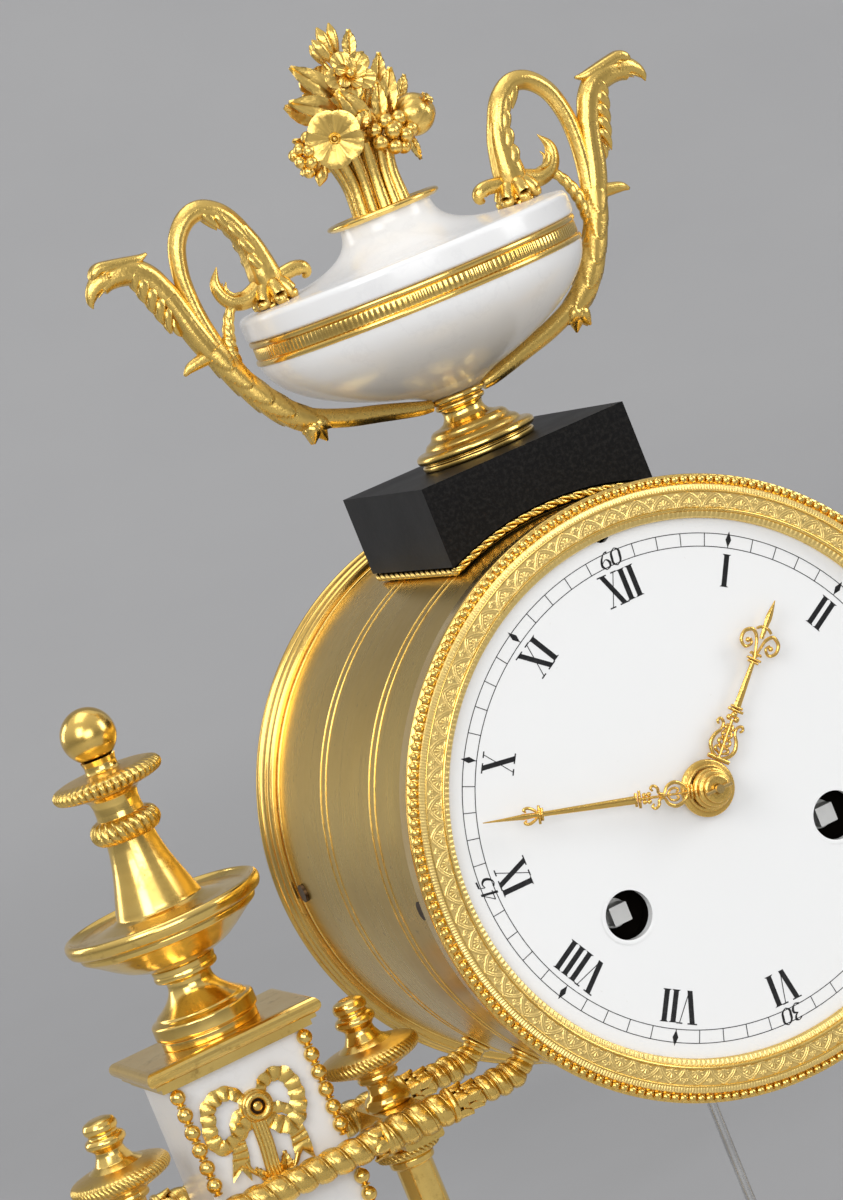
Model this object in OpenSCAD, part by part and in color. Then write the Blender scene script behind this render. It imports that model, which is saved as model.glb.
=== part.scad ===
// Portico mantel clock: a drum with a round striking movement hangs between two
// marble pillars, under a slate block and an urn of flowers. A pendulum swings below.
// Millimetres. Z is up, the dial faces -Y, and the origin is under the middle of the base.

/* [Base] */
// How far the base runs on past the middle of an outer column
base_end = 33.1; // [24:0.1:60]
// Depth of the marble base
base_d = 130; // [124:1:160]
// Height of the marble base
base_h = 28; // [20:1:40]
// Height of the lower step of the base
base_step_h = 9; // [5:1:14]
// How far the lower step stands out
base_step = 4; // [2:1:8]
// Diameter of a bead on the base moulding
base_bead = 3.2; // [2.4:0.2:4]
// Number of feet along the front
foot_count = 3; // [2:1:4]
// Diameter of a turned foot
foot_d = 22; // [16:1:28]
// Height of the feet
foot_h = 18; // [12:1:26]
// Distance of the feet from the edge of the base
foot_inset = 16; // [14:1:24]
// Height of the pierced frieze on the front of the base
frieze_h = 9; // [6:1:12]

/* [Pillars] */
// Distance of a pillar's middle from the middle of the clock
pillar_x = 102.5; // [98:0.5:108]
// Width of a marble pillar
pillar_w = 31; // [27:0.5:34]
// Depth of a marble pillar
pillar_d = 21; // [17:0.5:24]
// Height of the marble of a pillar
pillar_h = 221.6; // [205:1:240]
// Height of the gilt socle under a pillar
socle_h = 16; // [11:1:24]
// How far the socle stands out round the pillar
socle_out = 4.5; // [3:0.5:7]
// How far the cornice stands out round the pillar
cornice_out = 4.5; // [3:0.5:6]
// Height of the cornice
cornice_h = 5.5; // [4:0.5:8]
// Diameter of a bead of the strings on the pillar's edges
string_bead = 3.1; // [2.6:0.1:3.4]
// Pitch of the beads of those strings
string_pitch = 4.05; // [3.8:0.05:5]
// Thickness of the bow and sheaf mount
trophy_t = 1.6; // [1:0.1:2.4]
// Radius of the bolt that holds the mount
trophy_bolt_r = 1.5; // [1:0.1:2]

/* [Pillar finials] */
// Height of the foot of a pillar finial
finial_foot_h = 16; // [13:0.5:20]
// Radius of the drum of that foot
finial_foot_r = 11.3; // [9:0.1:13]
// Radius of the dish
finial_dish_r = 21.6; // [18:0.2:25]
// Depth of the dish
finial_dish_h = 12; // [10:0.5:15]
// Height of the stem, from the dish to the ball
finial_stem_h = 34.5; // [30:0.5:40]
// Radius of the ball
finial_ball_r = 5.9; // [5:0.1:7]

/* [Columns] */
// Distance of the inner and outer columns from their pillar's middle
column_off = 29.4; // [27:0.2:34]
// Diameter of a column's shaft
column_d = 8.2; // [7:0.2:10]
// Radius of a column's capital
capital_r = 8.3; // [7:0.1:9]
// Height of a column's foot
column_foot_h = 14; // [10:1:18]
// Height of the cross block on a column
cross_h = 7.6; // [7:0.2:10]
// Width of the cross block
cross_w = 9; // [7:0.5:11]
// Height of the finial on a column
column_finial_h = 24.4; // [21:0.5:28]

/* [Twisted bars] */
// Diameter of a twisted bar
bar_d = 6.2; // [5:0.2:6.8]
// Distance of the bars from the middle of the clock, front and back
bar_y = 15; // [14.6:0.2:18]
// Height of the bars below the top of the cornice
bar_drop = 33.1; // [30:0.1:40]
// Radius of the flange that seats on the drum
flange_r = 4.4; // [3.6:0.2:5.4]
// Thickness of the flange
flange_t = 1.4; // [1:0.1:2]

/* [Drum] */
// Outer radius of the drum
drum_r = 61.5; // [60.4:0.1:62.6]
// Thickness of the drum's wall
drum_wall = 1.4; // [1:0.1:1.8]
// Height of the drum's middle above the twisted bars
drum_rise = 44; // [43:0.1:46]
// Depth from the dial's plane to the back of the rear ring
case_d = 99.7; // [99:0.1:104]
// Width of the bezel, from the back of its rim to the dial's plane
bezel_d = 6; // [5:0.2:8]
// Width of the bezel from the drum's outside in to the seen dial
bezel_w = 6.5; // [6.1:0.1:7.1]
// How far the rear ring stands out past the drum
rear_ring_out = 2.9; // [2.3:0.1:4.5]
// Width of the rear ring
rear_ring_w = 7.5; // [6:0.5:9]
// How far the rear ring reaches in from the drum's outside
rear_ring_in = 6.5; // [4.5:0.1:9.5]
// Width of the slot for the pendulum
slot_w = 26; // [22:1:32]

/* [Dial and hands] */
// Thickness of the enamelled dial
dial_t = 1.6; // [1.2:0.1:2.2]
// Height of the dial's dome
dial_dome = 0.8; // [0.4:0.1:1.2]
// Distance of a winding square from the middle, sideways
wind_x = 25; // [24.6:0.1:26]
// Distance of a winding square from the middle, downwards
wind_drop = 17.1; // [16.6:0.1:18]
// Radius of a winding hole
wind_hole_r = 5.1; // [4.2:0.1:5.6]
// Length of the hour hand
hour_len = 41; // [34:0.5:44]
// Length of the minute hand
minute_len = 50; // [44:0.5:52]
// Direction of the hour hand, clockwise from twelve
hour_angle = 44.7; // [0:0.1:360]
// Direction of the minute hand, clockwise from twelve
minute_angle = 285.8; // [0:0.1:360]
// Thickness of a hand
hand_t = 0.8; // [0.6:0.1:1]

/* [Movement] */
// Room between the movement's plates and the drum
plate_room = 8.1; // [6:0.1:8.5]
// Thickness of a plate
plate_t = 2; // [1.6:0.1:2.4]
// Distance from the dial's plane to the front plate
dial_gap = 10; // [9.8:0.1:12]
// Distance between the plates
plate_gap = 38; // [37.6:0.2:42]
// Radius of a spring barrel
barrel_r = 17; // [14:0.5:18]
// Radial clearance of a running fit
run_fit = 0.05; // [0.03:0.01:0.08]
// Distance of the minute wheel's arbor from the middle
motion_c = 16; // [16:0.5:18]
// Radius of the bell
bell_r = 38; // [34:0.5:39]
// Thickness of the bell
bell_t = 1.2; // [1:0.1:2]

/* [Pendulum] */
// Height of the pendulum's bending point above the dial's middle
pivot_rise = 39; // [38.6:0.1:40]
// Distance from the back plate to the pendulum
pendulum_gap = 14; // [13:0.5:16]
// Radius of the pendulum's rod
rod_r = 1.1; // [0.8:0.05:1.4]
// Distance from the bending point to the middle of the bob
bob_drop = 227; // [200:1:235]
// Radius of the bob
bob_r = 28; // [22:1:32]
// Thickness of the bob
bob_t = 11; // [8:0.5:14]

/* [Slate block and urn] */
// Width of the slate block
slate_w = 48.4; // [42:0.2:52]
// Depth of the slate block
slate_d = 51; // [46:0.5:60]
// Height of the block's top above the dial's middle
slate_rise = 76.8; // [75:0.1:82]
// Height of the block's sides
slate_h = 17.6; // [14:0.2:19]
// Rise of the arch cut into the block's front edge
slate_arch = 5; // [4:0.2:9]
// Diameter of the rope trim under the block
rope_d = 2; // [1.4:0.1:2.4]
// Height of the urn's foot
urn_foot_h = 13.9; // [11:0.1:18]
// Radius of the urn's foot
urn_foot_r = 13.3; // [10:0.1:15]
// Radius of the urn
urn_r = 37; // [34:0.2:40]
// Height of the urn's bowl
bowl_h = 20.4; // [18:0.2:24]
// Height of the gilt band
band_h = 5.4; // [4:0.2:7]
// Height of the rim of the lid
lid_rim_h = 5.2; // [3:0.2:6]
// Height of the lid above its rim
lid_h = 9.4; // [8:0.2:13]
// Radius of the lid's neck
neck_r = 10.2; // [8.6:0.2:11]
// Height of the bouquet above the lid
bouquet_h = 42; // [36:0.5:48]
// Thickness of the handles at their thickest
handle_d = 4.2; // [3.4:0.1:5]

/* [Hidden] */
$fn = 64;
eps = 0.01;
gilt = "gold";

// Heights, from the table up
base_w = 2 * (pillar_x + column_off + base_end);
base_top = foot_h + base_h;
pillar_bottom = base_top + socle_h;
cornice_bottom = pillar_bottom + pillar_h;
cornice_top = cornice_bottom + cornice_h;
bar_z = cornice_top - bar_drop;
dial_z = bar_z + drum_rise;
cross_top = bar_z + 2.5;
cross_bottom = cross_top - cross_h;

// Depths, from the dial back
dial_y = 1.85 - case_d / 2;
ring_back = dial_y + case_d;
rim_back = dial_y + bezel_d;
drum_in = drum_r - drum_wall;
dial_r = drum_r - bezel_w;
bead_ring_r = drum_r + 1.9;
rear_ring_r = drum_r + rear_ring_out;
rear_open_r = drum_r - rear_ring_in;
plate_r = drum_in - plate_room;
front_plate_y = dial_y + dial_gap;
inside_y = front_plate_y + plate_t;
rear_plate_y = inside_y + plate_gap;
rear_face_y = rear_plate_y + plate_t;
pendulum_y = rear_face_y + pendulum_gap;
bell_y = pendulum_y + 9;
door_y = ring_back + 0.2;
door_t = 1.2;
pin_r = 0.8;
hinge_x = rear_ring_r - 1.5;
hinge_y = door_y + door_t + 0.3;

// Working radii of the movement's pieces
arbor_r = 1.2;
wheel_t = 1.4;
square_w = 4;
great_r = 20;
great_y = inside_y + 2;
mid_r = 13.6;
mid_pinion_r = 3;
mid_y = rear_plate_y - 7;
centre_pinion_r = 3.2;
centre_r = 15;
centre_y = rear_plate_y - 3.5;
escape_r = 9;
pin_wheel_r = 12;
warning_r = 9;
fly_r = 5.4;
ratchet_r = 8.5;
hammer_r = 24;
crutch_drop = 40;

// Places of the arbors, seen from the front, from the dial's middle
going_at = [wind_x, -wind_drop];
strike_at = [-wind_x, -wind_drop];
mid_at = [2.1, -16.7];
third_at = [8.6, 15.1];
third_r = 11.5;
escape_at = [0, pivot_rise - 13.2];
strike_mid_at = [-16.3, 4.1];
pin_wheel_at = [-20.5, 20.2];
warning_at = [-28.5, 31.9];
fly_at = [-17.8, 34.5];
hammer_at = [-42, -2];
bell_at = [0, -8];
minute_at = motion_c * [-cos(45), sin(45)];
plate_posts = [[-40, 24], [40, 24], [-10, -45.5], [10, -45.5]];
post_r = 3.2;
dial_feet = [[0, -38], [-38, 12], [38, 12]];

// Motion work
cannon_teeth = 16;
minute_teeth = 48;
minute_pinion_teeth = 12;
hour_teeth = 48;
cannon_module = 2 * motion_c / (cannon_teeth + minute_teeth);
hour_module = 2 * motion_c / (minute_pinion_teeth + hour_teeth);
cannon_y = front_plate_y - 3.4;
minute_wheel_y = front_plate_y - 3;
hour_wheel_y = front_plate_y - 6.2;
cannon_bore_r = 0.9;
cannon_r = 1.7;
pipe_r = 3.1;
hand_front = dial_y - 6;
hour_hand_y = dial_y - 3.6;

// A straight cylinder that runs back along Y from y, at x and z
module along_y(x, y, z, r, length) {
    translate([x, y, z])
        rotate([-90, 0, 0])
            cylinder(r = r, h = length);
}

// The same, placed by a point of the movement
module arbor_y(at, y, r, length) {
    along_y(at[0], y, dial_z + at[1], r, length);
}

// A turned piece about Y: the profile's x is the radius and its y runs backwards
module turned_y(profile, x = 0, z = dial_z) {
    translate([x, 0, z])
        rotate([-90, 0, 0])
            rotate_extrude($fn = 96)
                polygon(profile);
}

// A turned piece about Z
module turned(profile) {
    rotate_extrude($fn = 64)
        polygon(profile);
}

// Points of a round hollow between two points of a profile
function hollow(a, b, depth, steps = 8) =
    [for (i = [0 : steps]) let (t = i / steps, s = sin(180 * t))
        [a[0] + (b[0] - a[0]) * t - depth * s, a[1] + (b[1] - a[1]) * t]];

// A row of round points, for a torus edge of a profile
function bulge(middle, r, from, to, steps = 8) =
    [for (i = [0 : steps]) let (t = from + (to - from) * i / steps)
        [middle[0] + r * cos(t), middle[1] + r * sin(t)]];

module both_sides() {
    children();
    mirror([1, 0, 0])
        children();
}

// A flat ribbon through points of a plane, with half its width at each
function unit(v) = v / norm(v);
function side_of(p, i) = let (d = unit(p[min(i + 1, len(p) - 1)] - p[max(i - 1, 0)])) [-d[1], d[0]];

module ribbon(p, half) {
    last = len(p) - 1;
    polygon(concat([for (i = [0 : last]) p[i] + side_of(p, i) * half[i]],
        [for (i = [last : -1 : 0]) p[i] - side_of(p, i) * half[i]]));
}

// A gear outline with straight-sided teeth
module gear_outline(teeth, m, above = 0.55, below = 0.85, width = 0.36) {
    pitch_r = teeth * m / 2;
    step = 360 / teeth;
    tip = pitch_r + above * m;
    root = pitch_r - below * m;
    polygon([for (i = [0 : teeth - 1]) for (c = [[-width * 0.64, root], [-width * 0.3, tip], [width * 0.3, tip],
        [width * 0.64, root]]) let (a = (i + c[0]) * step) c[1] * [sin(a), cos(a)]]);
}

module gear_y(at, y, thickness, teeth, m, turn = 0) {
    translate([at[0], y + thickness, dial_z + at[1]])
        rotate([90, 0, 0])
            linear_extrude(thickness)
                rotate(turn)
                    gear_outline(teeth, m);
}

// A light wheel: rim, four arms and hub, with trimmed teeth that stop at its radius
module train_wheel(at, y, r, teeth, thickness = wheel_t) {
    translate([at[0], y + thickness, dial_z + at[1]])
        rotate([90, 0, 0])
            linear_extrude(thickness) {
                difference() {
                    polygon([for (i = [0 : teeth * 2 - 1]) let (a = 180 * i / teeth)
                        (i % 2 == 0 ? r - 0.15 : r - 0.9) * [sin(a), cos(a)]]);
                    circle(r * 0.78);
                }
                circle(r * 0.24);
                for (i = [0, 1])
                    rotate(90 * i)
                        square([r * 1.6, r * 0.13], center = true);
            }
}

module train_arbor(at, pinion_y, pinion_r, pinion_len) {
    arbor_y(at, inside_y + run_fit, arbor_r, plate_gap - 2 * run_fit);
    arbor_y(at, inside_y - plate_t * 0.8, 0.6, plate_gap + plate_t * 1.6);
    if (pinion_r > 0)
        arbor_y(at, pinion_y, pinion_r - 0.1, pinion_len);
}

module base_plinth() {
    color("whitesmoke")
        difference() {
            union() {
                translate([-base_w / 2, -base_d / 2, foot_h])
                    cube([base_w, base_d, base_step_h]);
                translate([-base_w / 2 + base_step, -base_d / 2 + base_step, foot_h])
                    cube([base_w - 2 * base_step, base_d - 2 * base_step, base_h]);
            }
            at_feet()
                translate([0, 0, foot_h - eps])
                    cylinder(r = foot_stud_r, h = foot_stud_h + eps);
        }
}

foot_stud_r = 2.5;
foot_stud_h = 10;

module at_feet() {
    for (i = [0 : foot_count - 1])
        for (s = [-1, 1])
            translate([(i / (foot_count - 1) - 0.5) * (base_w - 2 * foot_inset), s * (base_d / 2 - foot_inset), 0])
                children();
}

module base_feet() {
    color(gilt)
        at_feet() {
            turned(concat([[0, 0], [foot_d * 0.24, 0], [foot_d * 0.3, foot_h * 0.12]],
                bulge([foot_d * 0.32, foot_h * 0.45], foot_d * 0.18, -60, 60),
                [[foot_d * 0.27, foot_h * 0.72], [foot_d * 0.46, foot_h * 0.8], [foot_d * 0.46, foot_h], [0, foot_h]]));
            translate([0, 0, foot_h - eps])
                cylinder(r = foot_stud_r - run_fit, h = foot_stud_h - 0.5 + eps);
        }
}

// Bead moulding on the step, and a pierced frieze on the front
module base_mounts() {
    step_z = foot_h + base_step_h;
    face_x = base_w / 2 - base_step;
    face_y = base_d / 2 - base_step;
    rail = base_bead * 0.5;
    frieze_z = (step_z + base_bead + base_top) / 2;
    panel_w = 2 * (pillar_x - column_off - pillar_w / 2);
    motif_count = floor(panel_w / (frieze_h * 1.5));
    motif_pitch = panel_w / motif_count;
    color(gilt) {
        for (s = [-1, 1]) {
            translate([-face_x - rail, s > 0 ? face_y : -face_y - rail, step_z])
                cube([2 * (face_x + rail), rail, rail]);
            translate([s > 0 ? face_x : -face_x - rail, -face_y, step_z])
                cube([rail, 2 * face_y, rail]);
        }
        front_beads = floor(2 * face_x / (base_bead * 1.25));
        for (i = [0 : front_beads - 1])
            translate([(i + 0.5) / front_beads * 2 * face_x - face_x, -face_y - base_bead / 2 - eps, step_z + base_bead / 2 + eps])
                sphere(d = base_bead, $fn = 16);
        for (z = [-1, 1])
            translate([-panel_w / 2, -face_y - 1, frieze_z + z * (frieze_h / 2 - 0.6) - 0.6])
                cube([panel_w, 1, 1.2]);
        for (i = [0 : motif_count - 1])
            translate([(i + 0.5) * motif_pitch - panel_w / 2, -face_y, frieze_z])
                rotate([90, 0, 0]) {
                    difference() {
                        cylinder(d = frieze_h * 0.94, h = 1);
                        translate([0, 0, -1])
                            cylinder(d = frieze_h * 0.66, h = 3);
                    }
                    cylinder(d = frieze_h * 0.34, h = 1.4);
                    translate([-motif_pitch / 2, -0.5, 0])
                        cube([motif_pitch, 1, 0.8]);
                }
    }
}

// A stepped block round a rectangle, from its lowest band up: [how far out, height]
module banded_block(w, d, z, bands) {
    for (i = [0 : len(bands) - 1]) {
        below = i == 0 ? 0 : bands[i - 1][1];
        translate([-w / 2 - bands[i][0], -d / 2 - bands[i][0], z + below])
            cube([w + 2 * bands[i][0], d + 2 * bands[i][0], bands[i][1] - below]);
    }
}

module pillar_socles() {
    color(gilt)
        both_sides()
            translate([pillar_x, 0, 0])
                banded_block(pillar_w, pillar_d, base_top, [[socle_out, socle_h * 0.5],
                    [socle_out * 0.75, socle_h * 0.62], [socle_out * 0.3, socle_h * 0.8], [socle_out * 0.55, socle_h]]);
}

module pillar() {
    translate([pillar_x, 0, 0])
        difference() {
            translate([-pillar_w / 2, -pillar_d / 2, pillar_bottom])
                cube([pillar_w, pillar_d, pillar_h]);
            trophy_hole();
            translate([0, 0, cornice_bottom - finial_stud_l])
                cylinder(r = finial_stud_r + run_fit, h = finial_stud_l + eps);
        }
}

trophy_drop = 10.5;
finial_stud_r = 2;
finial_stud_l = 20;

module trophy_hole() {
    translate([0, -pillar_d / 2 - eps, cornice_bottom - trophy_drop])
        rotate([-90, 0, 0])
            cylinder(r = trophy_bolt_r + run_fit, h = 8);
}

module pillar_left() {
    color("white")
        mirror([1, 0, 0])
            pillar();
}

module pillar_right() {
    color("white")
        pillar();
}

// Half the section of a cornice, from its middle out: a round nose over a fillet and a step
function cornice_section(half) = let (nose = cornice_h * 0.3)
    concat([[-half - cornice_out * 0.4, 0], [half + cornice_out * 0.4, 0],
        [half + cornice_out * 0.4, cornice_h * 0.24], [half + cornice_out * 0.66, cornice_h * 0.24],
        [half + cornice_out * 0.66, cornice_h - 2 * nose]],
        bulge([half + cornice_out - nose, cornice_h - nose], nose, -90, 90),
        bulge([-half - cornice_out + nose, cornice_h - nose], nose, 90, 270),
        [[-half - cornice_out * 0.66, cornice_h - 2 * nose], [-half - cornice_out * 0.66, cornice_h * 0.24],
        [-half - cornice_out * 0.4, cornice_h * 0.24]]);

module cornices() {
    long = pillar_w + pillar_d;
    color(gilt)
        both_sides()
            translate([pillar_x, 0, cornice_bottom])
                difference() {
                    intersection() {
                        rotate([90, 0, 0])
                            linear_extrude(long, center = true)
                                polygon(cornice_section(pillar_w / 2));
                        rotate([90, 0, 90])
                            linear_extrude(long, center = true)
                                polygon(cornice_section(pillar_d / 2));
                    }
                    translate([0, 0, -eps])
                        cylinder(r = finial_stud_r + run_fit, h = cornice_h + 2 * eps);
                }
}

// Bead strings down the front edges of the pillars, each on a thin rod
module pillar_beads() {
    bead_count = floor((pillar_h - 6) / string_pitch);
    stop = bar_d / 2 + string_gap;
    rod_r = string_bead * 0.22;
    color(gilt)
        both_sides()
            for (s = [-1, 1])
                translate([pillar_x + s * (pillar_w / 2 - string_bead * 0.25), -pillar_d / 2 - string_bead / 2 - eps, 0]) {
                    for (i = [0 : bead_count - 1])
                        let (z = cornice_bottom - (i + 0.8) * string_pitch)
                            if (abs(z - bar_z) > stop + string_bead / 2)
                                translate([0, 0, z])
                                    sphere(d = string_bead, $fn = 16);
                    translate([0, 0, pillar_bottom])
                        cylinder(r = rod_r, h = bar_z - stop - pillar_bottom, $fn = 16);
                    translate([0, 0, bar_z + stop])
                        cylinder(r = rod_r, h = cornice_bottom - bar_z - stop, $fn = 16);
                }
}

string_gap = 0.4;

// Ribbon bow over a hanging sheaf: loops, knot, tails and stalks
module trophies() {
    color(gilt)
        both_sides()
            translate([pillar_x, -pillar_d / 2, cornice_bottom - trophy_drop])
                rotate([90, 0, 0]) {
                    difference() {
                        union() {
                            for (s = [-1, 1])
                                translate([s * 5.6, 1.6, 0])
                                    cylinder(r = 4.6, h = trophy_t);
                            cylinder(r = 3.2, h = trophy_t + 0.8);
                            translate([-2.4, -11, 0])
                                cube([4.8, 11, trophy_t]);
                            for (s = [-1, 1])
                                rotate(s * 24)
                                    translate([-1.7, -13.5, 0])
                                        cube([3.4, 13.5, trophy_t * 0.7]);
                        }
                        for (s = [-1, 1])
                            translate([s * 5.8, 1.6, -1])
                                cylinder(r = 2.1, h = 6);
                        translate([0, 0, -1])
                            cylinder(r = trophy_bolt_r + run_fit, h = 6);
                    }
                }
}

module trophy_bolts() {
    color("darkgoldenrod")
        both_sides()
            translate([pillar_x, -pillar_d / 2 - trophy_t - 0.8, cornice_bottom - trophy_drop])
                rotate([90, 0, 0]) {
                    cylinder(r = trophy_bolt_r * 1.6, h = 1);
                    translate([0, 0, -trophy_t - 7])
                        cylinder(r = trophy_bolt_r, h = trophy_t + 7.5);
                }
}

module finial_foot() {
    r = finial_foot_r;
    h = finial_foot_h;
    turned(concat([[0, 0], [r * 0.94, 0], [r * 0.94, h * 0.12], [r, h * 0.14], [r, h * 0.34], [r * 0.87, h * 0.37],
        [r * 0.83, h * 0.42]], hollow([r * 0.62, h * 0.46], [r * 0.52, h * 0.86], r * 0.13),
        [[r * 0.62, h * 0.9], [r * 0.62, h], [0, h]]));
}

module finial_feet() {
    color(gilt)
        both_sides()
            translate([pillar_x, 0, cornice_top]) {
                difference() {
                    finial_foot();
                    translate([0, 0, finial_foot_h - 8])
                        cylinder(r = finial_stud_r + run_fit, h = 8 + eps);
                }
                translate([0, 0, -finial_stud_l])
                    cylinder(r = finial_stud_r, h = finial_stud_l + 4);
            }
}

// Dish, waisted stem with a cable ring and a gadrooned flange, and ball
module finial() {
    r = finial_dish_r;
    h = finial_dish_h;
    stem = finial_stem_h;
    base_z = finial_foot_h;
    top_z = base_z + h - 1.5;
    turned(concat([[0, base_z], [r * 0.32, base_z], [r * 0.66, base_z + h * 0.24], [r * 0.9, base_z + h * 0.45],
        [r * 0.9, base_z + h * 0.66], [r, base_z + h * 0.7], [r, base_z + h], [r * 0.95, base_z + h],
        [r * 0.92, top_z], [r * 0.45, top_z]],
        [for (i = [0 : 6]) let (t = i / 6) [r * (0.235 + 0.2 * pow(1 - t, 2.2)), top_z + stem * 0.46 * t]],
        bulge([r * 0.27, top_z + stem * 0.52], 1.8, -70, 70, 6),
        [[r * 0.23, top_z + stem * 0.58], [r * 0.235, top_z + stem * 0.72], [r * 0.3, top_z + stem * 0.78],
        [r * 0.52, top_z + stem * 0.79], [r * 0.55, top_z + stem * 0.84], [r * 0.48, top_z + stem * 0.88],
        [r * 0.22, top_z + stem * 0.89], [r * 0.18, top_z + stem], [0, top_z + stem]]));
    translate([0, 0, top_z + stem + finial_ball_r * 0.72])
        sphere(r = finial_ball_r);
    translate([0, 0, base_z - 7])
        cylinder(r = finial_stud_r, h = 8);
}

module finial_left() {
    color(gilt)
        translate([-pillar_x, 0, cornice_top])
            finial();
}

module finial_right() {
    color(gilt)
        translate([pillar_x, 0, cornice_top])
            finial();
}

module at_columns(side) {
    for (s = [-1, 1])
        translate([side * (pillar_x + s * column_off), 0, 0])
            children();
}

module bar_cut() {
    for (s = [-1, 1])
        translate([-20, s * bar_y, bar_z])
            rotate([0, 90, 0])
                cylinder(d = sleeve_d + 2 * seat_gap, h = 40);
}

module column() {
    r = column_d / 2;
    foot = column_foot_h;
    cap = cross_bottom - base_top;
    difference() {
        union() {
            translate([0, 0, base_top])
                turned([[0, 0], [r * 2.2, 0], [r * 2.2, foot * 0.3], [r * 1.9, foot * 0.36], [r * 1.9, foot * 0.55],
                    [r * 1.5, foot * 0.75], [r * 1.5, foot * 0.85], [r, foot], [r, cap - 5.6], [r * 1.25, cap - 5.2],
                    [r * 1.3, cap - 4.4], [capital_r * 0.88, cap - 3.6], [capital_r, cap - 2.4],
                    [capital_r * 0.97, cap - 0.8], [capital_r * 0.8, cap], [0, cap]]);
            translate([-cross_w / 2, -bar_y, cross_bottom])
                cube([cross_w, 2 * bar_y, cross_h]);
        }
        bar_cut();
        translate([0, 0, cross_top - 6])
            cylinder(r = column_stud_r + run_fit, h = 6 + eps);
    }
}

column_stud_r = 1.4;

module columns_left() {
    color(gilt)
        at_columns(-1)
            column();
}

module columns_right() {
    color(gilt)
        at_columns(1)
            column();
}

module column_finials() {
    h = column_finial_h;
    color(gilt)
        for (side = [-1, 1])
            at_columns(side)
                translate([0, 0, cross_top]) {
                    turned([[0, 0], [4.9, 0], [5.1, h * 0.06], [4.6, h * 0.11], [3.2, h * 0.17], [3.2, h * 0.22],
                        [4.4, h * 0.3], [9.6, h * 0.39], [11, h * 0.45], [10.3, h * 0.53], [6, h * 0.58],
                        [3.6, h * 0.66], [3.1, h * 0.73], [4.4, h * 0.78], [4.4, h * 0.84], [3.3, h * 0.87],
                        [3.7, h * 0.92], [3.1, h * 0.98], [0, h]]);
                    translate([0, 0, -5])
                        cylinder(r = column_stud_r, h = 6);
                }
}

// Where a bar meets the drum: straight in, then bent square to the drum's side
bar_bend_r = 8;
flange_at = drum_r + flange_t;
bar_turn = asin((drum_rise - bar_bend_r) / norm([flange_at, bar_bend_r])) + atan2(bar_bend_r, flange_at);
seat_gap = 0.03;
collar_w = 1.4;
sleeve_d = bar_d + 0.8;
sleeve_w = 18;

module twisted_bar(s) {
    bend_x = flange_at * cos(bar_turn) + bar_bend_r * sin(bar_turn);
    outer_x = pillar_x + column_off + sleeve_w / 2 + 1;
    translate([0, s * bar_y, bar_z]) {
        translate([bend_x, 0, 0])
            rotate([0, 90, 0])
                cylinder(d = bar_d, h = outer_x - bend_x);
        translate([outer_x, 0, 0])
            sphere(d = sleeve_d + 0.8, $fn = 32);
        translate([bend_x, 0, bar_bend_r])
            rotate([90, 0, 0])
                rotate([0, 0, 268 - bar_turn])
                    rotate_extrude(angle = bar_turn + 2, $fn = 64)
                        translate([bar_bend_r, 0])
                            circle(d = bar_d, $fn = 32);
        translate([bend_x - 0.7, 0, 0])
            rotate([0, 90, 0])
                cylinder(d = bar_d + 0.8, h = 1.6);
        for (side = [-1, 1])
            translate([pillar_x + side * column_off, 0, 0])
                rotate([0, 90, 0]) {
                    cylinder(d = sleeve_d, h = sleeve_w, center = true);
                    for (end = [-1, 1])
                        translate([0, 0, end * (sleeve_w / 2 - collar_w)])
                            cylinder(d = sleeve_d + 1, h = collar_w, center = true);
                }
    }
    difference() {
        translate([0, s * bar_y, dial_z])
            rotate([0, 90 + bar_turn, 0])
                translate([0, 0, drum_r - 1.2])
                    cylinder(r = flange_r, h = flange_t + 1.2);
        along_y(0, -bar_y * 2, dial_z, drum_r + seat_gap, bar_y * 4);
    }
}

module twisted_bars_left() {
    color(gilt)
        mirror([1, 0, 0])
            for (s = [-1, 1])
                twisted_bar(s);
}

module twisted_bars_right() {
    color(gilt)
        for (s = [-1, 1])
            twisted_bar(s);
}

// The drum, open below for the pendulum, with its engraved lines
line_w = 0.6;
line_deep = 0.25;
line_places = [26, 29.5, 58, 61.5];

module drum() {
    front = rim_back;
    back = ring_back - rear_ring_w;
    color("goldenrod")
        difference() {
            along_y(0, front, dial_z, drum_r, back - front);
            along_y(0, front - eps, dial_z, drum_in, back - front + 2 * eps);
            for (place = line_places)
                turned_y([[drum_r - line_deep, dial_y + place], [drum_r + 1, dial_y + place],
                    [drum_r + 1, dial_y + place + line_w], [drum_r - line_deep, dial_y + place + line_w]]);
            translate([-slot_w / 2, pendulum_y - 6, dial_z - drum_r - 1])
                cube([slot_w, 12, drum_r]);
            at_side_screws()
                cylinder(r = side_screw_r + run_fit, h = 20, center = true);
        }
}

side_screw_r = 1.2;
strap_w = 9;
strap_t = 1.2;

// Screws through the drum's sides, near its two rings
module at_side_screws() {
    for (side = [-1, 1])
        for (y = [rim_back + 4, ring_back - rear_ring_w - 4])
            translate([side * drum_in, y, dial_z])
                rotate([0, side * 90, 0])
                    children();
}

module case_screws() {
    color("dimgray")
        at_side_screws() {
            translate([0, 0, drum_wall + 0.02])
                cylinder(r = side_screw_r * 1.7, h = 0.7);
            translate([0, 0, -1.6])
                cylinder(r = side_screw_r, h = drum_wall + 2);
        }
}

// Bezel: rim, bead ring, hollow, ornament band, fillet and milled ring
bezel_bead = 1.8;
bezel_lip = 1.2;

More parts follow.
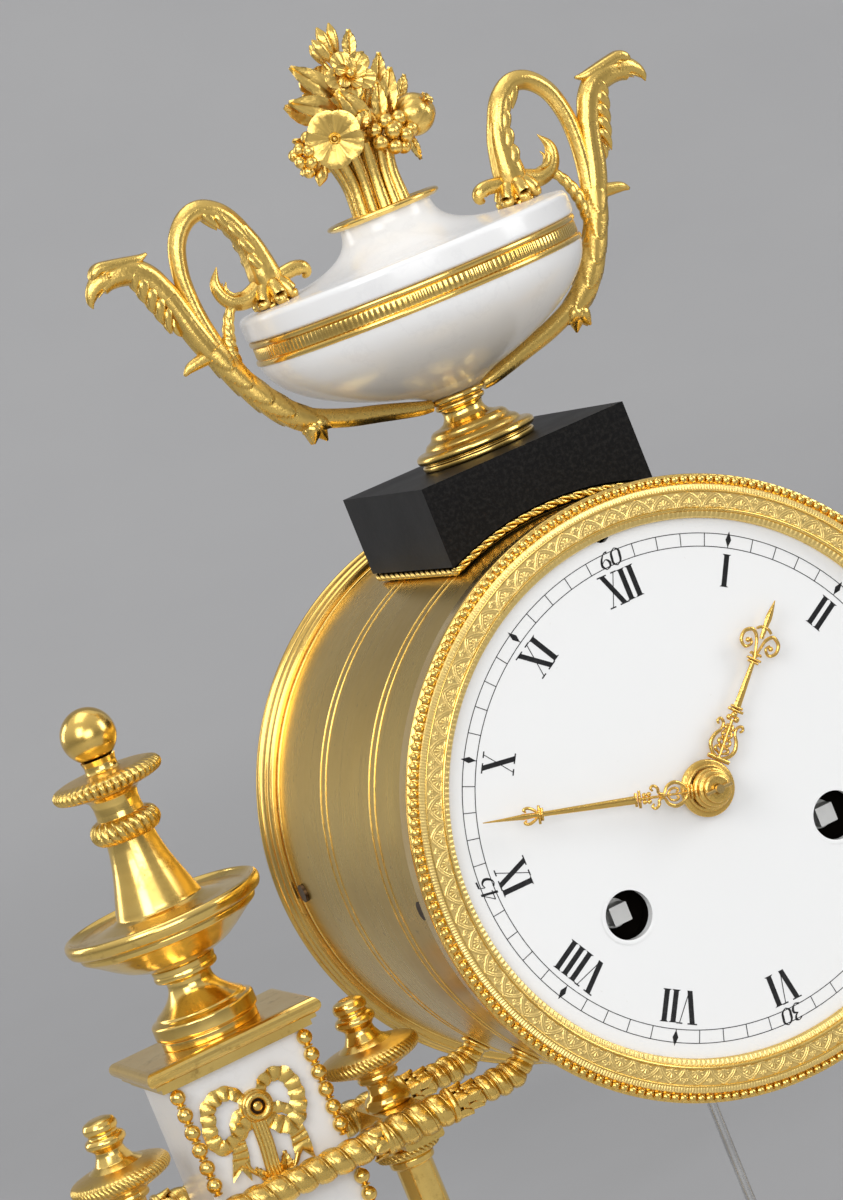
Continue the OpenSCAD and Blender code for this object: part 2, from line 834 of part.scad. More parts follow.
module bezel() {
    front = dial_y - 3.2;
    color(gilt)
        difference() {
            turned_y([[dial_r, dial_y - 0.9], [dial_r + 1.9, dial_y - 1.5], [dial_r + 2.1, front + 0.7],
                [dial_r + 2.6, front + 0.7], [dial_r + 2.8, front + 0.5], [dial_r + 6.4, front + 0.2],
                [dial_r + 6.8, front], [dial_r + 7.4, front + 0.5], [bead_ring_r - bezel_bead / 2, front + 0.8],
                [bead_ring_r, front + 0.2], [bead_ring_r + bezel_bead / 2, front + 1],
                [bead_ring_r + bezel_bead / 2, front + 2.2], [bead_ring_r - 0.2, front + 3],
                [bead_ring_r - 0.2, rim_back], [drum_in - 1.4, rim_back], [drum_in - 1.4, dial_y - 0.2],
                [dial_r, dial_y - 0.2]]);
            translate([0, dial_y - 6, dial_z + dial_r + 1])
                rotate([-90, 0, 0])
                    cylinder(r = regulator_r + 0.6, h = 12);
        }
}

regulator_r = 1;

module rear_ring() {
    r = rear_ring_r;
    back = ring_back;
    front = ring_back - rear_ring_w;
    color(gilt) {
        turned_y([[drum_in - 1.4, front], [r - 1.4, front], [r - 0.6, front + 0.6], [r - 0.6, front + 1.8],
            [r - 1.2, front + 2.4], [r - 0.3, front + 3.2], [r - 0.3, front + 4.2], [r - 0.9, front + 4.8],
            [r, front + 5.4], [r, back - 0.8], [r - 0.8, back], [rear_open_r, back], [rear_open_r, back - 2],
            [drum_in - 1.4, back - 2]]);
        for (s = [-1, 1])
            difference() {
                translate([0, 0, s > 0 ? dial_z + 3 : dial_z - 8])
                    hinge_knuckle(5, ring_back - 0.4);
                translate([hinge_x, hinge_y, dial_z - 10])
                    cylinder(r = pin_r, h = 20);
            }
    }
}

// A knuckle round the hinge pin, with its leaf down to y = root
module hinge_knuckle(h, root) {
    translate([hinge_x, hinge_y, 0])
        cylinder(r = pin_r + 0.9, h = h);
    translate([hinge_x - 1.2, root, 0])
        cube([2.4, hinge_y - root, h]);
}

module door_hinge_pin() {
    color("gray")
        translate([hinge_x, hinge_y, dial_z - 8]) {
            cylinder(r = pin_r, h = 17);
            translate([0, 0, 17.1])
                sphere(r = pin_r + 0.5, $fn = 32);
        }
}

door_r = rear_ring_r - 4.4;
knob_x = 10 - door_r;

module rear_door() {
    color("goldenrod") {
        difference() {
            union() {
                along_y(0, door_y, dial_z, door_r, door_t);
                turned_y([[door_r - 4, door_y + door_t - eps], [door_r, door_y + door_t - eps],
                    [door_r - 0.6, door_y + door_t + 0.8], [door_r - 3, door_y + door_t + 0.8]]);
                turned_y([[0, door_y + door_t - eps], [9, door_y + door_t - eps], [7, door_y + door_t + 1.2],
                    [0, door_y + door_t + 1.2]]);
                translate([hinge_x - 6, door_y, dial_z - 2.8])
                    cube([6, door_t, 5.6]);
                translate([hinge_x, hinge_y, dial_z - 2.8])
                    cylinder(r = pin_r + 0.9, h = 5.6);
            }
            translate([hinge_x, hinge_y, dial_z - 5])
                cylinder(r = pin_r + run_fit, h = 10);
        }
        turned_y([[0, door_y + door_t - eps], [1.6, door_y + door_t - eps], [1.2, door_y + door_t + 2],
            [3, door_y + door_t + 4], [3, door_y + door_t + 5.4], [0, door_y + door_t + 6]], knob_x);
    }
}

// Slightly domed enamel on three feet
module dial() {
    edge = dial_r + 1.6;
    rings = 6;
    color("white")
        difference() {
            union() {
                turned_y(concat([[0, dial_y + dial_t]],
                    [for (i = [0 : rings]) let (t = i / rings) [edge * t, dial_y - dial_dome * (1 - t * t)]],
                    [[edge, dial_y + dial_t]]));
                for (foot = dial_feet)
                    arbor_y(foot, dial_y + dial_t - eps, 1.4, dial_gap - dial_t + plate_t * 0.6);
            }
            for (side = [-1, 1])
                along_y(side * wind_x, dial_y - 3, dial_z - wind_drop, wind_hole_r, dial_t + 3.5);
            along_y(0, dial_y - 3, dial_z, pipe_r + 0.6, dial_t + 3.5);
            along_y(0, dial_y - 3, dial_z + dial_r + 1, regulator_r + 0.8, dial_t + 3.5);
        }
}

module plate_disc(y) {
    arbor_y([0, 0], y, plate_r, plate_t);
}

module drill(at, y, r) {
    arbor_y(at, y - eps, r + run_fit, plate_t + 2 * eps);
}

pivot_r = 0.6;
small_pivots = [mid_at, third_at, strike_mid_at, pin_wheel_at, warning_at, fly_at];

module front_plate() {
    color("goldenrod")
        difference() {
            union() {
                plate_disc(front_plate_y);
                translate([-5, front_plate_y, dial_z + plate_r - 3])
                    cube([10, plate_t, 9]);
                arbor_y(minute_at, hour_wheel_y - 1, minute_stud_r, front_plate_y - hour_wheel_y + 1 + eps);
            }
            for (at = concat(small_pivots, [escape_at]))
                drill(at, front_plate_y, pivot_r);
            drill([0, 0], front_plate_y, arbor_r);
            drill([0, pivot_rise], front_plate_y, pivot_r);
            drill([0, dial_r + 1], front_plate_y, regulator_r);
            drill(hammer_at, front_plate_y, pivot_r);
            drill(going_at, front_plate_y, 2.5);
            drill(strike_at, front_plate_y, 2.5);
            for (foot = dial_feet)
                drill(foot, front_plate_y, 1.4);
            for (post = plate_posts)
                drill(post, front_plate_y, post_r * 0.5);
        }
}

module rear_plate() {
    color("goldenrod")
        difference() {
            plate_disc(rear_plate_y);
            for (at = concat([for (p = small_pivots) if (p != strike_mid_at) p], [escape_at]))
                drill(at, rear_plate_y, pivot_r);
            drill([0, 0], rear_plate_y, pivot_r);
            drill(strike_mid_at, rear_plate_y, arbor_r);
            drill([0, pivot_rise], rear_plate_y, 4);
            drill(hammer_at, rear_plate_y, arbor_r);
            drill(going_at, rear_plate_y, 1.5);
            drill(strike_at, rear_plate_y, 1.5);
            for (post = plate_posts)
                drill(post, rear_plate_y, post_r * 0.5);
        }
}

module movement_pillars() {
    color("goldenrod")
        for (post = plate_posts) {
            arbor_y(post, inside_y, post_r, plate_gap);
            arbor_y(post, inside_y - plate_t, post_r * 0.5, plate_gap + 2 * plate_t);
        }
}

// Straps from the bezel back along the drum's wall, on which the movement hangs
module movement_straps() {
    strap_front = rim_back;
    strap_len = ring_back - rear_ring_w - strap_front;
    color("goldenrod")
        for (side = [-1, 1])
            difference() {
                union() {
                    translate([0, strap_front, dial_z])
                        rotate([0, side * 90, 0])
                            intersection() {
                                translate([-strap_w / 2, 0, drum_in - 3])
                                    cube([strap_w, strap_len, 4]);
                                translate([0, -1, 0])
                                    rotate([-90, 0, 0])
                                        difference() {
                                            cylinder(r = drum_in - seat_gap, h = strap_len + 2);
                                            translate([0, 0, -1])
                                                cylinder(r = drum_in - strap_t, h = strap_len + 4);
                                        }
                            }
                    translate([0, front_plate_y, dial_z])
                        rotate([0, side * 90, 0])
                            translate([-strap_w / 2, 0, plate_r - 0.01])
                                cube([strap_w, plate_t, drum_in - plate_r - strap_t / 2]);
                }
                arbor_y([0, 0], front_plate_y - 1, plate_r, plate_t + 2);
                at_side_screws()
                    cylinder(r = side_screw_r + run_fit, h = 20, center = true);
            }
}

// A spring barrel: drum, lid and great wheel in one turned case with a hollow inside
barrel_wall = 1.2;
barrel_front = inside_y + 3.6;
barrel_len = rear_plate_y - 8.5 - barrel_front;
hub_r = 5;

module barrel(at) {
    difference() {
        union() {
            arbor_y(at, barrel_front, barrel_r, barrel_len);
            translate([at[0], great_y + wheel_t, dial_z + at[1]])
                rotate([90, 0, 0])
                    linear_extrude(wheel_t)
                        polygon([for (i = [0 : 159]) let (a = 180 * i / 80)
                            (i % 2 == 0 ? great_r - 0.15 : great_r - 0.9) * [sin(a), cos(a)]]);
            arbor_y(at, great_y, 6, barrel_front - great_y + eps);
        }
        arbor_y(at, barrel_front + barrel_wall, barrel_r - barrel_wall, barrel_len - 2 * barrel_wall);
        arbor_y(at, great_y - 1, 2.5 + run_fit, barrel_len + 6);
    }
}

module going_barrel() {
    color("goldenrod")
        barrel(going_at);
}

module strike_barrel() {
    color("goldenrod")
        barrel(strike_at);
}

// A coiled mainspring in each barrel, out to the wall and eased off the arbor
spring_turns = 6;
spring_t = 0.5;
spring_in = hub_r + 0.6;
spring_out = barrel_r - barrel_wall - 0.02;

function spring_point(t, r_add) =
    let (r = spring_in + (spring_out - spring_in - spring_t) * t + r_add, a = 360 * spring_turns * t)
        r * [cos(a), sin(a)];

module mainsprings() {
    steps = spring_turns * 16;
    color("steelblue")
        for (at = [going_at, strike_at])
            translate([at[0], barrel_front + barrel_len - barrel_wall - 1, dial_z + at[1]])
                rotate([90, 0, 0])
                    linear_extrude(barrel_len - 2 * barrel_wall - 2)
                        polygon(concat([for (i = [0 : steps]) spring_point(i / steps, 0)],
                            [for (i = [steps : -1 : 0]) spring_point(i / steps, spring_t)]));
}

// Winding arbor: square, ratchet, journal and hub for the spring
square_back = front_plate_y - 1.8;
square_front = dial_y + 4;

module winding_arbor(at) {
    difference() {
        union() {
            arbor_y(at, square_front, square_w / 2 * sqrt(2) - 0.1, square_back - square_front + eps);
            arbor_y(at, square_back, 2.5, rear_plate_y - square_back - 0.3);
            arbor_y(at, rear_plate_y - 0.4, 1.5, plate_t + 0.4);
        }
        for (i = [0 : 3])
            translate([at[0], square_front - 1, dial_z + at[1]])
                rotate([0, 90 * i, 0])
                    translate([square_w / 2, 0, -4])
                        cube([4, square_back - square_front + 1, 8]);
    }
    arbor_y(at, barrel_front + barrel_wall + 1, hub_r, barrel_len - 2 * barrel_wall - 2);
    translate([at[0], square_back + 1.4, dial_z + at[1]])
        rotate([90, 0, 0])
            linear_extrude(1.4)
                polygon([for (i = [0 : 19]) for (c = [[0, ratchet_r], [0.06, ratchet_r - 1.2]])
                    let (a = 18 * (i + c[0])) c[1] * [sin(a), cos(a)]]);
}

module going_arbor() {
    color("silver")
        winding_arbor(going_at);
}

module strike_arbor() {
    color("silver")
        winding_arbor(strike_at);
}

// A click over each ratchet, on its own shouldered screw
module clicks() {
    color("silver")
        for (side = [-1, 1])
            translate([side * wind_x, 0, dial_z - wind_drop])
                translate([side * 2, square_back + 1.4, -ratchet_r - 3]) {
                    rotate([90, 0, 0])
                        linear_extrude(1.2)
                            polygon([[-side * 9, -1.6], [side * 1.8, -2.6], [side * 2.4, 0.4], [-side * 1, 2],
                                [-side * 2.6, 1.2], [-side * 9, -0.4]]);
                    rotate([-90, 0, 0])
                        cylinder(r = 1, h = front_plate_y - square_back - 1.4);
                }
}

module going_train() {
    color("goldenrod") {
        train_arbor(mid_at, great_y - 0.6, mid_pinion_r, 5);
        train_wheel(mid_at, mid_y, mid_r, 72);
        arbor_y([0, 0], hand_front - 3.8, cannon_bore_r, front_plate_y - hand_front + 3.8);
        translate([-3, hand_front - 3.1, dial_z])
            rotate([0, 90, 0])
                cylinder(r = 0.4, h = 6);
        arbor_y([0, 0], front_plate_y - 0.2, arbor_r, rear_plate_y - front_plate_y - 0.1);
        arbor_y([0, 0], rear_plate_y - 1, pivot_r, plate_t + 0.6);
        arbor_y([0, 0], mid_y - 1, centre_pinion_r - 0.1, 3.2);
        train_wheel([0, 0], centre_y, centre_r, 80);
        train_arbor(third_at, centre_y - 0.6, 2.4, 2.6);
        train_wheel(third_at, inside_y + 24, third_r, 72);
        train_arbor(escape_at, inside_y + 23, 2.2, 4);
        train_wheel(escape_at, inside_y + 32, escape_r, 30);
    }
}

module strike_train() {
    color("goldenrod") {
        arbor_y(strike_mid_at, inside_y + run_fit, arbor_r, rear_face_y + 3 - inside_y);
        arbor_y(strike_mid_at, inside_y - plate_t * 0.8, pivot_r, 4);
        arbor_y(strike_mid_at, great_y - 0.6, mid_pinion_r - 0.1, 5);
        train_wheel(strike_mid_at, mid_y, mid_r, 72);
        train_arbor(pin_wheel_at, mid_y - 0.6, 2.6, 3);
        train_wheel(pin_wheel_at, inside_y + 24, pin_wheel_r, 72);
        for (i = [0 : 7])
            arbor_y(pin_wheel_at + (pin_wheel_r - 2) * [sin(45 * i), cos(45 * i)], inside_y + 24 + wheel_t - eps, 0.5, 3);
        train_arbor(warning_at, inside_y + 23, 2.2, 4);
        train_wheel(warning_at, inside_y + 18, warning_r, 60);
        train_arbor(fly_at, inside_y + 17, 2, 4);
        translate([fly_at[0] - fly_r, inside_y + 2, dial_z + fly_at[1] - 0.4])
            cube([2 * fly_r, 14, 0.8]);
    }
}

// Locking wheel behind the back plate, with a notch after each hour's blows
function notch_turn(hour) = 360 * (hour * (hour + 1) / 2 + hour - 0.5) / 90;

module count_wheel() {
    color("goldenrod")
        difference() {
            arbor_y(strike_mid_at, rear_face_y + 1, 10.6, 1.2);
            arbor_y(strike_mid_at, rear_face_y, arbor_r, 4);
            for (hour = [1 : 12])
                translate([strike_mid_at[0], rear_face_y, dial_z + strike_mid_at[1]])
                    rotate([0, notch_turn(hour), 0])
                        translate([-0.5, 0, 9])
                            cube([1, 4, 4]);
        }
}

// Anchor and crutch on one arbor; the crutch's fork holds the pendulum's rod
fork_gap = 0.15;
crutch_y = rear_face_y + 1.4;
anchor_y = inside_y + 32;

module pallets() {
    pivot = [0, pivot_rise];
    nib_gap = escape_r + 0.7;
    color("silver") {
        arbor_y(pivot, inside_y + 0.1, 1, crutch_y + 2 - inside_y);
        arbor_y(pivot, inside_y - plate_t * 0.8, pivot_r, 4);
        arbor_y(pivot, crutch_y + 2, pivot_r, 3.4);
        translate([0, anchor_y + 1.2, dial_z])
            rotate([90, 0, 0])
                linear_extrude(1.4)
                    difference() {
                        union() {
                            translate([0, pivot_rise])
                                circle(2.4);
                            polygon([[-8.4, escape_at[1] + 5], [-6.4, escape_at[1] + 9], [0, pivot_rise + 2],
                                [6.4, escape_at[1] + 9], [8.4, escape_at[1] + 5], [7, escape_at[1] + 4.6], [0, pivot_rise - 1],
                                [-7, escape_at[1] + 4.6]]);
                        }
                        translate([0, escape_at[1]])
                            circle(nib_gap);
                    }
        translate([-1.1, crutch_y, dial_z + pivot_rise - crutch_drop])
            cube([2.2, 1.4, crutch_drop]);
        difference() {
            translate([-rod_r - 1.5, crutch_y, dial_z + pivot_rise - crutch_drop - 2.4])
                cube([2 * rod_r + 3, pendulum_y + 3 - crutch_y, 2.6]);
            translate([-rod_r - fork_gap, pendulum_y - 2.4, dial_z + pivot_rise - crutch_drop - 4])
                cube([2 * (rod_r + fork_gap), 8, 6]);
        }
    }
}

// Cock on the back plate: it carries the pallet arbor, the silk and its winding arbor
cock_y = crutch_y + 2.6;
cock_plate_t = 2;
silk_rise = dial_r + 1;
silk_slot_w = 5.2;

module suspension_cock() {
    color("goldenrod")
        difference() {
            union() {
                translate([-13, cock_y, dial_z + pivot_rise - 4])
                    cube([26, cock_plate_t, 13]);
                for (side = [-1, 1])
                    translate([side * 11 - 2, rear_face_y, dial_z + pivot_rise + 1])
                        cube([4, cock_y - rear_face_y + eps, 7]);
                translate([-4.5, cock_y, dial_z + pivot_rise])
                    cube([9, cock_plate_t, silk_rise - pivot_rise + 3]);
                translate([-4.5, cock_y + cock_plate_t - eps, dial_z + pivot_rise + 0.6])
                    cube([9, pendulum_y + 4 - cock_y - cock_plate_t, 3]);
                translate([-4.5, pendulum_y + 2.4, dial_z + pivot_rise + 0.6])
                    cube([9, 1.6, silk_rise - pivot_rise + 2.4]);
            }
            arbor_y([0, pivot_rise], cock_y - 1, pivot_r + run_fit, cock_plate_t + 2);
            arbor_y([0, silk_rise], cock_y - 1, regulator_r + run_fit, 20);
            translate([-silk_slot_w / 2, pendulum_y - 0.8, dial_z + pivot_rise])
                cube([silk_slot_w, 1.6, 5]);
        }
    color("ivory")
        for (s = [-1, 1])
            translate([s * (silk_slot_w / 2 - 0.2), pendulum_y, dial_z + pivot_rise + 0.6])
                cylinder(r = 0.25, h = silk_rise - pivot_rise - 0.6, $fn = 16);
}

module regulator_arbor() {
    color("silver")
        difference() {
            union() {
                arbor_y([0, silk_rise], dial_y - 0.5, regulator_r, pendulum_y + 4.5 - dial_y);
                arbor_y([0, silk_rise], pendulum_y - 1.6, 1.9, 3.2);
            }
            for (i = [0 : 3])
                translate([0, dial_y - 1, dial_z + silk_rise])
                    rotate([0, 90 * i, 0])
                        translate([regulator_r * 0.75, 0, -2])
                            cube([2, 4, 4]);
        }
}

// Steel rod with its hook, the silk loop it hangs on, and the rating nut
module pendulum_rod() {
    top = dial_z + pivot_rise - 7;
    bob_z = dial_z + pivot_rise - bob_drop;
    color("silver") {
        translate([0, pendulum_y, bob_z - bob_r - 9])
            cylinder(r = rod_r, h = top - bob_z + bob_r + 9);
        translate([-2.6, pendulum_y - 0.7, top - 1])
            cube([5.2, 1.4, 3.4]);
        for (s = [-1, 1])
            translate([s * 2, pendulum_y, top + 2.4])
                cylinder(r = 0.4, h = 4.6, $fn = 16);
    }
}

module pendulum_bob() {
    bob_z = dial_z + pivot_rise - bob_drop;
    lens_r = (bob_r * bob_r + bob_t * bob_t / 4) / bob_t;
    color(gilt) {
        difference() {
            union() {
                intersection() {
                    translate([0, pendulum_y - bob_t / 2 + lens_r, bob_z])
                        sphere(r = lens_r, $fn = 128);
                    translate([0, pendulum_y + bob_t / 2 - lens_r, bob_z])
                        sphere(r = lens_r, $fn = 128);
                }
                turned_y([[bob_r - 2.4, pendulum_y - 1.6], [bob_r + 0.6, pendulum_y - 1.6],
                    [bob_r + 0.6, pendulum_y + 1.6], [bob_r - 2.4, pendulum_y + 1.6]], 0, bob_z);
            }
            translate([0, pendulum_y, bob_z - bob_r - 5])
                cylinder(r = rod_r + run_fit, h = 2 * bob_r + 10);
        }
        difference() {
            translate([0, pendulum_y, bob_z - bob_r - 4])
                cylinder(r = 3.6, h = 3);
            translate([0, pendulum_y, bob_z - bob_r - 5])
                cylinder(r = rod_r + run_fit, h = 5);
        }
    }
}

// Hammer arbor with its lifting tail, and the arm out to the bell's rim
module hammer() {
    aim = 25;
    reach = bell_r + 4.4;
    head = [bell_at[0] - reach * cos(aim), bell_at[1] - reach * sin(aim)];
    arm = head - hammer_at;
    color("silver") {
        arbor_y(hammer_at, inside_y + run_fit, arbor_r, rear_face_y + 4 - inside_y);
        arbor_y(hammer_at, inside_y - plate_t * 0.8, pivot_r, 4);
        translate([hammer_at[0], inside_y + 28, dial_z + hammer_at[1]])
            rotate([0, -48, 0])
                translate([0, 0, -0.8])
                    cube([18, 1.4, 1.6]);
        translate([hammer_at[0], rear_face_y + 2.2, dial_z + hammer_at[1]])
            rotate([0, atan2(-arm[1], arm[0]), 0])
                translate([0, 0, -1])
                    cube([norm(arm), 1.6, 2]);
        arbor_y(head, rear_face_y + 2.2, 1, bell_y + 6 - rear_face_y);
        arbor_y(head, bell_y - 2, 3.2, 6);
        arbor_y(hammer_at, rear_face_y + 1, 2.4, 3);
    }
}

bell_h = 17;

module bell() {
    post_x = 14;
    stand_y = bell_y + bell_h - bell_t - 3.2;
    color("goldenrod") {
        difference() {
            turned_y(concat([for (i = [0 : 12]) let (t = 90 * i / 12)
                [bell_r * cos(t), bell_y + bell_h * sin(t)]],
                [for (i = [12 : -1 : 0]) let (t = 90 * i / 12)
                [(bell_r - bell_t) * cos(t), bell_y + (bell_h - bell_t) * sin(t)]]),
                bell_at[0], dial_z + bell_at[1]);
            arbor_y(bell_at, bell_y, 1.5 + run_fit, 30);
        }
        arbor_y([post_x, bell_at[1]], rear_face_y, 2.2, stand_y - rear_face_y);
        translate([-3, stand_y - 1.6, dial_z + bell_at[1] - 2.2])
            cube([post_x + 5, 1.6, 4.4]);
        arbor_y(bell_at, stand_y - 1, 1.5, bell_y + bell_h - stand_y + 3);
        arbor_y(bell_at, bell_y + bell_h, 3, 1.6);
    }
}

// Wheel and pinion of the motion work, on a stud in the front plate
minute_stud_r = 1;

module minute_wheel() {
    color("goldenrod")
        difference() {
            union() {
                gear_y(minute_at, minute_wheel_y, 1.2, minute_teeth, cannon_module, 45 + 180 / minute_teeth);
                gear_y(minute_at, hour_wheel_y - 0.4, minute_wheel_y - hour_wheel_y + 0.5, minute_pinion_teeth,
                    hour_module, 45 + 180 / minute_pinion_teeth);
            }
            arbor_y(minute_at, hour_wheel_y - 2, minute_stud_r + run_fit, 8);
        }
}

module hour_wheel() {
    color("goldenrod")
        difference() {
            union() {
                gear_y([0, 0], hour_wheel_y, 1.2, hour_teeth, hour_module, 45);
                arbor_y([0, 0], hour_hand_y - 0.4, pipe_r, hour_wheel_y - hour_hand_y + 1);
            }
            arbor_y([0, 0], hour_hand_y - 2, cannon_r + run_fit, 20);
        }
}

module cannon_pinion() {
    color("goldenrod")
        difference() {
            union() {
                gear_y([0, 0], cannon_y - 0.2, 2.4, cannon_teeth, cannon_module, 45);
                arbor_y([0, 0], hand_front - 1.4, cannon_r, cannon_y - hand_front + 1.5);
            }
            arbor_y([0, 0], hand_front - 4, cannon_bore_r + run_fit, 30);
        }
}

// A hand is drawn upright in X and Z, and turned to its hour
module on_dial(angle, y) {
    translate([0, y + hand_t, dial_z])
        rotate([90, angle, 0])
            linear_extrude(hand_t)
                children();
}

module ring_2d(at, r, wall) {
    translate(at)
        difference() {
            circle(r);
            circle(r - wall);
        }
}

module hour_hand() {
    boss_r = 5.9;
    color(gilt) {
        difference() {
            union() {
                on_dial(hour_angle, hour_hand_y) {
                    circle(boss_r);
                    for (s = [-1, 1]) {
                        ring_2d([s * 1.5, boss_r + 3.4], 2.1, 0.7);
                        ring_2d([s * 1.1, boss_r + 7.2], 1.5, 0.6);
                        ring_2d([s * 2.2, hour_len * 0.77], 1.9, 0.7);
                        ring_2d([s * 1.5, hour_len * 0.83], 1.5, 0.6);
                    }
                    polygon([[-0.7, boss_r - 1], [0.7, boss_r - 1], [0.9, hour_len * 0.45], [0.6, hour_len * 0.7],
                        [0.8, hour_len * 0.9], [0, hour_len], [-0.8, hour_len * 0.9], [-0.6, hour_len * 0.7],
                        [-0.9, hour_len * 0.45]]);
                    for (z = [0.44, 0.69])
                        translate([-1.7, hour_len * z])
                            square([3.4, 1]);
                }
                arbor_y([0, 0], hour_hand_y - 0.6, boss_r * 0.82, 0.6 + eps);
            }
            arbor_y([0, 0], hour_hand_y - 3, pipe_r, 5);
        }
    }
}

// Minute hand with its stepped collet
module minute_hand() {
    boss_r = 4.2;
    color(gilt) {
        difference() {
            union() {
                on_dial(minute_angle, hand_front) {
                    circle(boss_r);
                    for (s = [-1, 1]) {
                        ring_2d([s * 1.6, boss_r + 2.2], 2, 0.7);
                        ring_2d([s * 1.9, boss_r + 5.6], 1.9, 0.7);
                        ring_2d([s * 1.1, boss_r + 8.6], 1.4, 0.6);
                    }
                    polygon([[-0.8, boss_r - 1], [0.8, boss_r - 1], [0.9, minute_len * 0.32], [0.5, minute_len * 0.74],
                        [0.9, minute_len * 0.84], [0, minute_len], [-0.9, minute_len * 0.84], [-0.5, minute_len * 0.74],
                        [-0.9, minute_len * 0.32]]);
                    for (z = [0.3, 0.74])
                        translate([-1.6, minute_len * z])
                            square([3.2, 1]);
                    translate([0, minute_len * 0.79])
                        circle(1.5);
                }
                arbor_y([0, 0], hand_front - 1.4, 3.7, 1.4 + eps);
            }
            arbor_y([0, 0], hand_front - 4, cannon_r, 8);
        }
        difference() {
            arbor_y([0, 0], hand_front - 2.6, 2.9, 1.2);
            arbor_y([0, 0], hand_front - 4, cannon_bore_r + run_fit, 8);
        }
    }
}

// The slate block: arched front edge, and a saddle on the drum behind it
slate_recess = 4;
arch_r = (slate_w * slate_w / 4 + slate_arch * slate_arch) / (2 * slate_arch);
arch_z = dial_z + slate_rise - slate_h + slate_arch - arch_r;
rope_knot_r = rope_d / 2 + 0.1;
rope_room = rope_knot_r + seat_gap;
rope_r = arch_r - rope_room;
rope_end_x = slate_w / 2 - rope_d / 2;
rope_end_z = arch_z + sqrt(rope_r * rope_r - rope_end_x * rope_end_x);

module slate_block() {
    bottom = dial_z + slate_rise - slate_h;
    half = slate_w / 2;
    color("darkslategray")
        difference() {
            translate([-half, -slate_d / 2, bottom - 6])
                cube([slate_w, slate_d, slate_h + 6]);
            along_y(0, -slate_d, dial_z, drum_r + seat_gap, 2 * slate_d);
            for (s = [-1, 1])
                translate([s > 0 ? half - rope_d * 1.1 : -half - 5, -slate_d, bottom - 10])
                    cube([5 + rope_d * 1.1, 2 * slate_d, 10 + rope_end_z + rope_room - bottom]);
            intersection() {
                translate([0, -slate_d / 2 - 1, arch_z])
                    rotate([-90, 0, 0])
                        cylinder(r = arch_r, h = slate_recess + 1, $fn = 128);
                translate([-half - 1, -slate_d, bottom - 8])
                    cube([slate_w + 2, 2 * slate_d, 30]);
            }
            translate([-half - 1, -slate_d / 2 - 1, bottom - 10])
                cube([slate_w + 2, slate_recess + 1, 10]);
        }
}

// Twisted rope round the arch and along the sides of the block
module rope_trim() {
    half_turn = asin(rope_end_x / rope_r);
    front = -slate_d / 2 + rope_d / 2;
    color(gilt) {
        translate([0, front, arch_z])
            rotate([90, 0, 0])
                rotate([0, 0, 90 - half_turn])
                    rotate_extrude(angle = 2 * half_turn, $fn = 128)
                        translate([rope_r, 0])
                            circle(d = rope_d, $fn = 24);
        for (s = [-1, 1]) {
            along_y(s * rope_end_x, front, rope_end_z, rope_d / 2, slate_d - rope_d / 2);
            along_y(s * rope_end_x, front - rope_knot_r, rope_end_z, rope_knot_r, 2 * rope_knot_r);
        }
    }
}

urn_z = dial_z + slate_rise;
bowl_z = urn_z + urn_foot_h;
band_z = bowl_z + bowl_h;
lid_z = band_z + band_h;
lid_top = lid_z + lid_rim_h + lid_h;

module urn_foot() {
    r = urn_foot_r;
    h = urn_foot_h;
    color(gilt)
        translate([0, 0, urn_z])
            turned([[0, 0], [r * 0.93, 0], [r * 0.97, h * 0.03], [r * 0.93, h * 0.07], [r, h * 0.12], [r * 0.98, h * 0.19],
                [r * 0.78, h * 0.26], [r * 0.75, h * 0.3], [r * 0.68, h * 0.4], [r * 0.55, h * 0.48], [r * 0.44, h * 0.52], [r * 0.36, h * 0.6],
                [r * 0.33, h * 0.7], [r * 0.35, h * 0.78], [r * 0.4, h * 0.81], [r * 0.4, h * 0.84], [r * 0.44, h * 0.86],
                [r * 0.46, h * 0.92], [r * 0.44, h], [0, h]]);
}

// Half-section of the bowl, from its foot up to the band
module urn_bowl() {
    r = urn_r * 0.985;
    color("white")
        translate([0, 0, bowl_z])
            turned(concat([[0, 0], [r * 0.16, 0]],
                [for (i = [2 : 12]) let (t = 90 * i / 12)
                    [r * sin(t), bowl_h * (0.28 * sin(t) + 0.72 * (1 - cos(t)))]],
                [[0, bowl_h]]));
}

module urn_band() {
    color(gilt)
        translate([0, 0, band_z])
            turned([[0, 0], [urn_r * 0.99, 0], [urn_r, band_h * 0.06], [urn_r, band_h * 0.24], [urn_r * 0.98, band_h * 0.28],
                [urn_r * 0.98, band_h * 0.72], [urn_r, band_h * 0.76], [urn_r, band_h * 0.94], [urn_r * 0.99, band_h],
                [0, band_h]]);
}

// Lid: rounded rim, flat shoulder and a hollow sweep up to the neck
module urn_lid() {
    rim = 1.2;
    color("white")
        translate([0, 0, lid_z])
            turned(concat([[0, 0], [urn_r * 0.99, 0], [urn_r + 0.2, 0.5]],
                bulge([urn_r + 0.2 - rim, lid_rim_h - rim], rim, 0, 80, 5),
                [for (i = [0 : 10]) let (t = i / 10)
                    [neck_r + (urn_r * 0.86 - neck_r) * pow(1 - t, 2.2), lid_rim_h + 0.3 + (lid_h - 0.3) * pow(t, 1.8)]],
                [[0, lid_rim_h + lid_h]]));
}

// Neck ring, bundle of stalks, two open flowers, leaves, fruit and berries
berry_r = 1.7;
flower_r = 7;
berries = [[6, -5, 20], [8.4, -5.6, 19.6], [7, -6, 17.2], [9.2, -4.2, 17.2], [4.6, -6.6, 16.6]];

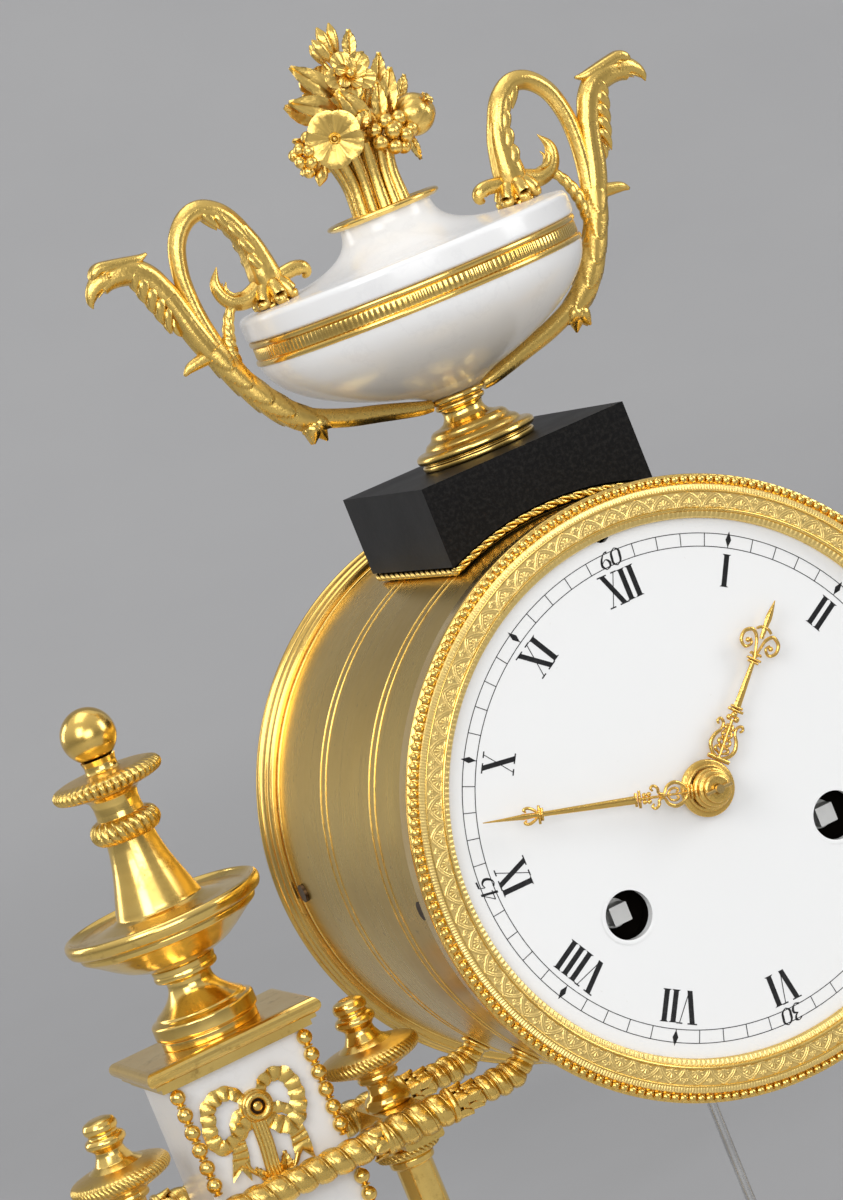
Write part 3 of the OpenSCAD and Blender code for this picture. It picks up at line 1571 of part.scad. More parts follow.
module leaf(at, turn, tilt, length) {
    steps = 6;
    translate(at)
        rotate([0, tilt, turn])
            rotate([90, 0, 0])
                linear_extrude(1.2, center = true)
                    polygon([for (s = [-1, 1]) for (i = [0 : steps - 1]) let (t = (s < 0 ? i : steps - i) / steps)
                        [s * length * 0.17 * sin(180 * t), length * t]]);
}

module open_flower(at, turn, tilt, r) {
    translate(at)
        rotate([tilt, 0, turn]) {
            cylinder(r1 = r * 0.2, r2 = r, h = r * 0.42);
            translate([0, 0, r * 0.3])
                sphere(r = r * 0.24, $fn = 24);
        }
}

module bouquet() {
    up = bouquet_h / 42;
    color(gilt)
        translate([0, 0, lid_top]) {
            turned([[0, 0], [neck_r + 1.6, 0], [neck_r + 2.4, 0.9], [neck_r + 1.6, 1.8], [5.6, 2], [4.4, 6 * up],
                [5.2, 10 * up], [7.2, 14 * up], [8.4, 18 * up], [7.6, 23 * up], [5.6, 28 * up], [4.2, 33 * up],
                [2.4, 37 * up], [0, 37 * up]]);
            open_flower([-6.5, -4.5, 16 * up], -20, 76, flower_r);
            open_flower([-3, -3.5, 27.5 * up], -10, 64, flower_r * 1.05);
            translate([9.5, -2, 23 * up])
                sphere(r = 5.6);
            for (b = berries)
                translate([b[0], b[1], b[2] * up])
                    sphere(r = berry_r, $fn = 24);
            translate([-5, 0, bouquet_h - 2.4])
                sphere(r = 2.4, $fn = 24);
            translate([-2.6, 0, bouquet_h - 5.6])
                sphere(r = 2.8, $fn = 24);
            leaf([-3, 0.3, 25 * up], 0, -62, 15);
            leaf([-4, 0.6, 19 * up], 0, -72, 15);
            leaf([3, 0.4, 26 * up], 0, 14, 12);
            leaf([5, -0.7, 22 * up], 0, 28, 13);
            leaf([6, 0.3, 16 * up], 0, 140, 9);
        }
}

// Eagle-headed handle, flat in the plane of the urn. Points are outward and up from the urn's axis
handle_arm = [[urn_foot_r * 0.46 + 0.06, 89.7], [10, 90.6], [15, 92], [23, 94.4], [31, 98.4], [37, 103.6],
    [41, 110], [44, 116.6], [46.8, 123],
    [49.2, 129], [51.4, 134.6], [54.4, 139.4], [58.6, 142], [62.4, 141.4], [65.4, 138.8]];
handle_arm_r = [0.42, 0.5, 0.65, 0.75, 0.9, 1.05, 1, 0.95, 0.85, 0.8, 0.85, 1, 1.2, 0.75, 0.3];
handle_loop = [[44.4, 117.6], [45.8, 124.6], [46.2, 131.6], [45, 138.6], [41.8, 144.4], [37.2, 146.6],
    [32.6, 145], [29.8, 140.4], [28.8, 134.4], [28, 128.6]];
handle_loop_r = [0.7, 0.7, 0.75, 0.78, 0.8, 0.85, 0.95, 1.1, 1.4, 1.9];
handle_curl = [[30, 127], [34.4, 126.8], [37.4, 129.4], [37.8, 134.4]];
handle_curl_r = [1, 0.9, 0.8, 0.2];
handle_stalk = [[41.4, 109], [39.4, 115], [38.6, 121], [38, 127.4]];
handle_stalk_r = [0.7, 0.6, 0.5, 0.5];
handle_spur = [[44, 112], [47, 116.6], [50.2, 118.4], [53.4, 116.6]];
handle_spur_r = [0.8, 0.7, 0.55, 0.3];

function handle_place(points) = let (up = bowl_z - 90.7, out = urn_r - 37)
    [for (p = points) [p[0] + out * min(1, p[0] / 30), p[1] + up]];

// Each layer is narrower and thicker than the one before, so that the section is rounded
module handle() {
    rotate([90, 0, 0])
        for (layer = [[1, 0.5], [0.85, 0.8], [0.6, 1]])
            linear_extrude(handle_d * layer[1], center = true) {
                half = handle_d / 2 * layer[0];
                ribbon(handle_place(handle_arm), half * handle_arm_r);
                ribbon(handle_place(handle_loop), half * handle_loop_r);
                ribbon(handle_place(handle_curl), half * handle_curl_r);
                ribbon(handle_place(handle_stalk), half * handle_stalk_r);
                ribbon(handle_place(handle_spur), half * handle_spur_r);
            }
}

module urn_handle_left() {
    color(gilt)
        mirror([1, 0, 0])
            handle();
}

module urn_handle_right() {
    color(gilt)
        handle();
}

base_plinth();
base_feet();
base_mounts();
pillar_socles();
pillar_left();
pillar_right();
cornices();
pillar_beads();
trophies();
trophy_bolts();
finial_feet();
finial_left();
finial_right();
columns_left();
columns_right();
column_finials();
twisted_bars_left();
twisted_bars_right();
drum();
bezel();
rear_ring();
case_screws();
rear_door();
door_hinge_pin();
dial();
front_plate();
rear_plate();
movement_pillars();
movement_straps();
going_barrel();
strike_barrel();
mainsprings();
going_arbor();
strike_arbor();
clicks();
going_train();
strike_train();
count_wheel();
pallets();
suspension_cock();
regulator_arbor();
pendulum_rod();
pendulum_bob();
hammer();
bell();
minute_wheel();
hour_wheel();
cannon_pinion();
hour_hand();
minute_hand();
slate_block();
rope_trim();
urn_foot();
urn_bowl();
urn_band();
urn_lid();
bouquet();
urn_handle_left();
urn_handle_right();
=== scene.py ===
# %% [markdown]
# # A portico mantel clock in gilt bronze, white marble and slate
#
# The clock is a drum hung between two marble pillars, under a slate block and an
# urn of flowers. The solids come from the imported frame. This script dresses them:
# it turns, chases, mills and gilds what shows, one piece at a time.
#
# Everything is measured in millimetres here and turned into metres at the last
# moment, because the pieces are small and whole numbers are easier to think in.

import math

import bmesh
import bpy
import numpy as np
from mathutils import Matrix, Vector


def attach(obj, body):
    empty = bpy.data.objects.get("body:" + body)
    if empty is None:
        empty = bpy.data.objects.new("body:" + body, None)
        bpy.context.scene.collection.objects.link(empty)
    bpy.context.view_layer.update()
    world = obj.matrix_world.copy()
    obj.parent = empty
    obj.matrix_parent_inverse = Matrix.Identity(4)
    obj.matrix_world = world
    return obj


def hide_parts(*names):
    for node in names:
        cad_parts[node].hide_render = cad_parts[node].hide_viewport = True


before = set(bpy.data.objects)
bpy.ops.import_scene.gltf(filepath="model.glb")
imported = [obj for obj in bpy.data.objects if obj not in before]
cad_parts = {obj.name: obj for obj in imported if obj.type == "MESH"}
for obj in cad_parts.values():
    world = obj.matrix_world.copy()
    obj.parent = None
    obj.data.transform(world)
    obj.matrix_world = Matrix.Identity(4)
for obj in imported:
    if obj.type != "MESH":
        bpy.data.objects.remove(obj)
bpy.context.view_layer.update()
MM = 0.001
print("nodes in the frame:", len(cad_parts))

# %% [markdown]
# ## Where things are
#
# The dial's middle is the natural zero of the clock's front. These values repeat
# the sizes of the solids, so a dressed piece sits exactly where its solid sits.

# %% Shared places, in millimetres
DIAL = np.array([0.0, -48.0, 300.0])
BASE_TOP, PILLAR_BOTTOM = 46.0, 62.0
CORNICE_BOTTOM, CORNICE_TOP = 283.6, 289.1
PILLAR_X, PILLAR_W, PILLAR_D = 102.5, 31.0, 21.0
COLUMN_OFF, BAR_Z, BAR_Y, CROSS_W = 29.4, 256.0, 15.0, 9
SLATE_TOP = 376.8
BOWL_Z, BAND_Z, LID_Z, LID_TOP = 390.7, 411.1, 416.5, 431.1
PIVOT_Z, PENDULUM_Y, BOB_R = 339.0, 18.0, 28.0
print("dial middle at", DIAL * MM)

# %% [markdown]
# ## The camera
#
# The photograph is taken with a long lens, from a little left of the clock and a
# little above the dial, and the camera is rolled, which tips the clock to the
# right. A camera is three unit vectors and a place: its right, its up and the
# way it looks, so the script writes its matrix from those.

# %% Camera
def look_axes(azimuth, elevation, roll):
    forward = Vector((-math.sin(azimuth) * math.cos(elevation), math.cos(azimuth) * math.cos(elevation),
                      -math.sin(elevation)))
    right = Vector((math.cos(azimuth), math.sin(azimuth), 0))
    up = right.cross(forward)
    return (right * math.cos(roll) + up * math.sin(roll), up * math.cos(roll) - right * math.sin(roll), forward)


def add_camera():
    right, up, forward = look_axes(*(math.radians(a) for a in (-18.41, 6.43, -22.07)))
    eye = Vector((-0.0406, -0.048, 0.3587)) - forward * 0.85
    data = bpy.data.cameras.new("camera")
    data.sensor_fit = "AUTO"
    data.sensor_width = 36
    data.lens = 128
    data.clip_start = 0.01
    camera = bpy.data.objects.new("camera", data)
    bpy.context.scene.collection.objects.link(camera)
    camera.matrix_world = Matrix(((right.x, up.x, -forward.x, eye.x), (right.y, up.y, -forward.y, eye.y),
                                  (right.z, up.z, -forward.z, eye.z), (0, 0, 0, 1)))
    bpy.context.scene.camera = camera
    return eye


print("camera at", [round(v, 3) for v in add_camera()])

# %% [markdown]
# ## Light
#
# Polished gilding has no colour of its own to show: it shows the room. So the
# room is what gets designed. A soft grey room with a bright ceiling gives every
# turned edge a light side and a dark side, and five soft lamps add the long
# highlights. The room is darker in front, as a studio is behind its camera,
# and looks plain grey to the camera itself.

# %% Lamps and room
bpy.context.scene.view_settings.view_transform = "Standard"


def add_lamp(name, place, aim, size, power):
    data = bpy.data.lights.new(name, "AREA")
    data.shape = "RECTANGLE"
    data.size, data.size_y = size
    data.energy = power
    lamp = bpy.data.objects.new(name, data)
    bpy.context.scene.collection.objects.link(lamp)
    lamp.location = place
    lamp.rotation_euler = (Vector(aim) - Vector(place)).to_track_quat("-Z", "Y").to_euler()
    return lamp


add_lamp("left_softbox", (-1.1, -1.0, 1.15), (0, 0, 0.33), (0.7, 0.9), 8.6)
add_lamp("front_softbox", (-0.45, -1.7, 0.75), (0, 0, 0.33), (1.0, 0.8), 9.8)
add_lamp("right_softbox", (1.25, -0.75, 0.75), (0, 0, 0.3), (0.5, 0.9), 7)
add_lamp("top_softbox", (-0.1, 0.1, 1.5), (0, 0, 0.3), (0.9, 0.6), 3)
add_lamp("back_softbox", (-0.9, 0.9, 0.8), (0, 0, 0.35), (0.4, 0.8), 3)


def build_room():
    world = bpy.data.worlds.new("room")
    bpy.context.scene.world = world
    world.use_nodes = True
    nodes, links = world.node_tree.nodes, world.node_tree.links
    nodes.clear()
    coordinates = nodes.new("ShaderNodeTexCoord")
    height = nodes.new("ShaderNodeSeparateXYZ")
    links.new(coordinates.outputs["Generated"], height.inputs[0])
    ramp = nodes.new("ShaderNodeValToRGB")
    stops = [(0.0, 0.20), (0.40, 0.24), (0.5, 0.32), (0.62, 0.50), (0.8, 0.74), (1.0, 0.90)]
    for i, (place, value) in enumerate(stops):
        stop = ramp.color_ramp.elements[i] if i < 2 else ramp.color_ramp.elements.new(place)
        stop.position = place
        stop.color = (value, value, value * 1.01, 1)
    shift = nodes.new("ShaderNodeMath")
    shift.operation = "MULTIPLY_ADD"
    links.new(height.outputs["Z"], shift.inputs[0])
    shift.inputs[1].default_value = 0.5
    shift.inputs[2].default_value = 0.5
    links.new(shift.outputs[0], ramp.inputs[0])
    depth = nodes.new("ShaderNodeMapRange")
    links.new(height.outputs["Y"], depth.inputs[0])
    for i, value in enumerate((-1.0, 0.8, 0.68, 1.0)):
        depth.inputs[i + 1].default_value = value
    lit, seen = nodes.new("ShaderNodeBackground"), nodes.new("ShaderNodeBackground")
    links.new(ramp.outputs[0], lit.inputs[0])
    links.new(depth.outputs[0], lit.inputs[1])
    seen.inputs[0].default_value = (0.37, 0.37, 0.385, 1)
    path, mix = nodes.new("ShaderNodeLightPath"), nodes.new("ShaderNodeMixShader")
    out = nodes.new("ShaderNodeOutputWorld")
    links.new(path.outputs["Is Camera Ray"], mix.inputs[0])
    links.new(lit.outputs[0], mix.inputs[1])
    links.new(seen.outputs[0], mix.inputs[2])
    links.new(mix.outputs[0], out.inputs[0])


build_room()

# %% [markdown]
# ## Writing materials as sums
#
# A shader is arithmetic on patterns. Wrapping a socket in a small class lets the
# script write that arithmetic as Python: `noise * 0.3 + 0.2` adds the two Math
# nodes by itself. `Finish.node` makes every other node.

# %% A socket that can be used in sums
class Wire:
    def __init__(self, finish, socket):
        self.finish, self.socket = finish, socket

    def _sum(self, operation, first, second):
        node = self.finish.node("ShaderNodeMath", {"operation": operation}, {0: first, 1: second})
        return Wire(self.finish, node.outputs[0])

    def __add__(self, other):
        return self._sum("ADD", self, other)

    def __radd__(self, other):
        return self._sum("ADD", other, self)

    def __sub__(self, other):
        return self._sum("SUBTRACT", self, other)

    def __rsub__(self, other):
        return self._sum("SUBTRACT", other, self)

    def __mul__(self, other):
        return self._sum("MULTIPLY", self, other)

    def __rmul__(self, other):
        return self._sum("MULTIPLY", other, self)


# %% A material and its nodes
class Finish:
    def __init__(self, name):
        self.material = bpy.data.materials.new(name)
        self.material.use_nodes = True
        self.nodes = self.material.node_tree.nodes
        self.links = self.material.node_tree.links
        self.nodes.clear()
        self.place = Wire(self, self.node("ShaderNodeTexCoord").outputs["Object"])

    def node(self, kind, settings=None, values=None):
        node = self.nodes.new(kind)
        for key, value in (settings or {}).items():
            if key == "stops":
                for i, (place, colour) in enumerate(value):
                    stop = node.color_ramp.elements[i] if i < 2 else node.color_ramp.elements.new(place)
                    stop.position, stop.color = place, colour
            else:
                setattr(node, key, value)
        for key, value in (values or {}).items():
            socket = node.inputs[key]
            if isinstance(value, Wire):
                self.links.new(value.socket, socket)
            else:
                socket.default_value = value
        return node

    def noise(self, scale, detail=3.0, rough=0.55, at=None):
        node = self.node("ShaderNodeTexNoise", {}, {"Vector": at or self.place, "Scale": scale, "Detail": detail,
                                                    "Roughness": rough})
        return Wire(self, node.outputs[0])

    def stretched(self, x, y, z):
        node = self.node("ShaderNodeVectorMath", {"operation": "MULTIPLY"}, {0: self.place, 1: (x, y, z)})
        return Wire(self, node.outputs[0])

    def ramp(self, value, stops):
        stops = [(place, grey if isinstance(grey, tuple) else (grey, grey, grey, 1)) for place, grey in stops]
        return Wire(self, self.node("ShaderNodeValToRGB", {"stops": stops}, {0: value}).outputs[0])

    def mix(self, share, first, second):
        node = self.node("ShaderNodeMix", {"data_type": "RGBA"}, {0: share, 6: first, 7: second})
        return Wire(self, node.outputs[2])

    def edges(self, low, high):
        worn = Wire(self, self.node("ShaderNodeNewGeometry").outputs["Pointiness"])
        return self.ramp(worn, [(low, 0.0), (high, 1.0)])

    def bump(self, height, strength, depth=0.0002):
        node = self.node("ShaderNodeBump", {}, {"Strength": strength, "Distance": depth, "Height": height})
        return Wire(self, node.outputs[0])

    def finish(self, **values):
        names = {"colour": "Base Color", "rough": "Roughness", "metal": "Metallic", "normal": "Normal",
                 "coat": "Coat Weight", "coat_rough": "Coat Roughness", "specular": "Specular IOR Level"}
        shader = self.node("ShaderNodeBsdfPrincipled", {}, {names[key]: value for key, value in values.items()})
        self.node("ShaderNodeOutputMaterial", {}, {0: Wire(self, shader.outputs[0])})
        return self.material


print("shader helpers ready")

# %% [markdown]
# ## Fire-gilt bronze
#
# Ormolu is chased bronze with a skin of gold. The chasing is left matt, like the
# skin of an egg, and the turned edges are burnished bright. In the hollows the
# gold is deeper and a little brown. So there are two gildings: a matt one with a
# fine stipple, which darkens in hollows and brightens on edges, and a bright one
# with faint turning and wiping marks. The hands and the bezel's band take the
# matt one in their own gold, and the rear ring takes a darker copy of the bright
# one, painted shade that tones down its highlight.

# %% Two gildings
def matt_gilding(name="gilding_matt", light=(0.88, 0.60, 0.165, 1), deep=(0.22, 0.12, 0.02, 1), rough=0.25):
    gild = Finish(name)
    cloud = gild.noise(90, 4)
    grain = gild.noise(2600, 2)
    skin = gild.mix(gild.ramp(cloud, [(0.35, 0.0), (0.7, 1.0)]), light, tuple(c * 0.86 for c in light[:3]) + (1,))
    hollow = gild.edges(0.42, 0.515)
    colour = gild.mix(hollow, deep, skin)
    edge = gild.edges(0.50, 0.60)
    return gild.finish(colour=colour, metal=1.0, rough=rough + 0.12 * grain - 0.12 * edge + (cloud - 0.5) * 0.12,
                       normal=gild.bump(grain + gild.noise(900, 3) * 2, 0.4, 0.0001))


def bright_gilding(name="gilding_bright", light=(0.94, 0.66, 0.20, 1), rough=0.13):
    gild = Finish(name)
    cloud = gild.noise(60, 5, 0.6)
    wipe = gild.noise(900, 3, 0.6, gild.stretched(1, 1, 0.12))
    stain = gild.ramp(gild.noise(210, 8, 0.78), [(0.55, 0.0), (0.70, 0.75)])
    colour = gild.mix(gild.ramp(cloud, [(0.4, 0.0), (0.75, 1.0)]), light, (0.84, 0.55, 0.14, 1))
    colour = gild.mix(stain, colour, (0.32, 0.19, 0.045, 1))
    hollow = gild.edges(0.42, 0.49)
    colour = gild.mix(hollow, (0.36, 0.21, 0.045, 1), colour)
    return gild.finish(colour=colour, metal=1.0, rough=rough + (cloud - 0.42) * 0.22 + wipe * 0.08 + stain * 0.16,
                       normal=gild.bump(wipe, 0.06, 0.0001))


GILT = matt_gilding()
BRIGHT = bright_gilding()
HAND_GILT = matt_gilding("gilding_hands", (0.88, 0.57, 0.15, 1), (0.40, 0.21, 0.04, 1), 0.24)
BAND_GILT = matt_gilding("gilding_band", (1.0, 0.745, 0.27, 1), (0.52, 0.31, 0.07, 1), 0.36)
# A darker copy of the bright gilding for the rear ring: painted shade that tones down the ring's highlight.
BRIGHT_PAINTED_SHADE = bright_gilding("gilding_bright_painted_shade", (0.74, 0.49, 0.14, 1), 0.17)
print("gildings:", [m.name for m in (GILT, BRIGHT, HAND_GILT, BAND_GILT, BRIGHT_PAINTED_SHADE)])

# %% [markdown]
# ## Sheet brass of the drum
#
# The drum is rolled from sheet brass and was polished round and round, then has
# dulled to an olive gold. Fine lines run round it, softer stains lie over them.
# Stretching a noise along the drum's length gives the rolled lines.

# %% Drum brass
def drum_brass():
    brass = Finish("drum_brass")
    stain = brass.noise(22, 6, 0.62)
    speck = brass.noise(420, 3, 0.7)
    rolled = brass.noise(700, 2, 0.6, brass.stretched(0.06, 1, 0.06))
    colour = brass.mix(brass.ramp(stain, [(0.34, 0.0), (0.68, 1.0)]), (0.76, 0.53, 0.14, 1), (0.58, 0.39, 0.09, 1))
    colour = brass.mix(brass.ramp(speck, [(0.66, 0.0), (0.74, 0.55)]), colour, (0.20, 0.12, 0.04, 1))
    return brass.finish(colour=colour, metal=1.0, rough=0.19 + (stain - 0.4) * 0.22 + rolled * 0.12,
                        normal=brass.bump(rolled, 0.10, 0.0001))


DRUM_BRASS = drum_brass()


# %% Brass of the movement, bell metal and steels
def plain_metal(name, light, dark, rough, scale=300, grain=0.12):
    metal = Finish(name)
    cloud = metal.noise(scale * 0.2, 4)
    fine = metal.noise(scale * 5, 2)
    colour = metal.mix(metal.ramp(cloud, [(0.35, 0.0), (0.72, 1.0)]), light, dark)
    return metal.finish(colour=colour, metal=1.0, rough=rough + fine * grain + (cloud - 0.5) * 0.12,
                        normal=metal.bump(fine, 0.08, 0.0001))


CLOCK_BRASS = plain_metal("clock_brass", (0.76, 0.56, 0.25, 1), (0.62, 0.43, 0.16, 1), 0.20)
BELL_METAL = plain_metal("bell_metal", (0.70, 0.58, 0.38, 1), (0.56, 0.44, 0.26, 1), 0.18)
STEEL = plain_metal("steel", (0.62, 0.62, 0.61, 1), (0.46, 0.46, 0.46, 1), 0.22)
BLUED = plain_metal("blued_steel", (0.10, 0.13, 0.24, 1), (0.07, 0.08, 0.14, 1), 0.25)
# The winding squares take a near-white copy of the steel: painted light, so they read as brightly lit in the dark
# holes.
SQUARE_STEEL_PAINTED_LIGHT = plain_metal("winding_square_steel_painted_light", (0.93, 0.93, 0.91, 1), (0.80, 0.80, 0.78, 1), 0.55)
BROWNED = plain_metal("browned_steel", (0.12, 0.08, 0.05, 1), (0.05, 0.035, 0.025, 1), 0.35)
print("metals:", [m.name for m in (DRUM_BRASS, CLOCK_BRASS, BELL_METAL, STEEL, BLUED, SQUARE_STEEL_PAINTED_LIGHT, BROWNED)])

# %% [markdown]
# ## Marble, slate, enamel and ink
#
# Statuary marble is nearly white with a soft, waxy polish and the faintest grey
# clouds. The slate is black with a dull polish and a very fine grain. The dial is
# glass fired on copper: pure white, mirror smooth and slightly wavy. Its figures
# are black enamel, a little duller.

# %% Stones
def marble():
    stone = Finish("marble")
    cloud = stone.noise(14, 6, 0.6)
    vein = stone.noise(34, 8, 0.62)
    fine = stone.noise(1500, 2)
    colour = stone.mix(stone.ramp(cloud, [(0.40, 0.0), (0.75, 1.0)]), (0.86, 0.86, 0.855, 1), (0.80, 0.80, 0.80, 1))
    colour = stone.mix(stone.ramp(vein, [(0.49, 0.0), (0.505, 0.22), (0.52, 0.0)]), colour, (0.70, 0.70, 0.71, 1))
    return stone.finish(colour=colour, metal=0.0, rough=0.20 + fine * 0.08, coat=0.25, coat_rough=0.08,
                        normal=stone.bump(cloud, 0.03, 0.0005))


def slate():
    stone = Finish("slate")
    grain = stone.noise(1100, 4, 0.7)
    cloud = stone.noise(50, 4)
    colour = stone.mix(stone.ramp(grain, [(0.45, 0.0), (0.8, 1.0)]), (0.006, 0.006, 0.0065, 1),
                       (0.024, 0.023, 0.022, 1))
    return stone.finish(colour=colour, metal=0.0, rough=0.30 + cloud * 0.2 + grain * 0.10, specular=0.12,
                        normal=stone.bump(grain, 0.14, 0.0001))


# %% Dial enamel and figures
def enamel():
    glass = Finish("dial_enamel")
    wave = glass.noise(26, 2)
    fleck = glass.noise(700, 2)
    colour = glass.mix(glass.ramp(fleck, [(0.74, 0.0), (0.80, 0.35)]), (0.89, 0.895, 0.89, 1),
                       (0.72, 0.70, 0.66, 1))
    return glass.finish(colour=colour, metal=0.0, rough=0.10 + fleck * 0.03, coat=0.6, coat_rough=0.04,
                        normal=glass.bump(wave, 0.05, 0.0004))


def figure_black():
    ink = Finish("figure_black")
    worn = ink.noise(1600, 3)
    colour = ink.mix(ink.ramp(worn, [(0.5, 0.0), (0.85, 1.0)]), (0.006, 0.006, 0.007, 1), (0.03, 0.03, 0.03, 1))
    return ink.finish(colour=colour, metal=0.0, rough=0.26 + worn * 0.12)


# Painted shade: a near-black, faintly mottled finish for the sleeves in the winding holes, standing in for the shade
# inside them.
def hole_painted_shade():
    shade_finish = Finish("hole_painted_shade")
    mottle = shade_finish.noise(900, 2)
    return shade_finish.finish(colour=shade_finish.mix(mottle, (0.003, 0.0025, 0.002, 1), (0.008, 0.006, 0.004, 1)), metal=0.0,
                       rough=0.85, specular=0.02)


MARBLE, SLATE, ENAMEL, INK, HOLE_PAINTED_SHADE = marble(), slate(), enamel(), figure_black(), hole_painted_shade()
print("stones and enamel:", [m.name for m in (MARBLE, SLATE, ENAMEL, INK, HOLE_PAINTED_SHADE)])

# %% [markdown]
# ## Floor and backdrop
#
# The clock stands on a pale floor that sweeps up behind it with no line, as
# in a photographer's studio. The wall stands well back, so a camera that goes
# round behind the clock is still in front of it. The paint gets paler with
# distance, because the lamps hardly reach the wall.

# %% The sweep
def floor_finish():
    paint = Finish("studio_sweep")
    cloud = paint.noise(3, 3)
    depth = Wire(paint, paint.node("ShaderNodeSeparateXYZ", {}, {0: paint.place}).outputs["Y"])
    shade = paint.ramp(depth * 0.2 + (cloud - 0.5) * 0.02, [(0.20, 0.34), (0.50, 0.67), (0.85, 0.81)])
    colour = paint.mix(cloud, shade, paint.mix(0.5, shade, (0.56, 0.56, 0.58, 1)))
    return paint.finish(colour=colour, metal=0.0, rough=0.75 + cloud * 0.1)


def studio_sweep():
    front, bend, top, half_width = -5.5, 2.25, 6.5, 6.5
    line = [(front, 0.0), (bend, 0.0)]
    line += [(bend + bend * math.sin(t), bend - bend * math.cos(t)) for t in np.radians(np.linspace(4, 90, 24))]
    line += [(2 * bend, top)]
    points = [(x, y, z) for y, z in line for x in (-half_width, half_width)]
    faces = [(2 * i, 2 * i + 1, 2 * i + 3, 2 * i + 2) for i in range(len(line) - 1)]
    mesh = bpy.data.meshes.new("studio_floor")
    mesh.from_pydata(points, [], faces)
    mesh.polygons.foreach_set("use_smooth", [True] * len(faces))
    floor = bpy.data.objects.new("studio_floor", mesh)
    bpy.context.scene.collection.objects.link(floor)
    mesh.materials.append(floor_finish())
    return floor


print("floor:", studio_sweep().name)

# %% [markdown]
# ## Turning, sweeping and pressing
#
# Most of the clock was made on a lathe, so most pieces are a profile turned round
# an axis. Handles, stalks and ropes are a section swept along a line. Leaves and
# petals are a curved sheet given a thickness. Each helper only makes points and
# faces, and one function turns those into an object that rides on its body.

# %% From points and faces to an object
def make_piece(name, parts, finish, body="case", replaces=(), sharp=35, weld=0.0):
    """parts is a list of (points in mm, faces). All of them go into one mesh."""
    points, faces, start = [], [], 0
    for part_points, part_faces in parts:
        part_points = np.asarray(part_points, float).reshape(-1, 3)
        points.append(part_points)
        faces.extend([[i + start for i in face] for face in part_faces])
        start += len(part_points)
    mesh = bpy.data.meshes.new(name)
    mesh.from_pydata((np.concatenate(points) * MM).tolist(), [], faces)
    shape = bmesh.new()
    shape.from_mesh(mesh)
    if weld:
        bmesh.ops.remove_doubles(shape, verts=shape.verts, dist=weld * MM)
    bmesh.ops.recalc_face_normals(shape, faces=shape.faces)
    shape.to_mesh(mesh)
    shape.free()
    mesh.polygons.foreach_set("use_smooth", [True] * len(mesh.polygons))
    mesh.set_sharp_from_angle(angle=math.radians(sharp))
    mesh.materials.append(finish)
    piece = bpy.data.objects.new(name, mesh)
    bpy.context.scene.collection.objects.link(piece)
    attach(piece, body)
    if replaces:
        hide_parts(*replaces)
    return piece


def grid_faces(rows, columns, close_rows=False, close_columns=False):
    faces = []
    for i in range(rows if close_rows else rows - 1):
        a, b = i * columns, ((i + 1) % rows) * columns
        for j in range(columns if close_columns else columns - 1):
            k = (j + 1) % columns
            faces.append((a + j, a + k, b + k, b + j))
    return faces


# %% Turning a profile
def soften(profile, radius=0.25, steps=3):
    """Rounds each corner of a profile a little, as a burnisher does."""
    out = [profile[0]]
    for before, corner, after in zip(profile, profile[1:], profile[2:]):
        before, corner, after = (np.array(p, float) for p in (before, corner, after))
        into, away = before - corner, after - corner
        if min(np.linalg.norm(into), np.linalg.norm(away)) < 1e-6:
            continue
        cut = min(radius, 0.4 * np.linalg.norm(into), 0.4 * np.linalg.norm(away))
        start, end = corner + into / np.linalg.norm(into) * cut, corner + away / np.linalg.norm(away) * cut
        for t in np.linspace(0, 1, steps + 1):
            out.append(tuple((1 - t) ** 2 * start + 2 * t * (1 - t) * corner + t * t * end))
    return out + [profile[-1]]


def turn(profile, sides=128, about="z", middle=(0, 0, 0), shape=None, closed=False):
    """shape(angles, radii, heights) may return new radii, for flutes, gadroons and milling."""
    profile = np.array(profile, float)
    angles = np.linspace(0, 2 * math.pi, sides, endpoint=False)[None, :]
    radii = np.repeat(profile[:, :1], sides, 1)
    heights = np.repeat(profile[:, 1:2], sides, 1)
    if shape is not None:
        radii, heights = shape(angles + 0 * radii, radii, heights)
    x, y = radii * np.cos(angles), radii * np.sin(angles)
    points = np.stack([x, y, heights], -1) if about == "z" else np.stack([y, heights, x], -1)
    faces = grid_faces(len(profile), sides, closed, True)
    return (points.reshape(-1, 3) + np.array(middle, float)), faces


def mirrored(part):
    points, faces = part
    points = np.array(points, float)
    points[:, 0] *= -1
    return points, [tuple(reversed(face)) for face in faces]


def moved(part, shift):
    return np.asarray(part[0], float) + np.array(shift, float), part[1]


# %% Smooth lines and sweeps
def smooth_line(points, count):
    """A Catmull-Rom line through points, with evenly spaced results."""
    p = np.array(points, float)
    p = np.vstack([2 * p[0] - p[1], p, 2 * p[-1] - p[-2]])
    fine = []
    for i in range(1, len(p) - 2):
        for t in np.linspace(0, 1, 24, endpoint=False):
            fine.append(0.5 * (2 * p[i] + (p[i + 1] - p[i - 1]) * t
                               + (2 * p[i - 1] - 5 * p[i] + 4 * p[i + 1] - p[i + 2]) * t * t
                               + (3 * p[i] - p[i - 1] - 3 * p[i + 1] + p[i + 2]) * t ** 3))
    fine = np.array(fine + [p[-2]])
    gone = np.concatenate([[0], np.cumsum(np.linalg.norm(np.diff(fine[:, :3], axis=0), axis=1))])
    at = np.linspace(0, gone[-1], count)
    return np.stack([np.interp(at, gone, fine[:, i]) for i in range(p.shape[1])], 1)


def unit(v):
    v = np.asarray(v, float)
    return v / np.maximum(np.linalg.norm(v, axis=-1, keepdims=True), 1e-12)


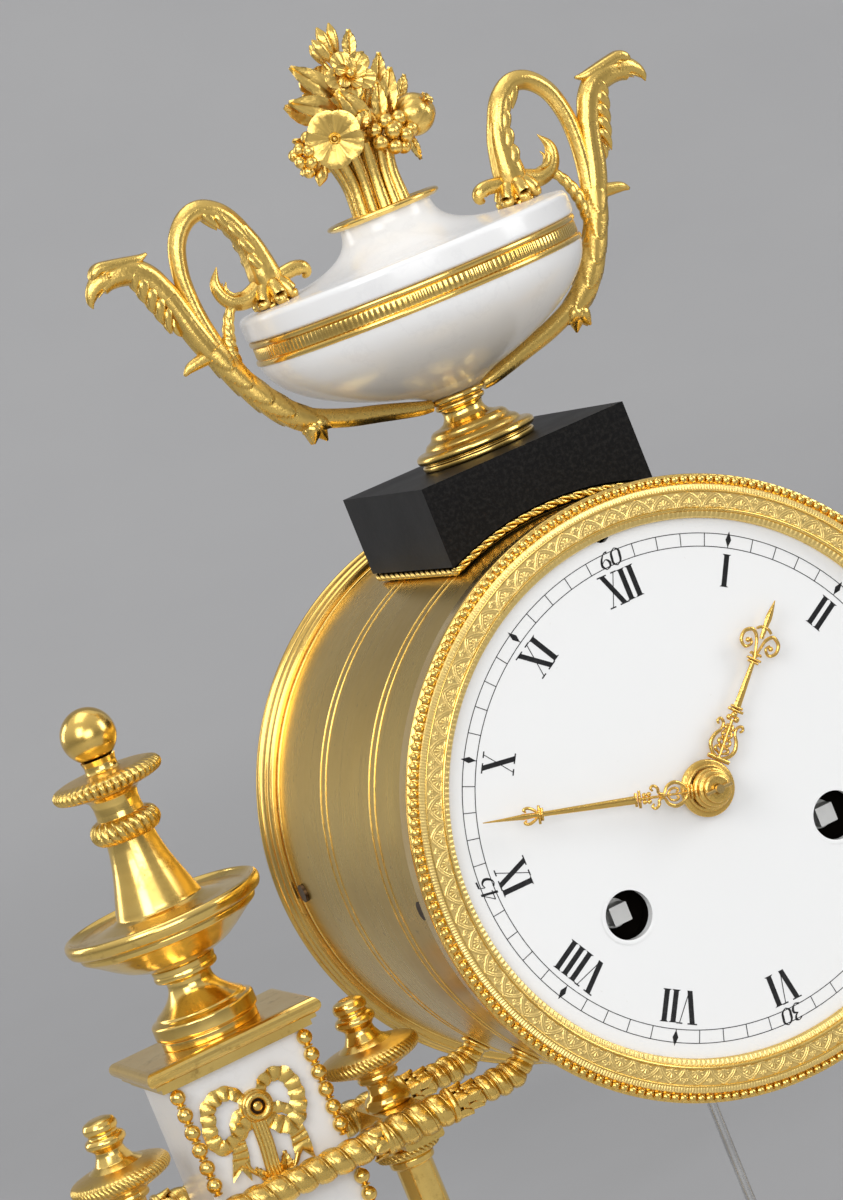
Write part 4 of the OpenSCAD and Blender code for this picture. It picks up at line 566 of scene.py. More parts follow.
def line_frames(line, first_side=(0, 1, 0)):
    ahead = unit(np.gradient(line, axis=0))
    side = unit(np.array(first_side, float) - ahead[0] * np.dot(first_side, ahead[0]))
    sides = []
    for a in ahead:
        side = unit(side - a * np.dot(side, a))
        sides.append(side)
    sides = np.array(sides)
    return ahead, sides, np.cross(ahead, sides)


def sweep(line, radius, sides=14, first_side=(0, 1, 0), section=None, turns=0.0):
    """radius is a number or one per point. section(angles, place 0..1) gives a multiplier."""
    line = np.asarray(line, float)
    count = len(line)
    _, side, over = line_frames(line, first_side)
    radius = np.broadcast_to(np.asarray(radius, float), (count,))
    place = np.linspace(0, 1, count)
    angles = np.linspace(0, 2 * math.pi, sides, endpoint=False)
    grid = angles[None, :] + 0 * place[:, None]
    swell = np.ones((count, sides)) if section is None else section(grid, place[:, None] + 0 * grid)
    grid = grid + 2 * math.pi * turns * place[:, None]
    ring = (side[:, None, :] * np.cos(grid)[..., None] + over[:, None, :] * np.sin(grid)[..., None])
    points = line[:, None, :] + ring * (radius[:, None] * swell)[..., None]
    faces = grid_faces(count, sides, False, True)
    points = np.vstack([points.reshape(-1, 3), line[:1], line[-1:]])
    first, last, end = len(points) - 2, len(points) - 1, (count - 1) * sides
    faces += [((j + 1) % sides, j, first) for j in range(sides)]
    faces += [(end + j, end + (j + 1) % sides, last) for j in range(sides)]
    return points, faces


# %% Beads and sheets
def ball(middle, radius, rings=8, sides=12, squash=(1, 1, 1)):
    t = np.linspace(0, math.pi, rings + 1)[:, None]
    a = np.linspace(0, 2 * math.pi, sides, endpoint=False)[None, :]
    points = np.stack([np.sin(t) * np.cos(a), np.sin(t) * np.sin(a), np.cos(t) + 0 * a], -1)
    points = points * np.array(squash) * radius + np.array(middle, float)
    return points.reshape(-1, 3), grid_faces(rings + 1, sides, False, True)


def sheet(points, thickness):
    """A curved sheet from a grid of points, given a thickness and closed all round."""
    points = np.asarray(points, float)
    rows, columns = points.shape[:2]
    along, across = np.gradient(points, axis=0), np.gradient(points, axis=1)
    normal = unit(np.cross(along, across))
    thick = np.broadcast_to(np.asarray(thickness, float), (rows, columns))[..., None]
    front, back = points + normal * thick / 2, points - normal * thick / 2
    size = rows * columns
    faces = [tuple(reversed(face)) for face in grid_faces(rows, columns)]
    faces += [tuple(i + size for i in face) for face in grid_faces(rows, columns)]
    rim = list(range(columns)) + [i * columns + columns - 1 for i in range(1, rows)]
    rim += [(rows - 1) * columns + j for j in range(columns - 2, -1, -1)] + [i * columns
            for i in range(rows - 2, 0, -1)]
    for a, b in zip(rim, rim[1:] + rim[:1]):
        faces.append((a, b, b + size, a + size))
    return np.concatenate([front.reshape(-1, 3), back.reshape(-1, 3)]), faces


print("mesh helpers ready")

# %% [markdown]
# ## Dressing the solids that stay
#
# Where a solid of the frame already has the right shape, it keeps its mesh and
# only gets its finish: the movement's plates and wheels, the marble pillars, the
# drum, the levers and screws.

# %% Finishes on the frame's own solids
def dress(finish, *names):
    for name in names:
        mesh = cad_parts[name].data
        mesh.materials.clear()
        mesh.materials.append(finish)


dress(MARBLE, "base_plinth", "pillar_left", "pillar_right")
dress(DRUM_BRASS, "drum", "rear_door")
dress(CLOCK_BRASS, "front_plate", "rear_plate", "movement_pillars", "movement_straps", "going_barrel",
      "strike_barrel", "going_train", "strike_train", "count_wheel", "suspension_cock", "minute_wheel",
      "hour_wheel", "cannon_pinion")
dress(BELL_METAL, "bell")
# The arbors that carry the winding squares take the near-white steel, painted light.
dress(SQUARE_STEEL_PAINTED_LIGHT, "going_arbor", "strike_arbor")
dress(STEEL, "clicks", "pallets", "regulator_arbor", "hammer", "door_hinge_pin", "pendulum_rod")
dress(BLUED, "mainsprings")
dress(BROWNED, "trophy_bolts", "case_screws")
dress(GILT, "base_mounts", "trophies", "twisted_bars_left", "twisted_bars_right", "bouquet", "urn_handle_left",
      "urn_handle_right", "pillar_beads", "rope_trim")
dress(BRIGHT, "pillar_socles", "cornices", "base_feet")
dress(HAND_GILT, "hour_hand", "minute_hand")
dress(ENAMEL, "dial")
dress(SLATE, "slate_block")
print("dressed solids:", sum(1 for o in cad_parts.values() if o.data.materials))

# %% [markdown]
# ## The urn
#
# The bowl and its lid were turned from one kind of white marble and meet at a gilt
# band, whose middle is milled with fine upright ridges. The profile was measured
# from both outlines in the photograph. A lathe profile with softened corners gives
# the rim its thin line of light.

# %% Bowl and lid
def urn_bowl():
    r, height = 36.5, BAND_Z - BOWL_Z
    line = [(0, 0.0), (5.6, 0.0)] + [(r * math.sin(t), height * (0.28 * math.sin(t) + 0.72 * (1 - math.cos(t))))
                                     for t in np.radians(np.linspace(16, 90, 40))]
    line += [(r, height), (0, height)]
    return turn(line, 160, middle=(0, 0, BOWL_Z))


def urn_lid():
    rim = [(0, 0), (36.4, 0), (37.1, 0.4), (37.2, 0.9), (37.2, 4.2), (36.9, 4.9), (36.2, 5.3), (34.2, 5.55)]
    sweep_up = [(10.2 + 21.8 * (1 - t) ** 2.2, 5.6 + 9.0 * t ** 1.8) for t in np.linspace(0, 1, 36)]
    return turn(soften(rim, 0.3) + sweep_up + [(0, 14.6)], 160, middle=(0, 0, LID_Z))


make_piece("urn_bowl_marble", [urn_bowl()], MARBLE, replaces=("urn_bowl",), sharp=50, weld=0.002)
make_piece("urn_lid_marble", [urn_lid()], MARBLE, replaces=("urn_lid",), sharp=50, weld=0.002)


# %% Milled band
def urn_band():
    tall = LID_Z - BAND_Z
    edge = [(35.0, 0.0), (36.5, 0.0), (36.9, 0.2), (36.95, 0.7), (36.8, 1.15), (36.3, 1.35), (36.25, 1.5)]
    top = [(r, tall - z) for r, z in reversed(edge)]
    rims = turn(soften(edge + top, 0.12, 2), 200, middle=(0, 0, BAND_Z))
    mill = [(36.1, 1.4), (36.5, 1.55), (36.55, 1.8)]
    mill += [(r, tall - z) for r, z in reversed(mill)]

    def ridges(angles, radii, heights):
        deep = 0.5 + 0.5 * np.cos(angles * 190)
        return radii - 0.14 * deep ** 1.5 * (radii > 36.3), heights

    return [rims, turn(mill, 190 * 6, middle=(0, 0, BAND_Z), shape=ridges)]


make_piece("urn_band_milled", urn_band(), BRIGHT, replaces=("urn_band",))

# %% [markdown]
# ## Urn foot
#
# A small turned and burnished baluster: a domed foot with three steps, a waist,
# and a collar that takes the bowl.

# %% Urn foot
FOOT_LINE = [(0, 0), (12.3, 0), (12.6, 0.4), (12.6, 1.1), (12.2, 1.4), (12.2, 1.7), (13.0, 1.9), (13.3, 2.5),
             (13.2, 3.2), (12.6, 3.7), (11.4, 3.9), (10.8, 4.1), (10.6, 4.6), (10.1, 5.2), (9.2, 5.6), (8.8, 6.1),
             (8.6, 6.7), (7.9, 7.3), (6.4, 7.6), (5.2, 8.2), (4.6, 9.1), (4.4, 10.0), (4.7, 10.8), (5.4, 11.1),
             (5.6, 11.5), (5.5, 11.9), (5.1, 12.2), (5.9, 12.5), (6.1, 13.1), (5.9, 13.7), (0, 13.9)]
make_piece("urn_foot_turned", [turn(soften(FOOT_LINE, 0.25), 96, middle=(0, 0, SLATE_TOP))], BRIGHT,
           replaces=("urn_foot",), weld=0.002)

# %% [markdown]
# ## Finials of the pillars
#
# Each pillar carries a round foot, a broad dish, a waisted stem with a ring like a
# cable, a gadrooned flange and a ball. Turned parts are burnished, and only the
# cable ring and the flange's rim are chased; the dish's rim is left turned. A ring
# of slanted lobes on a lathe part is a modulation of the radius by the angle.

# %% Finial foot
FINIAL_FOOT = [(0, 0), (10.6, 0), (10.6, 1.75), (10.3, 1.9), (10.3, 2.1), (11.2, 2.25), (11.3, 2.7), (11.3, 5.0),
               (11.0, 5.4), (10.2, 5.7), (9.7, 6.1), (9.5, 6.5)]
FINIAL_FOOT += [(4.7 + 4.3 * (1 - t) ** 2.2 + 0.35 * t ** 5, 6.8 + 6.0 * t) for t in np.linspace(0, 1, 16)]
FINIAL_FOOT += [(5.3, 13.1), (6.6, 13.2), (6.9, 13.6), (7.0, 14.2), (6.8, 14.8), (6.9, 15.2), (7.0, 16.0),
                (0, 16.0)]
make_piece("finial_foot_turned",
           [turn(soften(FINIAL_FOOT, 0.25), 96, middle=(s * PILLAR_X, 0, CORNICE_TOP)) for s in (-1, 1)], BRIGHT,
           replaces=("finial_feet",), weld=0.002)


# %% Dish, stem, flange and ball
def slanted_lobes(count, depth, low, high, slant=0.5):
    def shape(angles, radii, heights):
        inside = np.clip((heights - low) / (high - low), 0, 1)
        weight = np.sin(np.pi * inside) ** 0.6 * (heights > low) * (heights < high)
        lobe = np.abs(np.sin((angles * count + slant * 2 * np.pi * inside) / 2)) ** 0.7
        return radii - depth * weight * (1 - lobe), heights
    return shape


DISH = [(0, 16.0), (6.9, 16.0), (7.4, 16.3), (9.2, 16.9), (11.6, 17.9), (14.2, 19.6), (16.6, 21.4), (18.4, 22.6),
        (19.3, 23.2), (19.5, 24.1), (19.4, 24.6), (20.4, 24.8), (21.0, 25.1), (21.4, 25.8), (21.6, 26.6),
        (21.5, 27.4), (21.1, 28.0), (20.3, 28.2), (19.8, 27.6), (18.5, 27.0), (14.0, 27.3), (10.6, 28.0)]
STEM = [(9.4, 28.6), (9.1, 29.7), (8.6, 31.2), (7.9, 33.3), (7.1, 35.7), (6.4, 38.0), (5.9, 40.1), (5.5, 42.2),
        (5.3, 43.9)]
NECK = [(5.2, 48.9), (5.0, 50.2), (5.0, 51.8), (5.3, 53.2), (6.2, 54.0), (8.4, 54.6)]
ABOVE = [(7.6, 58.3), (4.2, 58.7), (3.6, 59.3), (3.5, 60.4), (3.8, 61.6)]


def finial(side):
    middle = (side * PILLAR_X, 0, CORNICE_TOP)
    turned = turn(soften(DISH + STEM, 0.3, 2) + soften(NECK, 0.2, 2) + [(7.6, 55.2)] + soften(ABOVE, 0.2, 2), 128,
                  middle=middle)
    cable = [(5.2 + 2.5 * math.sin(t), 46.5 - 2.6 * math.cos(t)) for t in np.linspace(0, math.pi, 13)]
    flange = [(5.0, 54.3), (9.6, 54.7), (11.4, 55.3), (12.0, 56.2), (12.0, 57.0), (11.4, 57.9), (9.4, 58.5),
              (3.4, 58.9)]
    flange = soften(flange, 0.5, 3)
    chased = [turn(cable, 22 * 12, middle=middle, shape=slanted_lobes(22, 0.9, 43.6, 49.4, 1.0)),
              turn(flange, 44 * 8, middle=middle, shape=slanted_lobes(44, 0.75, 54.3, 58.7, 0.35))]
    top = 64.0 + 2.6
    sphere = [(5.9 * math.sin(t), top - 5.9 * math.cos(t)) for t in np.linspace(0.35, math.pi, 30)]
    return turned, chased, turn(sphere, 64, middle=middle)


for side, word in ((-1, "left"), (1, "right")):
    turned, chased, top_ball = finial(side)
    make_piece(f"finial_{word}_turned", [turned, top_ball], BRIGHT, replaces=(f"finial_{word}",), weld=0.002)
    make_piece(f"finial_{word}_chased", chased, GILT, weld=0.002)
print("finials placed")

# %% [markdown]
# ## Columns
#
# Four slim columns carry the twisted bars. Each ends in a small turned capital, a
# block through which the bars pass, and a finial with a gadrooned dish.

# %% Columns and their finials
CROSS_TOP = BAR_Z + 2.5
CAPITAL = CROSS_TOP - 7.6 - BASE_TOP
COLUMN = [(0, 0), (8.9, 0), (9.0, 0.5), (9.0, 3.6), (8.4, 4.3), (7.9, 5.0), (7.8, 6.8), (7.2, 7.8), (6.6, 8.2),
          (5.6, 9.6), (5.4, 10.8), (5.9, 11.4), (5.9, 12.2), (5.0, 12.8), (4.1, 14.0), (4.1, CAPITAL - 6.0),
          (4.9, CAPITAL - 5.6), (5.0, CAPITAL - 4.9), (5.0, CAPITAL - 4.2), (4.6, CAPITAL - 3.9),
          (5.0, CAPITAL - 3.7), (6.6, CAPITAL - 3.4), (6.7, CAPITAL - 1.6), (5.4, CAPITAL - 1.4),
          (5.2, CAPITAL - 0.3), (5.0, CAPITAL), (0, CAPITAL)]
COLUMN_FINIAL = [(0, 0), (4.9, 0), (5.1, 0.6), (5.1, 1.5), (4.6, 2.4), (3.5, 3.4), (3.1, 4.6), (3.2, 5.6),
                 (4.3, 6.1), (4.6, 6.8), (4.3, 7.4), (5.2, 8.0), (7.6, 8.9), (9.6, 9.7)]
COLUMN_TOP = [(6.0, 13.9), (4.2, 15.0), (3.3, 16.6), (3.1, 17.6), (3.7, 18.3), (4.4, 18.9), (4.5, 19.7),
              (4.1, 20.4), (3.3, 20.8), (3.2, 21.3), (3.7, 21.9), (3.8, 22.8), (3.3, 23.8), (2.0, 24.3),
              (0, 24.4)]


def cross_block(x):
    """The block that the two bars pass through, with its long edges taken off."""
    w, h, cut = CROSS_W / 2, 7.6, 0.5
    outline = [(-w + cut, -h), (w - cut, -h), (w, -h + cut), (w, -cut), (w - cut, 0), (-w + cut, 0), (-w, -cut),
               (-w, -h + cut)]
    points = [(x + a, y, CROSS_TOP + b) for y in (-BAR_Y, BAR_Y) for a, b in outline]
    count = len(outline)
    faces = [(i, (i + 1) % count, (i + 1) % count + count, i + count) for i in range(count)]
    return np.array(points), faces + [tuple(range(count)), tuple(range(count, 2 * count))]


def finial_dish(middle):
    rim = [(9.2, 9.5), (10.5, 10.1), (11.0, 10.9), (11.0, 11.8), (10.4, 12.7), (8.6, 13.3), (6.0, 13.9)]
    return turn(soften(rim, 0.5, 3), 62 * 8, middle=middle, shape=slanted_lobes(62, 0.34, 9.9, 13.0, 1.6))


for side, word in ((-1, "left"), (1, "right")):
    shafts, blocks, turned, dishes = [], [], [], []
    for step in (-1, 1):
        x = side * (PILLAR_X + step * COLUMN_OFF)
        shafts.append(turn(soften(COLUMN, 0.3), 56, middle=(x, 0, BASE_TOP)))
        blocks.append(cross_block(x))
        ring = [(6.3, -3.55), (6.9, -3.3), (7.15, -2.5), (6.9, -1.7), (6.3, -1.45)]
        dishes.append(turn(soften(ring, 0.2, 3), 34 * 10, middle=(x, 0, BASE_TOP + CAPITAL),
                           shape=slanted_lobes(34, 0.4, -3.4, -1.6, 1.2)))
        turned.append(turn(soften(COLUMN_FINIAL, 0.2, 2), 64, middle=(x, 0, CROSS_TOP)))
        turned.append(turn(soften(COLUMN_TOP, 0.2, 2), 64, middle=(x, 0, CROSS_TOP)))
        dishes.append(finial_dish((x, 0, CROSS_TOP)))
    make_piece(f"columns_{word}_turned", shafts, BRIGHT, replaces=(f"columns_{word}",), weld=0.002)
    make_piece(f"column_blocks_{word}", blocks, GILT)
    make_piece(f"column_finials_{word}", turned, BRIGHT, replaces=("column_finials",) if side < 0 else (),
               weld=0.002)
    make_piece(f"column_finial_dishes_{word}", dishes, GILT, weld=0.002)
print("columns placed")

# %% [markdown]
# ## Bezel
#
# From the outside in: a rim of small beads that touch, a flat band with a fine
# hatching, a stamped band of pointed arches with a palmette in each, a bright
# fillet, and a ring milled with fine lines that meets the enamel. The plain parts
# are turned. The stamped band is a fine grid of points, whose height is worked out
# from the distance to each line of the pattern.

# %% Turned body of the bezel
FRONT = DIAL[1]


def about_dial(radius, depth):
    return (radius, FRONT + depth)


BEZEL = [about_dial(r, d) for r, d in [
    (58.7, -0.2), (55.0, -0.2), (55.0, -0.9), (55.3, -1.15), (56.3, -1.75), (56.4, -2.3), (56.55, -2.75),
    (56.8, -2.9), (57.05, -2.75), (57.1, -2.45), (60.3, -2.45), (60.4, -2.85), (60.6, -2.9), (60.8, -2.6),
    (61.9, -2.45), (62.1, -2.0), (62.6, -1.5), (63.5, -1.35), (64.0, -1.2), (64.1, -0.7), (64.1, -0.2),
    (63.7, 0.2), (63.2, 0.6), (63.2, 6.0), (58.7, 6.0)]]
make_piece("bezel_turned", [turn(soften(BEZEL, 0.15, 3), 256, about="y", middle=(0, 0, DIAL[2]), closed=True)],
           BRIGHT, replaces=("bezel",), sharp=40, weld=0.002)


# %% Bead ring, scalloped edge, hatched band and milled ring
def bead_ring(count=208, radius=62.95):
    beads = []
    for i in range(count):
        a = 2 * math.pi * i / count
        beads.append(ball((radius * math.sin(a), FRONT - 1.75, DIAL[2] + radius * math.cos(a)), 0.86, 6, 10,
                          (1, 0.85, 1)))
    return beads


def scalloped_edge(count=208):
    line = [(63.0, -1.1), (63.5, -1.45), (63.8, -1.6), (64.0, -1.45), (64.05, -1.0)]

    def scallops(angles, radii, heights):
        return radii - 0.34 * np.abs(np.sin(angles * count / 2)) ** 0.7 * (radii > 63.0), heights

    return turn([about_dial(r, d) for r, d in line], count * 8, about="y", middle=(0, 0, DIAL[2]), shape=scallops)


def hatched_band(count=620):
    line = [(60.65, -2.66), (60.8, -2.72), (61.3, -2.66), (61.75, -2.58), (61.95, -2.35)]

    def hatching(angles, radii, heights):
        return radii, heights - 0.05 * np.cos(angles * count) * ((radii > 60.7) & (radii < 61.9))

    return turn([about_dial(r, d) for r, d in line], count * 4, about="y", middle=(0, 0, DIAL[2]), shape=hatching)


def milled_ring(count=330):
    line = [(55.1, -1.15), (55.3, -1.5), (55.8, -1.72), (56.25, -1.9), (56.4, -1.95)]

    def ridges(angles, radii, heights):
        return radii, heights - 0.13 * (0.5 + 0.5 * np.cos(angles * count)) * ((radii > 55.2) & (radii < 56.35))

    return turn([about_dial(r, d) for r, d in line], count * 6, about="y", middle=(0, 0, DIAL[2]), shape=ridges)


make_piece("bezel_beads", bead_ring() + [scalloped_edge()], GILT)
make_piece("bezel_hatching", [hatched_band()], BAND_GILT)
make_piece("bezel_milled_ring", [milled_ring()], BAND_GILT)

# %% Stamped band of arches and palmettes
ARCHES, BAND_IN, BAND_W = 64, 57.1, 3.25
ARCH_W = 2 * math.pi * (BAND_IN + BAND_W / 2) / ARCHES


def line_height(distance, half_width):
    return np.exp(-(distance / half_width) ** 2)


def stamped_height(x, y):
    """x runs across one arch in mm, from -ARCH_W / 2. y runs outward in mm from the fillet."""
    height = 0.7 * line_height(y - 0.12, 0.12)
    for inset in (0.0, 0.42):
        foot, top = ARCH_W / 2 - 0.12 - inset, BAND_W - 0.2 - inset * 1.2
        climb = np.clip((y - 0.2) / (top - 0.2), 0, 1)
        edge = foot * (1 - climb ** 1.6) ** 0.85
        lean = np.clip(1.15 - 0.5 * climb, 0.4, 1)
        height = np.maximum(height,
                            (0.9 - inset * 0.6) * line_height((np.abs(x) - edge) * lean, 0.15) * (y < top + 0.15))
    far, angle = np.hypot(x, y - 0.25), np.arctan2(x, y - 0.25)
    for k in range(-3, 4):
        reach = 1.75 - 0.16 * abs(k)
        off = np.abs((angle - math.radians(27 * k) * (0.75 + 0.25 * np.clip(far / reach, 0, 1))) * far)
        height = np.maximum(height, 0.85 * line_height(off, 0.13) * (far < reach) * (far > 0.4))
    height = np.maximum(height, line_height(np.hypot(x, y - 0.35), 0.32))
    valley = ARCH_W / 2 - np.abs(x)
    height = np.maximum(height, line_height(np.hypot(valley, y - 2.6), 0.30))
    return np.maximum(height, 0.7 * line_height(np.hypot(valley - 0.5, y - 2.15) - 0.28, 0.12) * (y > 1.9))


def stamped_band(per_arch=44, rows=26):
    angles = np.linspace(0, 2 * math.pi, ARCHES * per_arch, endpoint=False)[None, :]
    y = np.linspace(0, BAND_W, rows)[:, None] + 0 * angles
    x = (((angles * ARCHES / (2 * math.pi)) % 1) - 0.5) * ARCH_W + 0 * y
    radius = BAND_IN + y
    depth = FRONT - 2.5 - 0.22 * stamped_height(x, y)
    points = np.stack([radius * np.sin(angles), depth, DIAL[2] + radius * np.cos(angles)], -1)
    return points.reshape(-1, 3), grid_faces(rows, ARCHES * per_arch, False, True)


make_piece("bezel_stamped_band", [stamped_band()], BAND_GILT, sharp=70)

# %% [markdown]
# ## Rear ring and engraved lines
#
# The back edge of the drum carries a wider ring of plain mouldings, and two pairs
# of fine lines run round the drum. They are bright, because the gilding stays
# longest in a groove, so each one is a thin gilt wire laid in its groove.

# %% Rear ring
REAR_RING = [(58.7, 44.2), (62.7, 44.2), (63.3, 44.6), (63.6, 45.2), (63.3, 45.9), (62.6, 46.3), (62.6, 46.8),
             (63.4, 47.2), (63.9, 47.7), (63.9, 48.4), (63.4, 48.9), (62.9, 49.1), (62.9, 49.5), (63.8, 49.8),
             (64.4, 50.3), (64.4, 51.0), (63.9, 51.5), (62.8, 51.7), (61.9, 51.4), (61.2, 51.2), (60.4, 51.5),
             (59.4, 51.7), (55.0, 51.7), (55.0, 49.7), (58.7, 49.7)]
knuckles = []
for low in (292.0, 303.0):
    pin = [(0.87, low), (1.7, low), (1.7, low + 5), (0.87, low + 5)]
    knuckles.append(turn(soften(pin, 0.15, 2), 24, middle=(62.9, 53.4, 0), closed=True))
# The rear ring takes the darker copy of the bright gilding, painted shade.
make_piece("rear_ring_turned",
           [turn(soften(REAR_RING, 0.2, 3), 200, about="y", middle=(0, 0, DIAL[2]), closed=True)]
           + knuckles, BRIGHT_PAINTED_SHADE, replaces=("rear_ring",), weld=0.002)


# %% Gilt lines round the drum
def drum_lines():
    """Two pairs of lines, and a bead at each end of the sheet, each by its distance from the front."""
    line, bead = (61.52, 0.16, 0.3), (61.55, 0.3, 0.35)
    rings = []
    for kind, places in ((line, (26.3, 29.8, 58.3, 61.8)), (bead, (7.4, 91.3))):
        radius, high, half_width = kind
        for place in places:
            ring = [(radius + high * math.cos(t), FRONT + place + half_width * math.sin(t))
                    for t in np.linspace(0, 2 * math.pi, 8, endpoint=False)]
            rings.append(turn(ring, 200, about="y", middle=(0, 0, DIAL[2]), closed=True))
    return rings


make_piece("drum_lines", drum_lines(), BRIGHT, sharp=180)
print("rear ring and lines placed")

# %% [markdown]
# ## Dial
#
# The dial is slightly domed white enamel with a rounded lip at each winding hole.
# Its figures are fired black enamel, which stands up a few hundredths of a
# millimetre, so they are thin raised plates: Roman hours drawn with thick and thin
# strokes and serifs, a minute track of two rings with a line for each minute,
# lozenges at the hours and small numbers at the quarters.

# %% Figures as strokes on the dial
LIFT = 0.05


def on_dome(x, z, lift=0.0):
    r2 = (x * x + z * z) / 56.6 ** 2
    return FRONT - 0.8 * (1 - r2) - lift


def figure(outline, angle, radius, fine=1.2):
    """Places a flat outline on the dome. Its up points outward at angle from twelve."""
    s, c = math.sin(angle), math.cos(angle)
    dense = []
    for a, b in zip(outline, outline[1:] + outline[:1]):
        steps = max(1, int(math.dist(a, b) / fine))
        dense += [(a[0] + (b[0] - a[0]) * t / steps, a[1] + (b[1] - a[1]) * t / steps) for t in range(steps)]
    spots = [(c * x + s * (radius + y), c * (radius + y) - s * x) for x, y in dense]
    shape = bmesh.new()
    ring = [shape.verts.new((x, on_dome(x, z, LIFT), DIAL[2] + z)) for x, z in spots]
    edges = [shape.edges.new((a, b)) for a, b in zip(ring, ring[1:] + ring[:1])]
    bmesh.ops.triangle_fill(shape, use_beauty=True, edges=edges)
    shape.verts.index_update()
    front = np.array([v.co[:] for v in shape.verts])
    faces = [tuple(v.index for v in face.verts) for face in shape.faces]
    shape.free()
    size = len(front)
    points = np.concatenate([front, front + (0, LIFT, 0)])
    rim = [(i, (i + 1) % size, (i + 1) % size + size, i + size) for i in range(size)]
    return points, faces + rim


# %% Roman hours
THICK, THIN, TALL = 1.1, 0.17, 6.7


def bar(x, width, tall=TALL):
    h, s = tall / 2, 0.42
    return [(x - width / 2 - s, -h), (x + width / 2 + s, -h), (x + width / 2, -h + 0.3), (x + width / 2, h - 0.3),
            (x + width / 2 + s, h), (x - width / 2 - s, h), (x - width / 2, h - 0.3), (x - width / 2, -h + 0.3)]


def slant(x_low, x_high, width, tall=TALL):
    h = tall / 2
    return [(x_low - width / 2, -h), (x_low + width / 2, -h), (x_high + width / 2, h), (x_high - width / 2, h)]


def serif(x, high, width=1.5):
    y = TALL / 2 * (1 if high else -1)
    return [(x - width / 2, y - 0.13), (x + width / 2, y - 0.13), (x + width / 2, y + 0.13),
            (x - width / 2, y + 0.13)]


def letter(kind, x):
    if kind == "I":
        return [bar(x, THICK)]
    if kind == "V":
        return [slant(x, x - 1.35, THICK), slant(x + 0.1, x + 1.5, THIN), serif(x - 1.35, True, 2.1),
                serif(x + 1.5, True, 1.3)]
    return [slant(x + 1.35, x - 1.35, THICK), slant(x - 1.4, x + 1.4, THIN), serif(x - 1.35, True, 2.1),
            serif(x + 1.4, True, 1.3), serif(x + 1.35, False, 2.1), serif(x - 1.4, False, 1.3)]


def roman(text, angle, radius):
    widths = {"I": 2.0, "V": 3.9, "X": 4.0}
    x = -sum(widths[kind] for kind in text) / 2
    parts = []
    for kind in text:
        parts += [figure(stroke, angle, radius) for stroke in letter(kind, x + widths[kind] / 2)]
        x += widths[kind]
    return parts


HOURS = ["XII", "I", "II", "III", "IIII", "V", "VI", "VII", "VIII", "IX", "X", "XI"]
hour_parts = [part for i, text in enumerate(HOURS) for part in roman(text, math.radians(30 * i), 44.6)]
make_piece("dial_hours", hour_parts, INK, sharp=30)


# %% Minute track and lozenges
def thin_ring(radius, width):
    angles = np.linspace(0, 2 * math.pi, 361)[:-1]
    rows = []
    for r, lift in ((radius - width / 2, 0), (radius - width / 2, LIFT), (radius + width / 2, LIFT),
                    (radius + width / 2, 0)):
        rows.append([(r * math.sin(a), on_dome(r, 0, lift), DIAL[2] + r * math.cos(a)) for a in angles])
    return np.array(rows).reshape(-1, 3), grid_faces(4, 360, False, True)


track = [thin_ring(49.25, 0.16), thin_ring(51.95, 0.16)]
for minute in range(60):
    if minute not in (0, 15, 30, 45):
        line = [(-0.08, -1.35), (0.08, -1.35), (0.08, 1.35), (-0.08, 1.35)]
        track.append(figure(line, math.radians(6 * minute), 50.6))
    if minute % 5 == 0 and minute % 15:
        track.append(figure([(0, -1.5), (0.62, 0), (0, 1.75), (-0.62, 0)], math.radians(6 * minute), 50.9))
make_piece("dial_minute_track", track, INK, sharp=30)


# %% Quarter numbers
def pen(points, widths, steps=26):
    """A pen stroke: a ribbon of changing width along a smooth line."""
    line = smooth_line([(x, y, w) for (x, y), w in zip(points, widths)], steps)
    ahead = unit(np.gradient(line[:, :2], axis=0))
    across = np.stack([-ahead[:, 1], ahead[:, 0]], 1) * line[:, 2:3] / 2
    left, right = line[:, :2] + across, line[:, :2] - across
    return [tuple(p) for p in left] + [tuple(p) for p in right[::-1]]


